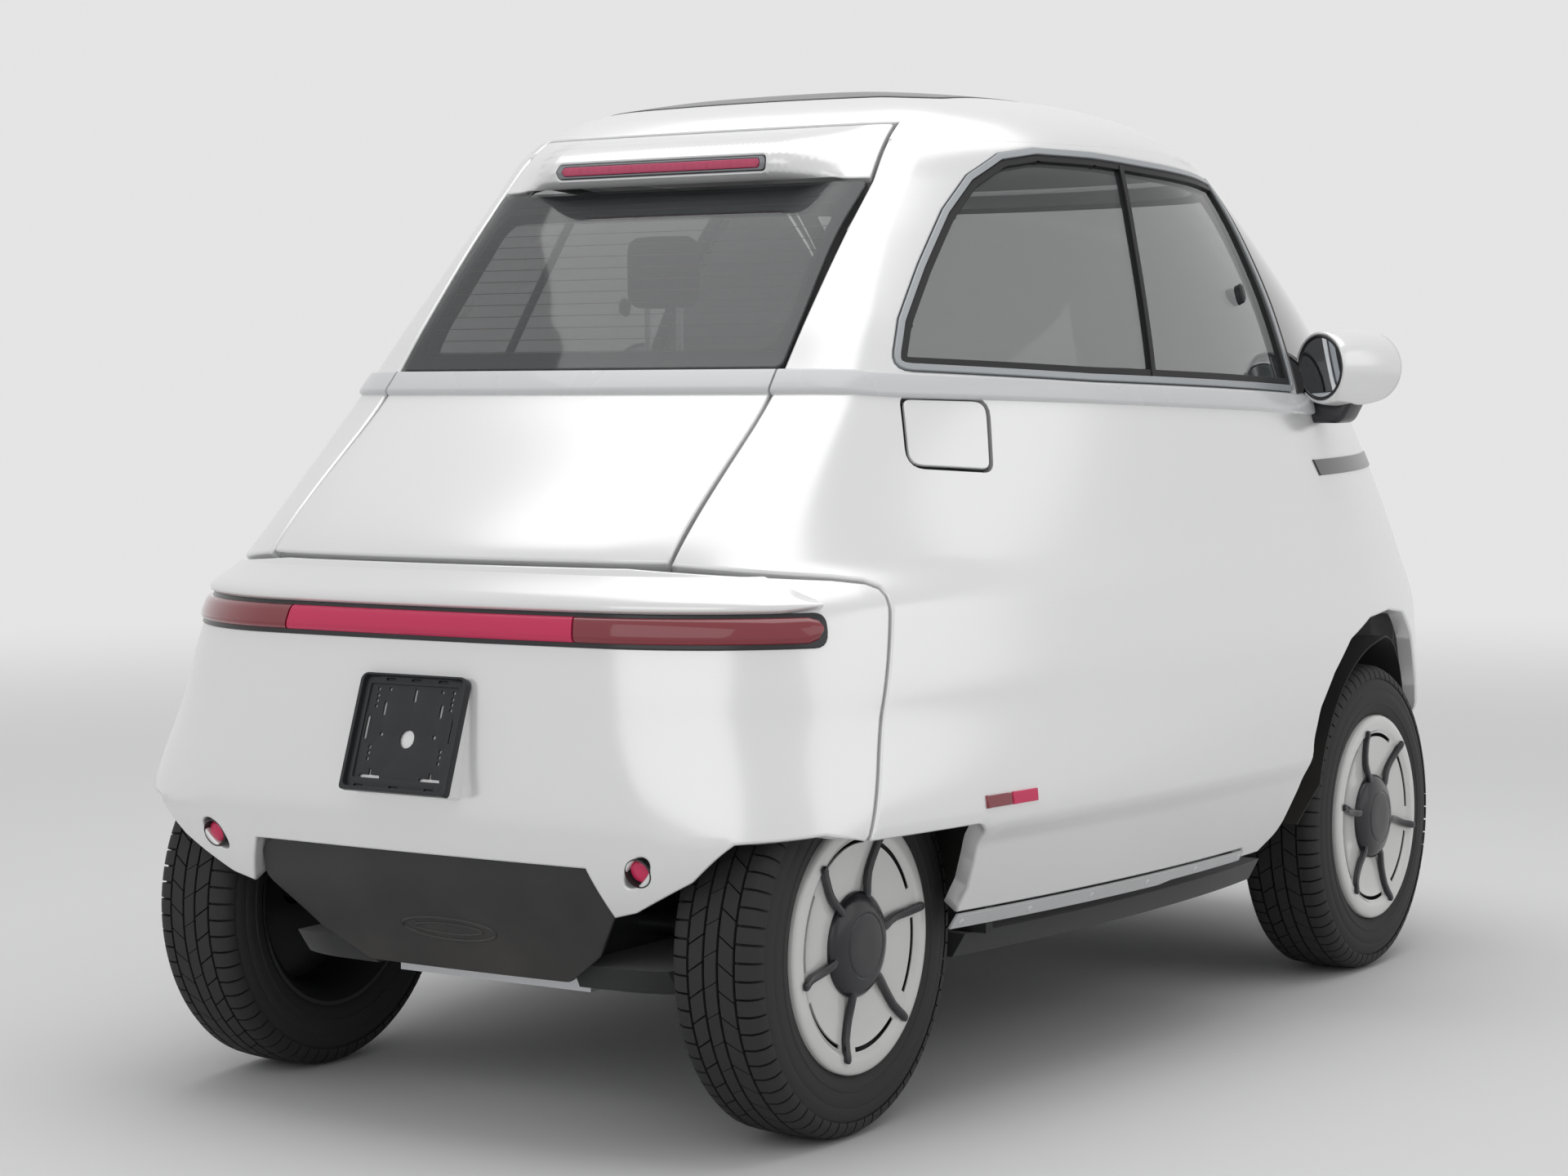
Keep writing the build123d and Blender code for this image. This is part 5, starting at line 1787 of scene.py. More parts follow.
@dataclass
class Glazing:
    """Side windows with their trim, the rear glass and the windscreen."""

    trim_width: float = 0.011
    seal_width: float = 0.012
    glass: float = 0.004
    skin: Skin = field(default_factory=Skin)
    hatch_skin: Skin = field(default_factory=lambda: Skin(spoiler=True))

    def ring(self, outer: Loop, width: float, wall: float, depth: float, name: str,
             finish: Finish, roll: float = 0.0015) -> tuple[bpy.types.Object, Loop]:
        """A band inside an outline.

        Args:
            outer: Its outer outline.
            width: How wide it is.
            wall: How thick it is.
            depth: How far its face lies below the skin.
            name: The object's name.
            finish: Its finish.
            roll: Radius of its edges.

        Returns:
            The band and its inner outline.
        """
        seamed = Loop(outer.points, np.full(len(outer.points), 0.0002))
        inner = grown(self.skin, outer, width)
        seamed_inner = Loop(inner.points, np.full(len(inner.points), 0.0002))
        band = Patch(self.skin, [seamed, seamed_inner], wall, depth=depth, roll=roll, grid=0.03)
        return band.build(name, finish.material()), inner

    def side_window(self, side: Side) -> None:
        """Trim, seal, pane and division bar of one side window.

        Args:
            side: The side of the car.
        """
        opening = Loop.of_points(Face.SIDE, round_corners(WINDOW, 0.018), 0.0002, side.value)
        trim, after_trim = self.ring(opening, self.trim_width, 0.020, -0.0025, "trim", GREY_TRIM)
        seal, _ = self.ring(after_trim, self.seal_width, 0.020, 0.001, "seal", RUBBER)
        pane_edge = Loop(after_trim.points, np.full(len(after_trim.points), 0.002))
        pane = Patch(self.skin, [pane_edge], self.glass, depth=0.006, roll=0.0008, grid=0.03)
        glass = pane.build(f"pane_{side.word}", WINDOW_GLASS.material())
        bars = []
        for top, bottom, width, rise in (((0.827, 1.372), (0.709, 1.034), 0.011, -0.001),):
            half = width / 2
            outline = [(bottom[0] - half, bottom[1]), (bottom[0] + half, bottom[1]), (top[0] + half, top[1]),
                       (top[0] - half, top[1])]
            loop = Loop.of_points(Face.SIDE, outline, 0.0002, side.value, 0.02)
            bar = Patch(self.skin, [loop], 0.012, depth=rise, roll=0.0015, grid=0.03)
            bars.append(bar.build("bar", RUBBER.material()))
        settle(glass, "root", "glass", f"side_window_{side.word}")
        frame = joined(f"window_trim_{side.word}", [trim, seal, *bars])
        settle(frame, "root", "black_plastic")

    def latch(self, side: Side) -> None:
        """The sliding pane's catch, an oval button on the front part of the pane.

        Args:
            side: The side of the car.
        """
        centre = skin_points(self.skin, Face.SIDE, [(1.075, 1.170)], 0.001, side.value)[0]
        out = Vector((0.15, side.value * 0.93, 0.33))
        button = turned(f"window_catch_{side.word}", [(-0.006, 0.0), (-0.006, 0.011), (0.004, 0.011),
                                                      (0.007, 0.008),
                                                     (0.008, 0.0)], centre, out, SATIN_BLACK.material(), 24,
                        False)
        for vertex in button.data.vertices:
            vertex.co.z = centre.z + (vertex.co.z - centre.z) * 1.5
        settle(button, "root", "black_plastic")

    def pillar(self, side: Side) -> None:
        """The black cover on the pillar between the side window and the door.

        Args:
            side: The side of the car.
        """
        z = np.linspace(1.006, 1.372, 30)
        back_x = np.interp(z, [1.006, 1.372], [1.204, 1.244])
        back = np.stack([BODY.locate(Face.SIDE, side.value, back_x, z), z], axis=1)
        front = door_side_points(side, 1.006, 1.372, 0.006)
        if side is Side.RIGHT:
            front = front - np.array([2 * HALF_ROUND, 0.0])
        front_u = np.interp(z, front[:, 1], front[:, 0])
        loop = Loop.flat([*zip(back[:, 0], z), *zip(front_u[::-1], z[::-1])], 0.0005, 0.02)
        cover = Patch(self.skin, [loop], 0.004, depth=-0.0022, roll=0.0015, grid=0.02)
        settle(cover.build(f"pillar_cover_{side.word}", PILLAR_BLACK.material()), "root", "black_gloss")

    def rear(self) -> None:
        """The rear glass with its black border and heating lines."""
        outline = Loop.flat(spoiler_outline(round_corners(glass_outline(0.0), 0.012)), 0.001)
        pane = Patch(Skin(), [outline], 0.004, depth=-0.0005, roll=0.0012, grid=0.02)
        settle(pane.build("rear_pane", REAR_GLASS.material()), "tailgate", "glass", "rear_window")
        inner = Loop.flat(spoiler_outline(round_corners(glass_outline(-0.019), 0.03)), 0.0003)
        border = Patch(Skin(), [Loop(outline.points, outline.seams + 0.001), inner], 0.0015, depth=0.0045,
                       roll=0.0003, grid=0.03)
        settle(border.build("rear_glass_border", BLACK_GLOSS.material()), "tailgate", "black_gloss")
        lines = []
        rows = 13
        for k in range(rows):
            z = 1.085 + k * (1.305 - 1.085) / (rows - 1)
            half = 0.322 - 0.010 * k / (rows - 1)
            path = skin_points(Skin(), Face.TAIL, [(y, z) for y in np.linspace(-half, half, 26)], -0.0050)
            lines.append(tube_piece("heater", path, 0.0006, HEATER.material(), sides=4))
        settle(joined("rear_heater", lines), "tailgate", "glass")

    def windscreen(self) -> None:
        """The windscreen with its border, and the wiper at rest on it."""
        shell = BodyShell()
        outline = Loop.flat(shell.screen_points(0.0), 0.001)
        pane = Patch(Skin(), [outline], 0.005, depth=0.001, roll=0.001, grid=0.024)
        settle(pane.build("windscreen_pane", CLEAR_GLASS.material()), "front_door", "glass", "windshield")
        inner = Loop.flat(shell.screen_points(0.024), 0.0003)
        border = Patch(Skin(), [Loop(outline.points, outline.seams + 0.001), inner], 0.0015, depth=0.0068,
                       roll=0.0003, grid=0.03)
        settle(border.build("windscreen_border", BLACK_GLOSS.material()), "front_door", "black_gloss")
        arm = skin_points(Skin(), Face.NOSE, [(0.30, 0.985), (0.20, 1.010), (0.02, 1.035)], 0.016)
        blade = skin_points(Skin(), Face.NOSE, [(y, 1.012 + 0.030 * (1 - abs(y - 0.02) / 0.34))
                                               for y in np.linspace(0.33, -0.30, 16)], 0.008)
        post = turned("post", [(-0.02, 0.0), (-0.02, 0.014), (0.016, 0.012), (0.022, 0.0)], arm[0],
                      (0.8, 0.1, 0.6), SATIN_BLACK.material(), 20, False)
        wiper = joined("wiper", [tube_piece("arm", arm, 0.006, SATIN_BLACK.material(), sides=8),
                                 tube_piece("blade", blade, 0.005, RUBBER.material(), sides=6, stretch=1.6),
                                 post])
        settle(wiper, "front_door", "black_plastic")

    def build(self) -> None:
        """Make all the glazing."""
        for side in Side:
            self.side_window(side)
            self.latch(side)
            self.pillar(side)
        self.rear()
        self.windscreen()


# ---------------------------------------------------------------- lamps
@dataclass
class Lamps:
    """Tail lamp, brake light, reflectors, side markers and the front lamp bar."""

    bar_low: float = 0.682
    bar_high: float = 0.7235
    skin: Skin = field(default_factory=Skin)

    def tail(self) -> None:
        """The tail lamp in three lenses with a black surround that wraps both corners."""
        profile = [(0.0, 0.0), (0.03, 0.0060), (0.12, 0.0092), (0.30, 0.0106), (0.70, 0.0106), (0.88, 0.0092),
                   (0.97, 0.0060), (1.0, 0.0)]
        end = BODY.locate(Face.SIDE, 1, np.array([-0.116]), np.array([0.703]))[0]
        low, high = self.bar_low + 0.004, self.bar_high - 0.003
        split = BODY.locate(Face.TAIL, 1, np.array([0.251]), np.array([0.703]))[0]
        gap = 0.0022
        for name, finish, a, b in (("centre", RED_LENS, -split + gap, split - gap),
                                   ("left", DARK_RED_LENS, split + gap, end),
                                   ("right", DARK_RED_LENS, -end, -split - gap)):
            lower = [(a, low), (a * 0.999 + b * 0.001, low), (b, low)]
            upper = [(a, high), (a * 0.999 + b * 0.001, high), (b, high)]
            if name == "left":
                lower = [(a, low), (b - 0.02, low), (b - 0.006, low + 0.004), (b, low + 0.013)]
                upper = [(a, high), (b - 0.02, high), (b - 0.006, high - 0.004), (b, high - 0.013)]
            if name == "right":
                lower = [(a, low + 0.013), (a + 0.006, low + 0.004), (a + 0.02, low), (b, low)]
                upper = [(a, high - 0.013), (a + 0.006, high - 0.004), (a + 0.02, high), (b, high)]
            lens = Band(f"tail_lens_{name}", lower, upper, profile, mirrored=False)
            piece = lens.build(self.skin, finish.material())
            if name == "centre":
                settle(piece, "root", "red_lens", "tail_light_bar")
            else:
                settle(piece, "root", "red_lens")
        around = [(-end - 0.010, self.bar_low - 0.002), (end + 0.010, self.bar_low - 0.002),
                  (end + 0.010, self.bar_high + 0.003), (-end - 0.010, self.bar_high + 0.003)]
        loop = Loop.flat(round_corners(around, 0.020), 0.0002)
        tray = Patch(self.skin, [loop], 0.006, depth=-0.0028, roll=0.002, grid=0.03, grid_up=0.012)
        settle(tray.build("tail_lamp_tray", BLACK_GLOSS.material()), "root", "black_gloss")

    def brake(self) -> None:
        """The brake light in the tailgate's brow, with its grey border."""
        skin = Skin(spoiler=True)
        outline = [(0.1905, 1.353), (0.1945, 1.3645), (0.1905, 1.376)]
        outline = round_corners([*outline, *[(-y, z) for y, z in reversed(outline)]], 0.008)
        border = Loop.flat(spoiler_outline(outline), 0.0004, 0.012)
        inner = [(0.181, 1.3565), (0.185, 1.3645), (0.181, 1.3725)]
        inner = round_corners([*inner, *[(-y, z) for y, z in reversed(inner)]], 0.006)
        hole = Loop.flat(spoiler_outline(inner), 0.0002, 0.012)
        rim = Patch(skin, [border, hole], 0.010, depth=0.001, roll=0.0012, grid=0.03)
        settle(rim.build("brake_light_rim", FROST_GREY.material()), "tailgate", "red_lens")
        lens = Patch(skin, [Loop.flat(spoiler_outline(inner), 0.0006, 0.012)], 0.008, depth=0.0006,
                     roll=0.0015, grid=0.02, grid_up=0.005)
        settle(lens.build("brake_light_lens", PINK_LENS.material()), "tailgate", "red_lens",
               "third_brake_light")

    def reflectors(self) -> None:
        """Round red reflectors in dark cups low in the bumper, their lenses with a faint painted glow."""
        for side in Side:
            across, height = side.value * 0.373, 0.389
            at = skin_points(self.skin, Face.TAIL, [(across, height)], 0.0)[0]
            round_at = BODY.locate(Face.TAIL, 1, np.array([across]), np.array([height]))
            out = Vector(self.skin.normal(round_at, np.array([height]))[0])
            cup = turned("cup", [(-0.028, 0.0), (-0.028, 0.0205), (-0.0005, 0.0205), (0.0006, 0.0190),
                                 (-0.012, 0.0165), (-0.016, 0.0)], at, out, SATIN_BLACK.material(), 40, False)
            # The lens takes RED_LENS's faint glow: a painted glint on a part that is no lamp.
            lens = turned("lens", [(-0.014, 0.0), (-0.014, 0.0150), (-0.008, 0.0150), (-0.0045, 0.0110),
                                   (-0.003, 0.0)],
                          at, out, RED_LENS.material(), 40, False)
            settle(joined(f"reflector_{side.word}", [cup, lens]), "root", "red_lens")

    def markers(self) -> None:
        """Long side markers in two shades of red, low on each body side."""
        for side in Side:
            pieces = []
            for a, b, finish in ((0.113, 0.168, DARK_RED_LENS), (0.170, 0.227, RED_LENS)):
                z = np.array([0.447, 0.447, 0.465, 0.465])
                u = BODY.locate(Face.SIDE, side.value, np.array([a, b, b, a]), z)
                loop = Loop.flat(list(zip(u, z)), 0.0003)
                patch = Patch(self.skin, [loop], 0.008, depth=-0.0035, roll=0.002, grid=0.02, grid_up=0.008)
                pieces.append(patch.build("marker", finish.material()))
            settle(joined(f"side_marker_{side.word}", pieces), "root", "red_lens")

    def front_bar(self) -> None:
        """The lamp bar across the door, carried on round each side of the body."""
        loop = Loop.flat(BodyShell().bar_points(), 0.002)
        bar = Patch(self.skin, [loop], 0.014, depth=-0.002, roll=0.003, grid=0.03, grid_up=0.010)
        settle(bar.build("front_lamp_bar", BLACK_GLOSS.material()), "front_door", "black_gloss",
               "front_light_bar")
        strip = [(y, 0.884) for y in np.linspace(-0.46, 0.46, 60)]
        path = skin_points(self.skin, Face.NOSE, strip, 0.0035)
        settle(tube_piece("front_lamp_line", path, 0.0025, LAMP_BOWL.material(), sides=6), "front_door",
               "headlamp_lens")
        for side in Side:
            z = np.array([0.870, 0.898])
            near = door_side_points(side, 0.870, 0.898, 0.008)[[0, -1], 0]
            far = BODY.locate(Face.SIDE, 1, np.array([1.240, 1.215]), z)
            if side is Side.RIGHT:
                near = near - 2 * HALF_ROUND
            far = far * side.value
            loop = Loop.flat([(near[0], z[0]), (far[0], z[0]), (far[1], z[1]), (near[1], z[1])], 0.0005)
            piece = Patch(self.skin, [loop], 0.008, depth=-0.0025, roll=0.002, grid=0.03, grid_up=0.01)
            settle(piece.build(f"front_lamp_side_{side.word}", BLACK_GLOSS.material()), "root", "black_gloss")

    def build(self) -> None:
        """Make every lamp."""
        self.tail()
        self.brake()
        self.reflectors()
        self.markers()
        self.front_bar()


# ---------------------------------------------------------------- what repeats
def set_out_tree() -> bpy.types.NodeTree:
    """Node tree that sets a shape on points, turned a step more on each and stood along their outs.

    Returns:
        The tree.
    """
    name = "set_out"
    if name in bpy.data.node_groups:
        return bpy.data.node_groups[name]
    tree = bpy.data.node_groups.new(name, "GeometryNodeTree")
    for label, kind in (("Points", "Geometry"), ("Shape", "Object"), ("Turn", "Float"),
                        ("Finish", "Material")):
        tree.interface.new_socket(label, in_out="INPUT", socket_type=f"NodeSocket{kind}")
    tree.interface.new_socket("Pieces", in_out="OUTPUT", socket_type="NodeSocketGeometry")
    nodes, link = tree.nodes, tree.links.new
    given, out = nodes.new("NodeGroupInput"), nodes.new("NodeGroupOutput")
    index, turn = nodes.new("GeometryNodeInputIndex"), nodes.new("ShaderNodeMath")
    turn.operation = "MULTIPLY"
    angles, rotation = nodes.new("ShaderNodeCombineXYZ"), nodes.new("FunctionNodeEulerToRotation")
    outward = nodes.new("GeometryNodeInputNamedAttribute")
    stand = nodes.new("FunctionNodeAlignRotationToVector")
    outward.data_type = "FLOAT_VECTOR"
    outward.inputs["Name"].default_value = "out"
    shape, copies = nodes.new("GeometryNodeObjectInfo"), nodes.new("GeometryNodeInstanceOnPoints")
    real, finish = nodes.new("GeometryNodeRealizeInstances"), nodes.new("GeometryNodeSetMaterial")
    link(given.outputs["Turn"], turn.inputs[0])
    link(index.outputs[0], turn.inputs[1])
    link(turn.outputs[0], angles.inputs["Z"])
    link(angles.outputs[0], rotation.inputs[0])
    link(rotation.outputs[0], stand.inputs["Rotation"])
    link(outward.outputs[0], stand.inputs["Vector"])
    link(given.outputs["Shape"], shape.inputs["Object"])
    link(given.outputs["Points"], copies.inputs["Points"])
    link(shape.outputs["Geometry"], copies.inputs["Instance"])
    link(stand.outputs[0], copies.inputs["Rotation"])
    link(copies.outputs[0], real.inputs[0])
    link(real.outputs[0], finish.inputs["Geometry"])
    link(given.outputs["Finish"], finish.inputs["Material"])
    link(finish.outputs[0], out.inputs[0])
    return tree


def set_out(name: str, shape: bpy.types.Object, places: Sequence[Sequence[float]],
            outs: Sequence[Sequence[float]],
            material: bpy.types.Material, turn: float = 0.0) -> bpy.types.Object:
    """Repeat a shape on places by Geometry Nodes, as one plain mesh.

    Args:
        name: The object's name.
        shape: The shape, with its own Z outward. It is used up.
        places: Where each copy's origin goes.
        outs: Direction of each copy's Z.
        material: The finish.
        turn: Angle by which each copy is turned past the one before.

    Returns:
        The joined copies.
    """
    mesh = bpy.data.meshes.new(name)
    mesh.from_pydata([tuple(p) for p in places], [], [])
    outward = mesh.attributes.new("out", "FLOAT_VECTOR", "POINT")
    outward.data.foreach_set("vector", [value for out in outs for value in out])
    host = bpy.data.objects.new(name, mesh)
    bpy.context.scene.collection.objects.link(host)
    modifier = host.modifiers.new("set_out", "NODES")
    tree = set_out_tree()
    modifier.node_group = tree
    sockets = {item.name: item.identifier for item in tree.interface.items_tree if item.in_out == "INPUT"}
    for label, value in (("Shape", shape), ("Turn", turn), ("Finish", material)):
        modifier[sockets[label]] = value
    made = bpy.data.meshes.new_from_object(host.evaluated_get(bpy.context.evaluated_depsgraph_get()))
    host.modifiers.clear()
    host.data = made
    bpy.data.objects.remove(shape)
    shade_by_angle(host, 35)
    return host


def ring_of(name: str, shape: bpy.types.Object, count: int, material: bpy.types.Material) -> bpy.types.Object:
    """Set copies of a shape evenly round the Z axis."""
    return set_out(name, shape, [(0, 0, 0)] * count, [(0, 0, 1)] * count, material, 2 * math.pi / count)


def placed(piece: bpy.types.Object, centre: Sequence[float], axis: Sequence[float],
           start: float = 0.0) -> bpy.types.Object:
    """Move a mesh from its own frame, with Z along an axle, to its place.

    Args:
        piece: The object to work on.
        centre: Where its origin goes.
        axis: The direction along it.
        start: Turn about the axis, in degrees.

    Returns:
        The same object.
    """
    turn = frame_from(Vector(axis)).to_4x4() @ Matrix.Rotation(start, 4, "Z")
    piece.data.transform(Matrix.Translation(centre) @ turn)
    return piece


def bar_piece(name: str, stations: Sequence[tuple[float, float, float, float, float]],
              material: bpy.types.Material, sides: int = 12) -> bpy.types.Object:
    """A bar through stations of (x, y, z, half width, half height), flat side up along Z.

    Args:
        name: The object's name.
        stations: x, y, z, half width and half height of each station.
        material: Its finish.
        sides: Faces around it.

    Returns:
        The bar.
    """
    vertices, faces = [], []
    path = [Vector(s[:3]) for s in stations]
    for index, (point, station) in enumerate(zip(path, stations)):
        ahead = (path[min(index + 1, len(path) - 1)] - path[max(index - 1, 0)]).normalized()
        across = Vector((0, 0, 1)).cross(ahead).normalized()
        up = ahead.cross(across)
        for k in range(sides):
            angle = 2 * math.pi * k / sides
            c, s = math.cos(angle), math.sin(angle)
            side = across * station[3] * math.copysign(abs(c) ** 0.6, c)
            vertices.append(point + side + up * station[4] * math.copysign(abs(s) ** 0.6, s))
    for index in range(len(path) - 1):
        for k in range(sides):
            m = (k + 1) % sides
            faces.append((index * sides + k, index * sides + m, (index + 1) * sides + m,
                          (index + 1) * sides + k))
    faces.append(tuple(range(sides)))
    faces.append(tuple(range((len(path) - 1) * sides, len(path) * sides)))
    made = solid_mesh(name, vertices, faces, material)
    face_out(made)
    shade_by_angle(made, 50)
    return made


# ---------------------------------------------------------------- wheels
@dataclass
class Wheel:
    """A wheel: tyre with its tread, steel rim, dished cover with slots, six spokes and a domed cap."""

    place: str
    centre: tuple[float, float, float]
    outward: int
    first_spoke: float
    radius: float = 0.265
    tread_base: float = 0.2572
    cover_steps: int = 144
    spokes: int = 6

    def crown(self, y: float) -> float:
        """Radius of the tread at a distance from the wheel's middle."""
        return self.radius - 1.1 * y * y

    def carcass(self) -> bpy.types.Object:
        """The tyre under its tread blocks.

        Returns:
            The tyre.
        """
        half = [(0.0, self.tread_base), (0.050, 0.2552), (0.0585, 0.2515), (0.0655, 0.2440), (0.0700, 0.2330),
                (0.0718, 0.2220), (0.0715, 0.2205), (0.0722, 0.2195), (0.0724, 0.2080), (0.0716, 0.1990),
                (0.0724, 0.1982), (0.0724, 0.1955), (0.0712, 0.1945), (0.0690, 0.1850), (0.0655, 0.1775),
                (0.0610, 0.1735), (0.0560, 0.1700)]
        profile = [*half, *[(-reach, radius) for reach, radius in reversed(half[1:])]]
        return turned("tyre", profile, (0, 0, 0), (0, 0, 1), TYRE.material(), 128)

    def block(self, section: Points, count: int, share: float, slant: float) -> bpy.types.Object:
        """One tread block.

        Args:
            section: Its (reach, radius) outline across the tyre.
            count: Blocks round the tyre.
            share: Part of a step that the block fills.
            slant: Turn of the block for each metre across.

        Returns:
            The block at angle zero.
        """
        half = math.pi / count * share
        vertices = []
        for end in (-half, 0.0, half):
            for reach, radius in section:
                angle = end + slant * reach
                vertices.append((radius * math.cos(angle), radius * math.sin(angle), reach))
        size = len(section)
        faces = [tuple(range(size)), tuple(range(2 * size, 3 * size))]
        for row in (0, size):
            faces.extend((row + k, row + (k + 1) % size, row + size + (k + 1) % size, row + size + k)
                         for k in range(size))
        made = solid_mesh("block", vertices, faces, TYRE.material())
        face_out(made)
        return made

    def tread(self) -> list[bpy.types.Object]:
        """Shoulder blocks and three middle ribs, cut by sipes.

        Returns:
            The rings of blocks.
        """
        rows = []
        for sign in (1, -1):
            top = [(y, self.crown(y)) for y in (0.0385, 0.046, 0.0535)]
            edge = [*top, (0.0600, 0.2580), (0.0655, 0.2530), (0.0692, 0.2440), (0.0690, 0.2400),
                    (0.0655, 0.2430), (0.0585, 0.2505), (0.0385, 0.2545)]
            rows.append(([(sign * y, r) for y, r in edge], 68, 0.86, 0.0))
            rib = [(y, self.crown(y)) for y in (0.0130, 0.0240, 0.0345)]
            rib = [*rib, (0.0345, 0.2550), (0.0130, 0.2560)]
            rows.append(([(sign * y, r) for y, r in rib], 46, 0.93, 2.6 * sign))
        middle = [(-0.0090, self.crown(0.009)), (0.0, self.crown(0)), (0.0090, self.crown(0.009)),
                  (0.0090, 0.2565), (-0.0090, 0.2565)]
        rows.append((middle, 40, 0.97, -2.2))
        return [ring_of("tread", self.block(section, count, share, slant), count, TYRE.material())
                for section, count, share, slant in rows]

    def rim(self) -> bpy.types.Object:
        """The black steel rim with its disc.

        Returns:
            The rim.
        """
        profile = [(-0.0600, 0.1720), (-0.0640, 0.1750), (-0.0640, 0.1690), (-0.0540, 0.1560),
                   (-0.0280, 0.1440),
                   (0.0240, 0.1430), (0.0290, 0.1300), (0.0250, 0.0750), (0.0250, 0.0300), (0.0300, 0.0300),
                   (0.0300, 0.0750), (0.0340, 0.1300), (0.0400, 0.1440), (0.0520, 0.1560), (0.0640, 0.1690),
                   (0.0650, 0.1765), (0.0620, 0.1765), (0.0600, 0.1680), (0.0480, 0.1590), (0.0300, 0.1490),
                   (-0.0300, 0.1490), (-0.0540, 0.1620)]
        return turned("rim", profile, (0, 0, 0), (0, 0, 1), RIM_STEEL.material(), 72)

    def cover(self) -> bpy.types.Object:
        """The white cover: a rolled edge, a flat ring, a step with six slots and a shallow dish.

        Returns:
            The cover.
        """
        profile = [(0.0630, 0.1762), (0.0700, 0.1765), (0.0738, 0.1745), (0.0758, 0.1710), (0.0764, 0.1660),
                   (0.0764, 0.1580), (0.0758, 0.1535), (0.0738, 0.1500), (0.0715, 0.1475), (0.0705, 0.1452),
                   (0.0694, 0.1388), (0.0684, 0.1350), (0.0660, 0.1220), (0.0640, 0.1050), (0.0628, 0.0880),
                   (0.0622, 0.0600)]
        slot_row, clear_low, clear_high = 9, 11.0, 54.0
        steps = self.cover_steps
        mesh = bmesh.new()
        rings = []
        for reach, radius in profile:
            angles = (2 * math.pi * k / steps for k in range(steps))
            rings.append([mesh.verts.new((radius * math.cos(a), radius * math.sin(a),
                                          reach)) for a in angles])
        for row, (a, b) in enumerate(zip(rings[:-1], rings[1:])):
            for k in range(steps):
                degrees = (k * 360.0 / steps) % (360.0 / self.spokes)
                if row == slot_row and clear_low <= degrees < clear_high:
                    continue
                n = (k + 1) % steps
                mesh.faces.new((a[k], a[n], b[n], b[k]))
        centre = mesh.verts.new((0, 0, profile[-1][0]))
        for k in range(steps):
            mesh.faces.new((rings[-1][k], rings[-1][(k + 1) % steps], centre))
        bmesh.ops.recalc_face_normals(mesh, faces=mesh.faces)
        if sum(f.normal.z * f.calc_area() for f in mesh.faces) < 0:
            bmesh.ops.reverse_faces(mesh, faces=mesh.faces)
        bmesh.ops.solidify(mesh, geom=list(mesh.faces), thickness=0.0025)
        bmesh.ops.recalc_face_normals(mesh, faces=mesh.faces)
        made = bpy.data.objects.new("cover", bpy.data.meshes.new("cover"))
        mesh.to_mesh(made.data)
        mesh.free()
        made.data.materials.append(COVER_WHITE.material())
        bpy.context.scene.collection.objects.link(made)
        shade_by_angle(made, 40)
        return made

    def cap(self) -> bpy.types.Object:
        """The glossy dome with its flat face, and the six spokes that run out from under it.

        Returns:
            The cap with its spokes.
        """
        dome = [(0.058, 0.0), (0.058, 0.0725), (0.0655, 0.0728), (0.0690, 0.0712), (0.0738, 0.0660),
                (0.0775, 0.0580),
                (0.0798, 0.0500), (0.0806, 0.0462), (0.0800, 0.0452), (0.0800, 0.0445), (0.0808, 0.0435),
                (0.0815, 0.0400), (0.0817, 0.0200), (0.0817, 0.0)]
        pieces = [turned("dome", dome, (0, 0, 0), (0, 0, 1), BLACK_GLOSS.material(), 64, False)]
        run = [(0.058, 0.0690), (0.072, 0.0705), (0.086, 0.0690), (0.100, 0.0680), (0.115, 0.0690),
               (0.130, 0.0712),
               (0.143, 0.0745), (0.152, 0.0778), (0.1575, 0.0790), (0.1600, 0.0790), (0.1613, 0.0788)]
        stations = []
        for index, (radius, reach) in enumerate(run):
            bend = 0.0035 * math.sin(math.pi * (radius - 0.058) / 0.07) if radius < 0.128 else 0.0
            left = len(run) - 1 - index
            shrink = (0.35, 0.75, 0.95)[left] if left < 3 else 1.0
            stations.append((radius, bend, reach, 0.0062 * shrink, 0.0046 * shrink))
        spoke = bar_piece("spoke", stations, BLACK_GLOSS.material())
        pieces.append(ring_of("spokes", spoke, self.spokes, BLACK_GLOSS.material()))
        return joined(f"wheel_cap_{self.place}", pieces)

    def build(self) -> None:
        """Make the wheel's pieces and stand them on their axle."""
        axis = (0, self.outward, 0)
        start = math.radians(self.first_spoke)
        body = f"wheel_{self.place}"
        tyre = joined(f"tyre_with_tread_{self.place}", [self.carcass(), *self.tread()])
        settle(placed(tyre, self.centre, axis), body, "tyre_rubber", f"tyre_{self.place}")
        rim = self.rim()
        rim.name = f"steel_rim_{self.place}"
        settle(placed(rim, self.centre, axis), body, "rim_steel", f"rim_{self.place}")
        cover = self.cover()
        cover.name = f"dished_cover_{self.place}"
        settle(placed(cover, self.centre, axis, start), body, "white_cover", f"wheel_cover_{self.place}")
        settle(placed(self.cap(), self.centre, axis, start), body, "black_cap", f"hub_cap_{self.place}")


def wheels() -> list[Wheel]:
    """The four wheels.

    Returns:
        One wheel for each corner of the car.
    """
    made = []
    for side in Side:
        for row, x, y, first in (("front", ORIGIN_SHIFT + WHEELBASE, FRONT_HALF_TRACK, 48.0),
                                 ("rear", ORIGIN_SHIFT, REAR_HALF_TRACK, 12.0)):
            made.append(Wheel(f"{row}_{side.word}", (x, side.value * y, AXLE_HEIGHT), side.value, first))
    return made


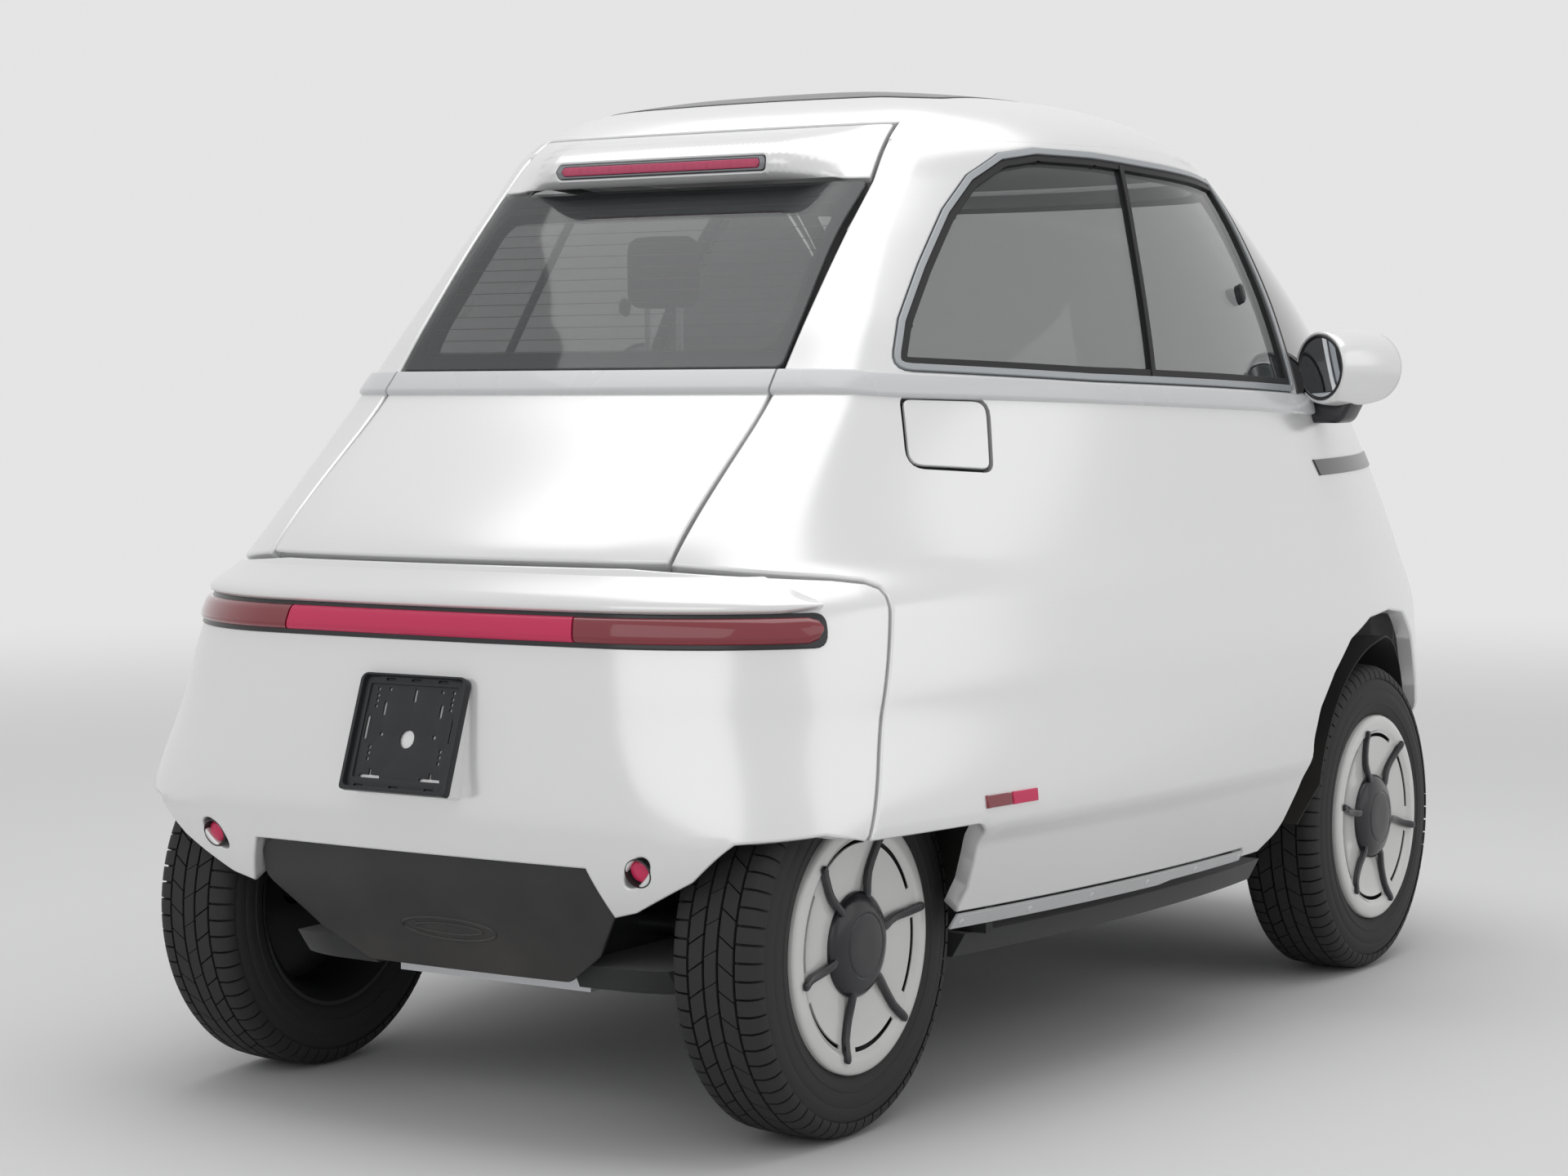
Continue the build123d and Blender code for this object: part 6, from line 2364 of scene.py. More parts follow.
# ---------------------------------------------------------------- mirrors with headlamps
@dataclass
class MirrorPods:
    """White pods beside the door: a round mirror looks back from each, and a headlamp forward."""

    centre: tuple[float, float, float] = (ORIGIN_SHIFT + 1.295, 0.708, 1.050)
    mirror_at: tuple[float, float] = (-0.060, -0.026)
    lamp_at: tuple[float, float] = (0.056, 0.012)
    mirror_turn: float = 25.0
    shell_rows: Sequence[tuple[float, float, float]] = (
        # share of the way to the lamp, radius, step along the pod
        (0, 0.0, 0.0060), (0, 0.0540, 0.0060), (0, 0.0545, 0.0010), (0, 0.0558, 0.0), (0, 0.0580, 0.0005),
        (0, 0.0598, 0.0030), (0.10, 0.0618, 0), (0.22, 0.0634, 0), (0.36, 0.0646, 0), (0.50, 0.0650, 0),
        (0.64, 0.0648, 0), (0.78, 0.0638, 0), (0.90, 0.0620, 0), (1, 0.0600, -0.0020), (1, 0.0585, 0.0010),
        (1, 0.0560, 0.0010), (1, 0.0545, -0.0060), (1, 0.0, -0.0060))

    def shell(self, side: Side) -> tuple[bpy.types.Object, tuple, tuple]:
        """The painted shell, with the places of its mirror and its lamp.

        Args:
            side: The side of the car.

        Returns:
            The shell, and the centre and axis of each glass.
        """
        s = side.value
        middle = Vector((self.centre[0], s * self.centre[1], self.centre[2]))
        turn = math.radians(self.mirror_turn)
        back = middle + Vector((self.mirror_at[0], s * self.mirror_at[1], 0))
        front = middle + Vector((self.lamp_at[0], s * self.lamp_at[1], 0))
        start, end = Vector((math.cos(turn), s * math.sin(turn), 0)), Vector((1, 0, 0))
        vertices, rings = [], []
        for share, radius, step in self.shell_rows:
            ahead = start.lerp(end, share).normalized()
            frame = frame_from(ahead)
            at = back.lerp(front, share) + ahead * step
            if radius == 0:
                rings.append([len(vertices)])
                vertices.append(at)
                continue
            rings.append(list(range(len(vertices), len(vertices) + 56)))
            for k in range(56):
                angle = 2 * math.pi * k / 56
                vertices.append(at + frame @ Vector((radius * math.cos(angle), radius * math.sin(angle), 0)))
        faces = []
        for a, b in zip(rings[:-1], rings[1:]):
            for k in range(56):
                n = (k + 1) % 56
                face = (a[k % len(a)], b[k % len(b)], b[n % len(b)], a[n % len(a)])
                faces.append(tuple(dict.fromkeys(face)))
        made = solid_mesh(f"mirror_shell_{side.word}", vertices, faces, WHITE.material())
        face_out(made)
        shade_by_angle(made, 45)
        return made, (back, -start), (front, end)

    def foot(self, side: Side) -> bpy.types.Object:
        """The glossy foot that stands the pod on the body's shoulder.

        Args:
            side: The side of the car.

        Returns:
            The foot.
        """
        x, y, _ = self.centre
        half = 0.034
        foot = box_piece(f"mirror_foot_{side.word}", (x - half, 0.618, 0.957), (x + half, y + 0.020, 1.004),
                         BLACK_GLOSS.material(), 0.010, 3)
        for vertex in foot.data.vertices:
            lean = (vertex.co.z - 0.957) / 0.047
            vertex.co.x += 0.010 * lean
            vertex.co.y = (vertex.co.y - 0.022 * (1 - lean)) * side.value
        face_out(foot)
        return foot

    def build(self) -> None:
        """Make both pods."""
        for side in Side:
            shell, (back, back_axis), (front, front_axis) = self.shell(side)
            settle(shell, "root", "white_paint", f"mirror_pod_{side.word}")
            rim = turned("rim", [(-0.005, 0.0542), (-0.005, 0.0490), (-0.0010, 0.0490), (0.0004, 0.0505),
                                 (0.0004, 0.0530), (-0.0008, 0.0542)], back, back_axis,
                         BLACK_GLOSS.material(), 56)
            glass = turned("glass", [(-0.0055, 0.0), (-0.0055, 0.0500), (-0.0018, 0.0500), (-0.0012, 0.0300),
                                     (-0.0010, 0.0)], back, back_axis, MIRROR.material(), 56, False)
            settle(joined(f"mirror_glass_{side.word}", [rim, glass]), "root", "glass")
            ring = turned("ring", [(-0.006, 0.0548), (0.004, 0.0560), (0.0085, 0.0545), (0.0100, 0.0520),
                                   (0.0085, 0.0500), (-0.006, 0.0500)], front, front_axis, CHROME.material(),
                          56)
            bowl = turned("bowl", [(-0.0055, 0.0), (-0.0055, 0.0498), (0.0060, 0.0498), (0.0060, 0.0480),
                                   (-0.0010, 0.0380), (-0.0035, 0.0200), (-0.0040, 0.0)], front, front_axis,
                          LAMP_BOWL.material(), 56, False)
            bulb = turned("bulb", [(-0.0045, 0.0), (-0.0045, 0.0150), (0.0030, 0.0140), (0.0055, 0.0090),
                                   (0.0060, 0.0)], front, front_axis, CHROME.material(), 32, False)
            lens = turned("lens", [(0.0062, 0.0), (0.0062, 0.0500), (0.0085, 0.0500), (0.0130, 0.0400),
                                   (0.0160, 0.0220), (0.0170, 0.0)], front, front_axis, LAMP_GLASS.material(),
                          56, False)
            lamp = joined(f"headlamp_{side.word}", [ring, bowl, bulb, lens])
            settle(lamp, "root", "headlamp_lens", *(["headlamps"] if side is Side.LEFT else []))
            settle(self.foot(side), "root", "black_gloss")


# ---------------------------------------------------------------- plate holder
@dataclass
class PlateHolder:
    """Bare holder for a number plate, with its slots and holes."""

    front: tuple[float, float, float] = (ORIGIN_SHIFT - 0.333, 0.0, 0.557)
    axis: tuple[float, float, float] = (-1.0, 0.0, 0.35)
    width: float = 0.186
    height: float = 0.166
    depth: float = 0.052
    frame_depth: float = 0.0125
    middle: float = 0.0025

    def slot(self, x: float, y: float, length: float, wide: float, upright: bool = True) -> Points:
        """Outline of a round-ended slot."""
        size = (wide, length) if upright else (length, wide)
        return [(x + a, y + b) for a, b in rounded_rectangle(*size, wide / 2 * 0.98, 4)]

    def openings(self) -> list[Points]:
        """Every opening of the back plate.

        Returns:
            The outlines.
        """
        mid = self.middle
        found = [self.slot(mid, -0.0063, 0.026, 0.025), self.slot(mid, 0.0550, 0.0190, 0.0050)]
        for sign in (-1, 1):
            found.append(self.slot(mid + sign * 0.0495, 0.0348, 0.0200, 0.0050))
            found.append(self.slot(mid + sign * 0.0745, 0.0068, 0.0340, 0.0052))
            found.append(self.slot(mid + sign * 0.0463, -0.0016, 0.0062, 0.0058))
            for x, y in ((0.0460, 0.0622), (0.0660, 0.0620), (0.0655, 0.0528), (0.0655, 0.0455),
                         (0.0655, 0.0375), (0.0620, -0.0205), (0.0620, -0.0285), (0.0620, -0.0372)):
                found.append(self.slot(mid + sign * x, y, 0.0056, 0.0050))
            wide = [(-0.018, -0.003), (-0.016, -0.0050), (0.016, -0.0050), (0.018, -0.003), (0.018, 0.0),
                    (0.016, 0.0020), (0.002, 0.0020), (0.002, 0.0095), (-0.002, 0.0095), (-0.002, 0.0020),
                    (-0.016, 0.0020), (-0.018, 0.0)]
            found.append([(mid + sign * 0.0528 + a, -0.0610 + b) for a, b in wide])
        return found

    def build(self) -> None:
        """Make the back plate, the step round it and the raised rim with its sockets."""
        half_w, half_h = self.width / 2, self.height / 2
        out = [(half_w - 0.0010, -half_h + 0.002), (half_w, -half_h + 0.005), (half_w, half_h - 0.012)]
        corner = [(half_w - 0.012 + 0.012 * math.cos(a), half_h - 0.012 + 0.012 * math.sin(a))
                  for a in np.linspace(0.15, math.pi / 2, 8)]
        right = [(half_w - 0.003, -half_h), *out, *corner]
        outline = [*right, *[(-x, y) for x, y in reversed(right)]]
        step_hole = [(x, y + 0.0025) for x, y in rounded_rectangle(self.width - 0.030, self.height - 0.033,
                                                                   0.003)]
        rim_hole = [(x, y + 0.001) for x, y in rounded_rectangle(self.width - 0.011, self.height - 0.009,
                                                                 0.007)]
        sockets = []
        for y, xs in ((0.0757, (-0.044, 0.001, 0.048)), (-0.0758, (-0.064, -0.002, 0.060))):
            sockets.extend(self.slot(x, y, 0.0170, 0.0040, upright=False) for x in xs)
        finish = SATIN_BLACK.material()
        axis = Vector(self.axis).normalized()
        at = Vector(self.front)
        inset = outline_inside(outline, 0.0015)
        pieces = [plate_piece("rim", outline, at, axis, self.frame_depth, finish, 0.0015, [rim_hole]),
                  plate_piece("step", inset, at - axis * 0.0070, axis, 0.0030, finish, 0.0004,
                              [step_hole, *sockets]),
                  plate_piece("back", inset, at - axis * 0.0095, axis, 0.0028, finish, 0.0004,
                              self.openings()),
                  plate_piece("pedestal", outline_inside(outline, 0.0030),
                              at - axis * (self.frame_depth + 0.0004), axis,
                              self.depth - self.frame_depth, WHITE.material(), 0.0)]
        settle(joined("plate_frame", pieces), "root", "black_plastic", "plate_holder")


def outline_inside(outline: Points, distance: float) -> list[tuple[float, float]]:
    """An outline about its origin, drawn in by a distance each way."""
    reach = max(abs(x) for x, _ in outline), max(abs(y) for _, y in outline)
    return [(x * (1 - distance / reach[0]), y * (1 - distance / reach[1])) for x, y in outline]


# ---------------------------------------------------------------- sills, liners
@dataclass
class Underside:
    """Sill strips with their screws, and the dark liners in the wheel arches."""

    sill_start: float = 0.190
    sill_end: float = 0.960
    liner_radius: float = 0.315

    def sill(self, side: Side) -> None:
        """The pale strip under the body side and its row of screws.

        Args:
            side: The side of the car.
        """
        x = np.array([self.sill_start, 0.70, 0.735, self.sill_end, self.sill_end, self.sill_start])
        z = np.array([0.2625, 0.2625, 0.2665, 0.2680, 0.2840, 0.2840])
        u = BODY.locate(Face.SIDE, side.value, x, z)
        loop = Loop.flat(list(zip(u, z)), 0.0003)
        strip = Patch(Skin(), [loop], 0.004, depth=-0.0040, roll=0.0012, grid=0.03, grid_up=0.01)
        piece = strip.build("strip", SILL_GREY.material())
        spots = [(0.205, 0.273), (0.355, 0.273), (0.505, 0.274), (0.655, 0.274), (0.800, 0.276),
                 (0.945, 0.277)]
        at = skin_points(Skin(), Face.SIDE, spots, 0.0038, side.value)
        flat = np.array(spots)
        outs = Skin().normal(BODY.locate(Face.SIDE, side.value, flat[:, 0], flat[:, 1]), flat[:, 1])
        screws = set_out("screws", screw_shape(0.0052, WHITE_TRIM), at, outs, WHITE_TRIM.material())
        nodes = ["sills"] if side is Side.LEFT else []
        settle(joined(f"sill_strip_{side.word}", [piece, screws]), "root", "grey_sill", *nodes)

    def half_width(self, x: float, z: float) -> float:
        """Distance of the body's skin from the middle plane at a place along the car."""
        at = BODY.plan(np.linspace(0, HALF_ROUND, 400), np.full(400, max(z, 0.195)))
        return float(np.interp(x, at[:, 0], at[:, 1], left=0.0, right=0.0))

    def liner(self, name: str, centre: Sequence[float], inner_y: float, outer_y: float, start: float,
              stop: float) -> None:
        """A wheel's liner: an arch over the tyre with a wall on its inner side, kept inside the skin.

        Args:
            name: The liner's name.
            centre: The wheel's middle.
            inner_y: Distance of its inner wall from the middle plane.
            outer_y: Distance of its open side.
            start: Angle where the arch begins, in degrees from ahead.
            stop: Angle where it ends.
        """
        sign = math.copysign(1, centre[1])
        wall, margin = 0.003, 0.022
        mesh = bmesh.new()
        rows: list[list[bmesh.types.BMVert]] = [[], [], []]
        for angle in np.radians(np.linspace(start, stop, 41)):
            for row, y, radius in ((0, outer_y, self.liner_radius), (1, inner_y, self.liner_radius),
                                   (2, inner_y, 0.20)):
                x, z = centre[0] + radius * math.cos(angle), centre[2] + radius * math.sin(angle)
                reach = min(y, max(self.half_width(x, z) - margin, inner_y + 0.001 * (row == 0)))
                rows[row].append(mesh.verts.new((x, sign * reach, z)))
        angles = rows[0]
        for a, b in zip(rows[:-1], rows[1:]):
            for k in range(len(angles) - 1):
                mesh.faces.new((a[k], a[k + 1], b[k + 1], b[k]))
        bmesh.ops.recalc_face_normals(mesh, faces=mesh.faces)
        bmesh.ops.solidify(mesh, geom=list(mesh.faces), thickness=wall)
        bmesh.ops.recalc_face_normals(mesh, faces=mesh.faces)
        made = bpy.data.objects.new(name, bpy.data.meshes.new(name))
        mesh.to_mesh(made.data)
        mesh.free()
        made.data.materials.append(LINER.material())
        bpy.context.scene.collection.objects.link(made)
        shade_by_angle(made, 40)
        settle(made, "root", "black_plastic")

    def build(self) -> None:
        """Make everything low on the body."""
        for side in Side:
            self.sill(side)
            front = (ORIGIN_SHIFT + WHEELBASE, side.value * FRONT_HALF_TRACK, AXLE_HEIGHT)
            rear = (ORIGIN_SHIFT, side.value * REAR_HALF_TRACK, AXLE_HEIGHT)
            self.liner(f"front_liner_{side.word}", front, 0.345, 0.664, 4, 176)
            self.liner(f"rear_liner_{side.word}", rear, 0.350, 0.560, 2, 148)


def screw_shape(radius: float, finish: Finish) -> bpy.types.Object:
    """A pan-head screw with a six-sided socket, standing on its origin.

    Args:
        radius: Its radius.
        finish: Its finish.

    Returns:
        The screw.
    """
    profile = [(-0.001, 0.0), (-0.001, radius), (0.0006, radius), (0.0018, radius * 0.75),
               (0.0022, radius * 0.45), (0.0010, radius * 0.38), (0.0010, 0.0)]
    return turned("screw", profile, (0, 0, 0), (0, 0, 1), finish.material(), 12, False)


# ---------------------------------------------------------------- cabin
def baked(piece: bpy.types.Object) -> None:
    """Turn a piece's modifiers into its plain mesh.

    Args:
        piece: The object to work on.
    """
    mesh = bpy.data.meshes.new_from_object(piece.evaluated_get(bpy.context.evaluated_depsgraph_get()))
    piece.modifiers.clear()
    piece.data = mesh


def swell(piece: bpy.types.Object, voxel: float, cap: float, pressure: float = 4.0) -> None:
    """Swell a closed shape into a stuffed one by cloth simulation.

    Args:
        piece: The shape, a little smaller than the pad.
        voxel: Size of the cloth's faces.
        cap: Farthest that a point may move.
        pressure: Pressure inside.
    """
    remesh = piece.modifiers.new("remesh", "REMESH")
    remesh.mode, remesh.voxel_size = "VOXEL", voxel
    baked(piece)
    before = np.empty(len(piece.data.vertices) * 3)
    piece.data.vertices.foreach_get("co", before)
    cloth = piece.modifiers.new("cloth", "CLOTH")
    cloth.settings.use_pressure = True
    cloth.settings.uniform_pressure_force = pressure
    cloth.settings.effector_weights.gravity = 0
    cloth.settings.quality = 5
    cloth.point_cache.frame_start, cloth.point_cache.frame_end = 1, 20
    for frame in range(1, 21):
        bpy.context.scene.frame_set(frame)
    baked(piece)
    bpy.context.scene.frame_set(1)
    after = np.empty(len(before))
    piece.data.vertices.foreach_get("co", after)
    before, after = before.reshape(-1, 3), after.reshape(-1, 3)
    moved = after - before
    far = np.maximum(np.linalg.norm(moved, axis=1, keepdims=True), 1e-9)
    piece.data.vertices.foreach_set("co", (before + moved * np.minimum(1.0, cap / far)).ravel())
    piece.data.update()


def sew(piece: bpy.types.Object, seams: Sequence[float], depth: float, width: float) -> None:
    """Draw a pad in along seams at distances across the car, then smooth it once.

    Args:
        piece: The object to work on.
        seams: Places of the seams across the car.
        depth: Depth of a seam.
        width: Width of a seam.
    """
    mesh = bmesh.new()
    mesh.from_mesh(piece.data)
    mesh.normal_update()
    shifts = []
    for vertex in mesh.verts:
        draw = max((math.exp(-((vertex.co.y - y) / width) ** 2) for y in seams), default=0.0)
        shifts.append(vertex.normal * (-depth * draw))
    for vertex, shift in zip(mesh.verts, shifts):
        vertex.co += shift
    mesh.to_mesh(piece.data)
    mesh.free()
    smooth_it = piece.modifiers.new("subdivision", "SUBSURF")
    smooth_it.levels = smooth_it.render_levels = 1
    baked(piece)
    piece.data.polygons.foreach_set("use_smooth", [True] * len(piece.data.polygons))


@dataclass
class Seats:
    """Bench seat in two places, with its back and two headrests on chrome posts."""

    front: float = ORIGIN_SHIFT + 1.020
    rear: float = ORIGIN_SHIFT + 0.520
    cushion: tuple[float, float] = (0.2400, 0.5300)
    back: tuple[float, float] = (0.5450, 1.0720)
    half: float = 0.530
    shrink: float = 0.014
    seams: tuple[float, ...] = (-0.345, -0.165, 0.0, 0.165, 0.345)
    cloth: tuple[float, float, float] = (0.030, 0.031, 0.034)

    def pad(self, name: str, low: Sequence[float], high: Sequence[float], bevel: float,
            material: bpy.types.Material) -> bpy.types.Object:
        """A block that is ready to swell."""
        return box_piece(name, [v + self.shrink for v in low], [v - self.shrink for v in high], material,
                         bevel, 4)

    def stitches(self, piece: bpy.types.Object, ahead: Vector, reach: float, low: float,
                 high: float) -> bpy.types.Object:
        """Pale stitching beside each seam, on the side of a pad that a direction looks at.

        Args:
            piece: The object to work on.
            ahead: The way that the rays go.
            reach: Where the rays start.
            low: First place along the seam.
            high: Last place along the seam.

        Returns:
            The stitches, as one object.
        """
        places, outs = [], []
        bpy.context.view_layer.update()
        rows = [y + step for y in self.seams for step in (-0.0065, 0.0065)]
        for y in rows:
            for along in np.arange(low, high, 0.0075):
                start = Vector((reach, y, along)) if ahead.x else Vector((along, y, reach))
                hit, at, normal, _ = piece.ray_cast(start, ahead)
                if hit:
                    places.append(at + normal * 0.0002)
                    outs.append(normal)
        thread = box_piece("thread", (-0.0024, -0.0005, -0.0004), (0.0024, 0.0005, 0.0005), STITCH.material(),
                           0.0002, 1)
        return set_out(f"{piece.name}_stitches", thread, places, outs, STITCH.material())

    def build(self) -> None:
        """Make the seat."""
        weave = weave_material("seat_weave", self.cloth, 420.0)
        cushion = self.pad("seat_pad", (self.rear, -self.half, self.cushion[0]),
                           (self.front, self.half, self.cushion[1]), 0.045, weave)
        swell(cushion, voxel=0.012, cap=0.022)
        sew(cushion, self.seams, depth=0.010, width=0.009)
        settle(cushion, "root", "seat_foam", "seat_cushion")
        back = self.pad("seat_back_pad", (self.rear + 0.004, -0.490, self.back[0]),
                        (self.rear + 0.136, 0.490, self.back[1]), 0.035, weave)
        swell(back, voxel=0.011, cap=0.018)
        sew(back, self.seams, depth=0.008, width=0.009)
        for vertex in back.data.vertices:
            share = (vertex.co.z - self.back[0]) / (self.back[1] - self.back[0])
            low, high = self.rear + 0.036 * share, self.rear + 0.140 - 0.024 * share
            vertex.co.x = low + (vertex.co.x - self.rear) / 0.140 * (high - low)
        back.data.update()
        settle(back, "root", "seat_foam", "seat_backrest")
        settle(self.stitches(back, Vector((1, 0, 0)), self.rear - 0.2, 0.60, 1.04), "root", "seat_foam")
        settle(self.stitches(cushion, Vector((0, 0, -1)), 0.8, self.rear + 0.05, self.front - 0.04), "root",
               "seat_foam")
        for side in Side:
            self.headrest(side, weave)

    def headrest(self, side: Side, weave: bpy.types.Material) -> None:
        """A rounded pad on two chrome posts with collars.

        Args:
            side: The side of the car.
            weave: The cloth.
        """
        x, y = ORIGIN_SHIFT + 0.600, side.value * 0.200
        half_depth, half_width, bottom, top = 0.036, 0.082, 1.141, 1.288
        rest = self.pad(f"headrest_{side.word}", (x - half_depth, y - half_width, bottom),
                        (x + half_depth, y + half_width, top), 0.022, weave)
        swell(rest, voxel=0.006, cap=0.012)
        sew(rest, (), depth=0.0, width=0.01)
        posts = []
        for step in (-0.032, 0.032):
            posts.append(turned("post", [(-0.030, 0.0), (-0.030, 0.0058), (0.085, 0.0058), (0.085, 0.0)],
                                (x, y + step, 1.075), (0, 0, 1), CHROME.material(), 20, False))
            posts.append(turned("collar", [(-0.006, 0.0), (-0.006, 0.0120), (0.003, 0.0115), (0.0055, 0.0085),
                                           (0.0055, 0.0)], (x, y + step, 1.072), (0, 0, 1),
                                MATT_BLACK.material(), 20, False))
        settle(rest, "root", "seat_foam", *(["headrests"] if side is Side.LEFT else []))
        settle(joined(f"headrest_posts_{side.word}", posts), "root", "painted_steel")


@dataclass
class Cockpit:
    """Steering wheel, the beam across the inside of the door with its instruments, and dark grey sheets of
    painted shade inside the body sides.
    """

    wheel_at: tuple[float, float, float] = (ORIGIN_SHIFT + 1.250, 0.260, 0.880)
    wheel_axis: tuple[float, float, float] = (-math.cos(math.radians(28)), 0.0, math.sin(math.radians(28)))
    ring: float = 0.175
    tube: float = 0.0138

    def steering_wheel(self) -> None:
        """Ring, three spokes and a padded hub."""
        angles = [2 * math.pi * k / 14 for k in range(14)]
        profile = [(self.tube * math.sin(a), self.ring + self.tube * math.cos(a)) for a in angles]
        pieces = [turned("ring", profile, (0, 0, 0), (0, 0, 1), MATT_BLACK.material(), 72)]
        hub = [(-0.029, 0.0), (-0.029, 0.0400), (0.000, 0.0445), (0.006, 0.0430), (0.0095, 0.0340),
               (0.0100, 0.0)]
        pieces.append(turned("hub", hub, (0, 0, 0), (0, 0, 1), SATIN_BLACK.material(), 40, False))
        for angle in (0.0, math.pi, -math.pi / 2):
            stations = [(r, 0.0, z, w, 0.0060) for r, z, w in
                        ((0.030, -0.008, 0.020), (0.070, -0.006, 0.0145), (0.120, -0.002, 0.0125),
                         (0.168, 0.0, 0.0150))]
            spoke = bar_piece("spoke", stations, SATIN_BLACK.material())
            spoke.data.transform(Matrix.Rotation(angle, 4, "Z"))
            pieces.append(spoke)
        wheel = joined("steering_ring", pieces)
        settle(placed(wheel, self.wheel_at, self.wheel_axis), "steering_wheel", "steering_rubber",
               "steering_wheel")

    def beam(self) -> None:
        """The padded beam that follows the inside of the door, with a screen and a round clock."""
        vertices, faces = [], []
        ys = np.linspace(-0.455, 0.455, 41)
        front_z, back_z = 0.935, 0.930
        u = BODY.locate(Face.NOSE, 1, np.abs(ys), np.full_like(ys, front_z))
        front = BODY.plan(u, np.full_like(ys, front_z))[:, 0] - 0.030
        for y, x in zip(ys, front):
            back = x - 0.120 - 0.030 * math.cos(y * 3.2)
            section = [(x, front_z - 0.030), (x - 0.006, front_z + 0.022), (x - 0.030, front_z + 0.034),
                       (back + 0.030, back_z + 0.034), (back + 0.006, back_z + 0.022), (back, back_z),
                       (back + 0.008, back_z - 0.026), (back + 0.034, back_z - 0.038),
                       (x - 0.020, front_z - 0.038)]
            vertices.extend((a, y, b) for a, b in section)
        size, count = 9, len(ys)
        for row in range(count - 1):
            for k in range(size):
                n = (k + 1) % size
                faces.append((row * size + k, row * size + n, (row + 1) * size + n, (row + 1) * size + k))
        faces.extend([tuple(range(size)), tuple(range((count - 1) * size, count * size))])
        beam = solid_mesh("beam", vertices, faces, CABIN_GREY.material())
        face_out(beam)
        shade_by_angle(beam, 40)
        middle = front[20]
        screen = box_piece("screen", (middle - 0.150, -0.110, 0.955), (middle - 0.136, 0.110, 1.050),
                           BLACK_GLOSS.material(), 0.004)
        screen_foot = box_piece("screen_foot", (middle - 0.150, -0.040, 0.945),
                                (middle - 0.110, 0.040, 0.975), SATIN_BLACK.material(), 0.006)
        at, back = (float(front[6]) - 0.090, -0.330, 1.012), (-1, 0, 0.12)
        clock = [turned("clock", [(-0.022, 0.0), (-0.022, 0.0400), (-0.004, 0.0470), (0.002, 0.0480),
                                  (0.002, 0.0)], at,
                        back, SATIN_BLACK.material(), 48, False),
                 turned("clock_rim", [(0.0, 0.0450), (0.0, 0.0495), (0.0040, 0.0490), (0.0055, 0.0470),
                                      (0.0040, 0.0450)],
                        at, back, CHROME.material(), 48),
                 turned("clock_face", [(0.0015, 0.0), (0.0015, 0.0452), (0.0034, 0.0440), (0.0036, 0.0)], at,
                        back, MIRROR.material(), 48, False),
                 box_piece("clock_foot", (at[0] - 0.004, at[1] - 0.020, 0.945),
                           (at[0] + 0.022, at[1] + 0.020, 0.985), SATIN_BLACK.material(), 0.005)]
        settle(joined("door_beam", [beam, screen, screen_foot, *clock]), "front_door", "black_plastic")

    def trims(self) -> None:
        """Dark grey sheets inside the body sides below the glass: painted shade for the dim cabin seen
        through the windows.
        """
        for side in Side:
            x = np.array([-0.020, 0.300, 1.000, 1.160, 1.160, 0.0])
            z = np.array([0.600, 0.420, 0.420, 0.560, 0.990, 0.990])
            loop = Loop.flat(list(zip(BODY.locate(Face.SIDE, side.value, x, z), z)), 0.0003)
            # A dark grey sheet set in behind the skin stands in for the cabin's shade.
            trim = Patch(Skin(), [loop], 0.005, depth=0.022, roll=0.002, grid=0.05, grid_up=0.05)
            settle(trim.build(f"side_trim_{side.word}", CABIN_GREY.material()), "root", "black_plastic")

    def build(self) -> None:
        """Make everything round the driver."""
        self.steering_wheel()
        self.beam()
        self.trims()


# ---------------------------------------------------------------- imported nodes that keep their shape
SLOT_FINISHES = {
    "white_paint": WHITE, "black_gloss": BLACK_GLOSS, "black_plastic": SATIN_BLACK, "glass": WINDOW_GLASS,
    "headlamp_lens": LAMP_GLASS, "red_lens": RED_LENS, "grey_sill": SILL_GREY, "battery_case": DARK_STEEL,
    "cast_aluminium": ALUMINIUM, "seat_foam": CABIN_GREY, "steering_rubber": MATT_BLACK,
    "painted_steel": DARK_STEEL, "tyre_rubber": TYRE, "rim_steel": RIM_STEEL, "white_cover": COVER_WHITE,
    "black_cap": BLACK_GLOSS,
}
NODE_FINISHES = {
    "floor_pan": CARPET, "steering_column": CABIN_GREY, "knuckle_left": STEEL, "knuckle_right": STEEL,
    "strut_left": STEEL, "strut_right": STEEL, "charge_inlet": MATT_BLACK,
}


def dress_nodes(frame: dict) -> None:
    """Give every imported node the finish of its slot, or its own.

    Args:
        frame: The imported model.
    """
    slots = {part["node"]: part["material_slot"] for part in frame["record"]["subparts"]}
    for name, piece in frame["nodes"].items():
        finish = NODE_FINISHES.get(name) or SLOT_FINISHES[slots[name]]
        piece.data.materials.clear()
        piece.data.materials.append(finish.material())


# ---------------------------------------------------------------- stage
def seen_by_eye(nodes: bpy.types.Nodes, link: Callable) -> bpy.types.NodeSocket:
    """Value that is one for rays from the camera, from glossy surfaces and through glass.

    Args:
        nodes: The tree's nodes.
        link: Makes a link in the tree.

    Returns:
        The socket that carries the value.
    """
    path = nodes.new("ShaderNodeLightPath")
    first = nodes.new("ShaderNodeMath")
    second = nodes.new("ShaderNodeMath")
    first.operation = second.operation = "MAXIMUM"
    link(path.outputs["Is Camera Ray"], first.inputs[0])
    link(path.outputs["Is Glossy Ray"], first.inputs[1])
    link(first.outputs[0], second.inputs[0])
    link(path.outputs["Is Transmission Ray"], second.inputs[1])
    return second.outputs[0]


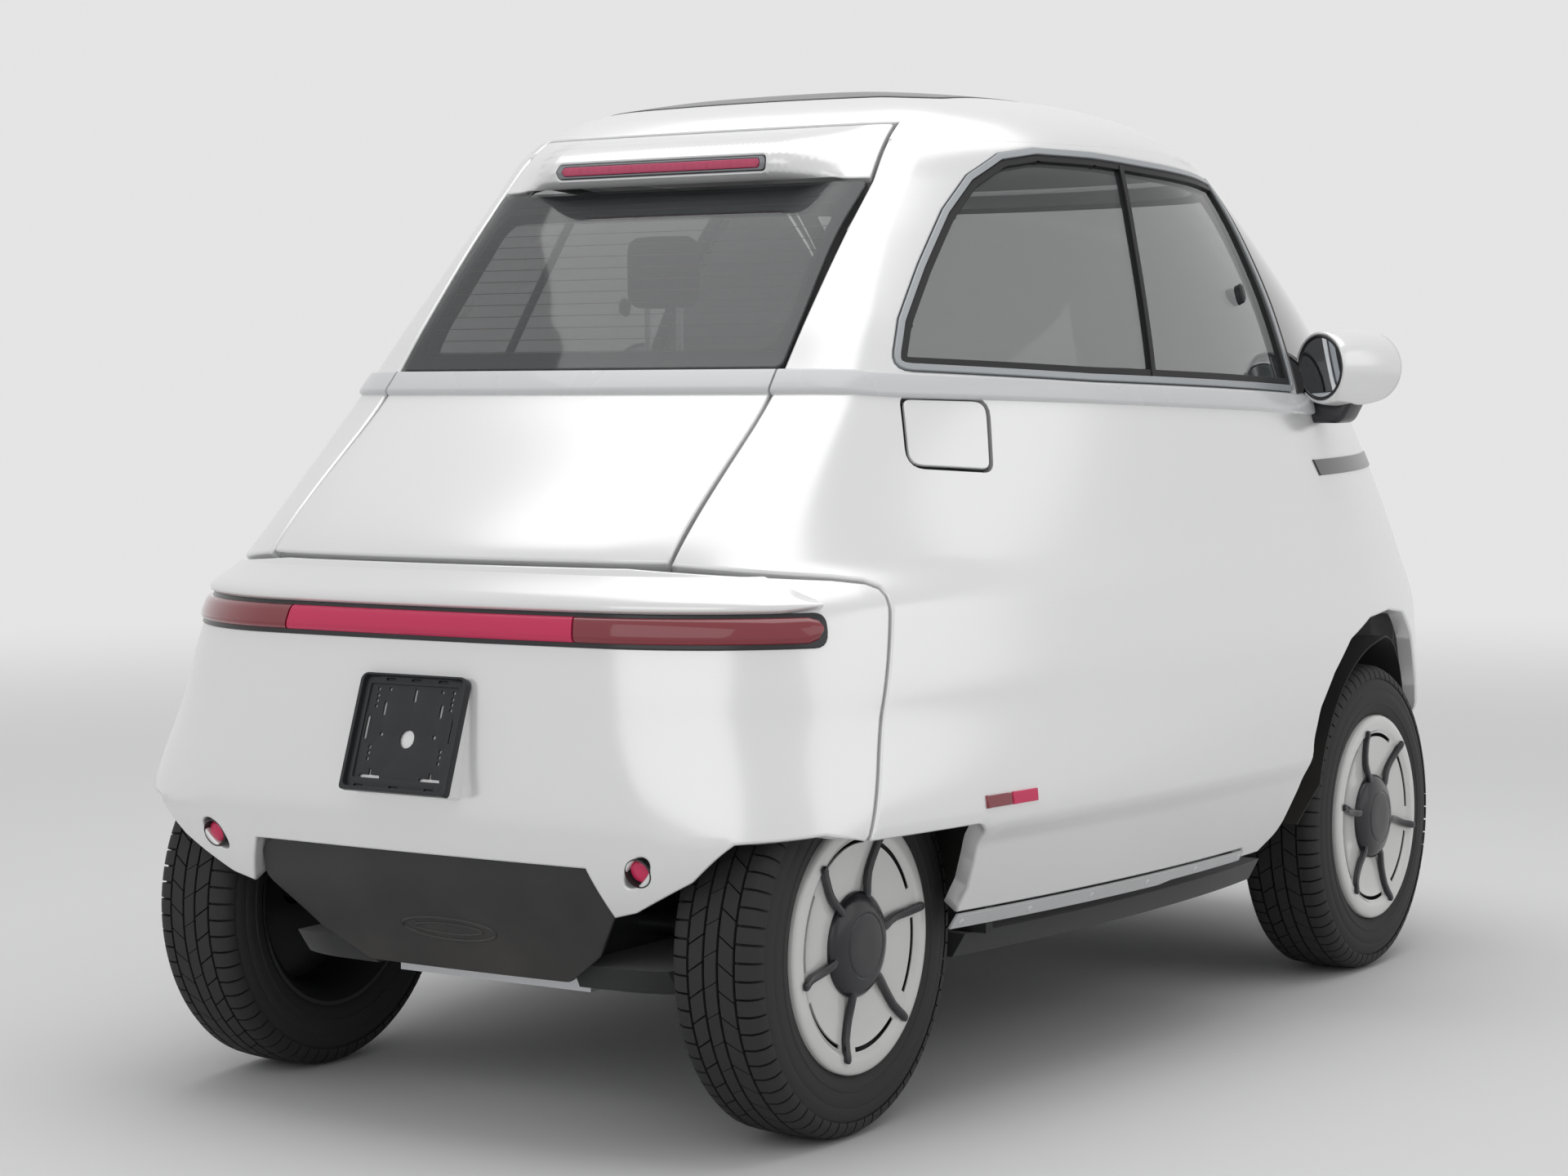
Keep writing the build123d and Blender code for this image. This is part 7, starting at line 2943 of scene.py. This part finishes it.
@dataclass
class Studio:
    """Floor, lamps and camera."""

    camera_at: tuple[float, float, float] = (-4.7497, -2.8398, 1.0493)
    yaw: float = 33.844
    pitch: float = 0.221
    roll: float = -0.42
    lens: float = 74.854
    shift: tuple[float, float] = (0.0532, -0.1455)
    backdrop: tuple[float, float, float] = (0.78, 0.78, 0.78)
    fade: tuple[float, float] = (2.5, 9.0)
    floor_half: float = 60.0
    floor_tone: float = 0.80
    world_strength: float = 0.50
    world_below: tuple[float, float, float] = (0.62, 0.63, 0.64)

    def camera(self) -> None:
        """Stand the camera where the car is seen from behind and to its right."""
        yaw, pitch, roll = (math.radians(v) for v in (self.yaw, self.pitch, self.roll))
        ahead = Vector((math.cos(yaw) * math.cos(pitch), math.sin(yaw) * math.cos(pitch), math.sin(pitch)))
        right = ahead.cross(Vector((0, 0, 1))).normalized()
        up = right.cross(ahead)
        x = right * math.cos(roll) + up * math.sin(roll)
        y = up * math.cos(roll) - right * math.sin(roll)
        data = bpy.data.cameras.new("camera")
        data.lens = self.lens
        data.sensor_width = 36
        data.shift_x, data.shift_y = self.shift
        camera = bpy.data.objects.new("camera", data)
        turn = Matrix((x, y, -ahead)).transposed().to_4x4()
        camera.matrix_world = Matrix.Translation(self.camera_at) @ turn
        bpy.context.scene.collection.objects.link(camera)
        bpy.context.scene.camera = camera

    def floor(self) -> None:
        """A pale floor that fades into the backdrop far from the car."""
        mesh = bpy.data.meshes.new("floor")
        size = self.floor_half
        mesh.from_pydata([(-size, -size, 0), (size, -size, 0), (size, size, 0), (-size, size, 0)], [],
                         [(0, 1, 2, 3)])
        floor = bpy.data.objects.new("floor", mesh)
        material = bpy.data.materials.new("floor_pale")
        material.use_nodes = True
        nodes, link = material.node_tree.nodes, material.node_tree.links.new
        shader = nodes["Principled BSDF"]
        shader.inputs["Roughness"].default_value = 0.8
        shader.inputs["Base Color"].default_value = (*(self.floor_tone,) * 3, 1)
        noise = nodes.new("ShaderNodeTexNoise")
        noise.inputs["Scale"].default_value = 60
        where = nodes.new("ShaderNodeTexCoord")
        link(where.outputs["Object"], noise.inputs["Vector"])
        bump = nodes.new("ShaderNodeBump")
        bump.inputs["Strength"].default_value = 0.08
        link(noise.outputs["Fac"], bump.inputs["Height"])
        link(bump.outputs["Normal"], shader.inputs["Normal"])
        far = nodes.new("ShaderNodeVectorMath")
        far.operation = "LENGTH"
        link(where.outputs["Object"], far.inputs[0])
        fade = nodes.new("ShaderNodeMapRange")
        fade.interpolation_type = "SMOOTHSTEP"
        fade.inputs["From Min"].default_value, fade.inputs["From Max"].default_value = self.fade
        link(far.outputs["Value"], fade.inputs["Value"])
        both = nodes.new("ShaderNodeMath")
        both.operation = "MULTIPLY"
        link(fade.outputs["Result"], both.inputs[0])
        link(seen_by_eye(nodes, link), both.inputs[1])
        glow, mixed = nodes.new("ShaderNodeEmission"), nodes.new("ShaderNodeMixShader")
        glow.inputs["Color"].default_value = (*self.backdrop, 1)
        link(both.outputs[0], mixed.inputs["Fac"])
        link(shader.outputs[0], mixed.inputs[1])
        link(glow.outputs[0], mixed.inputs[2])
        link(mixed.outputs[0], nodes["Material Output"].inputs["Surface"])
        mesh.materials.append(material)
        bpy.context.scene.collection.objects.link(floor)

    def lamp(self, name: str, at: Sequence[float], aim: Sequence[float], size: tuple[float, float],
             power: float) -> None:
        """A soft rectangular lamp.

        Args:
            name: The lamp's name.
            at: Its place.
            aim: The point that it looks at.
            size: Its width and height.
            power: Its power in watts.
        """
        data = bpy.data.lights.new(name, "AREA")
        data.shape = "RECTANGLE"
        data.size, data.size_y = size
        data.energy = power
        lamp = bpy.data.objects.new(name, data)
        ahead = (Vector(aim) - Vector(at)).normalized()
        lamp.matrix_world = Matrix.Translation(at) @ frame_from(-ahead).to_4x4()
        bpy.context.scene.collection.objects.link(lamp)

    def world(self) -> None:
        """A plain pale surround, a little brighter above."""
        world = bpy.data.worlds.new("world")
        world.use_nodes = True
        nodes, link = world.node_tree.nodes, world.node_tree.links.new
        background = nodes["Background"]
        background.inputs["Strength"].default_value = self.world_strength
        where = nodes.new("ShaderNodeTexCoord")
        apart = nodes.new("ShaderNodeSeparateXYZ")
        ramp = nodes.new("ShaderNodeMapRange")
        ramp.inputs["From Min"].default_value = -0.1
        ramp.inputs["From Max"].default_value = 0.7
        mix = nodes.new("ShaderNodeMix")
        mix.data_type = "RGBA"
        mix.inputs["A"].default_value = (*self.world_below, 1)
        mix.inputs["B"].default_value = (1.0, 1.0, 1.0, 1)
        link(where.outputs["Generated"], apart.inputs["Vector"])
        link(apart.outputs["Z"], ramp.inputs["Value"])
        link(ramp.outputs["Result"], mix.inputs["Factor"])
        link(mix.outputs["Result"], background.inputs["Color"])
        seen = nodes.new("ShaderNodeBackground")
        seen.inputs["Color"].default_value = (*self.backdrop, 1)
        either = nodes.new("ShaderNodeMixShader")
        link(seen_by_eye(nodes, link), either.inputs["Fac"])
        link(background.outputs[0], either.inputs[1])
        link(seen.outputs[0], either.inputs[2])
        link(either.outputs[0], nodes["World Output"].inputs["Surface"])
        bpy.context.scene.world = world

    def build(self) -> None:
        """Make the whole stage."""
        self.camera()
        self.floor()
        self.world()
        self.lamp("overhead", at=(0.3, 0.0, 5.2), aim=(0, 0, 0), size=(6.5, 4.5), power=115)
        self.lamp("rear_soft", at=(-6.5, -1.0, 3.6), aim=(-0.4, 0, 0.6), size=(6.5, 4.0), power=50)
        self.lamp("side_soft", at=(1.0, -7.0, 3.4), aim=(0, 0, 0.7), size=(7.0, 4.0), power=42)
        bpy.context.scene.view_settings.view_transform = "Standard"


def main() -> None:
    """Load the frame, dress it and set the stage."""
    logging.basicConfig(level=logging.INFO, format="%(name)s %(message)s")
    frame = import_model()
    Studio().build()
    dress_nodes(frame)
    BodyShell().build()
    Glazing().build()
    Lamps().build()
    for wheel in wheels():
        wheel.build()
    MirrorPods().build()
    PlateHolder().build()
    Underside().build()
    Seats().build()
    Cockpit().build()


if __name__ == "__main__":
    main()
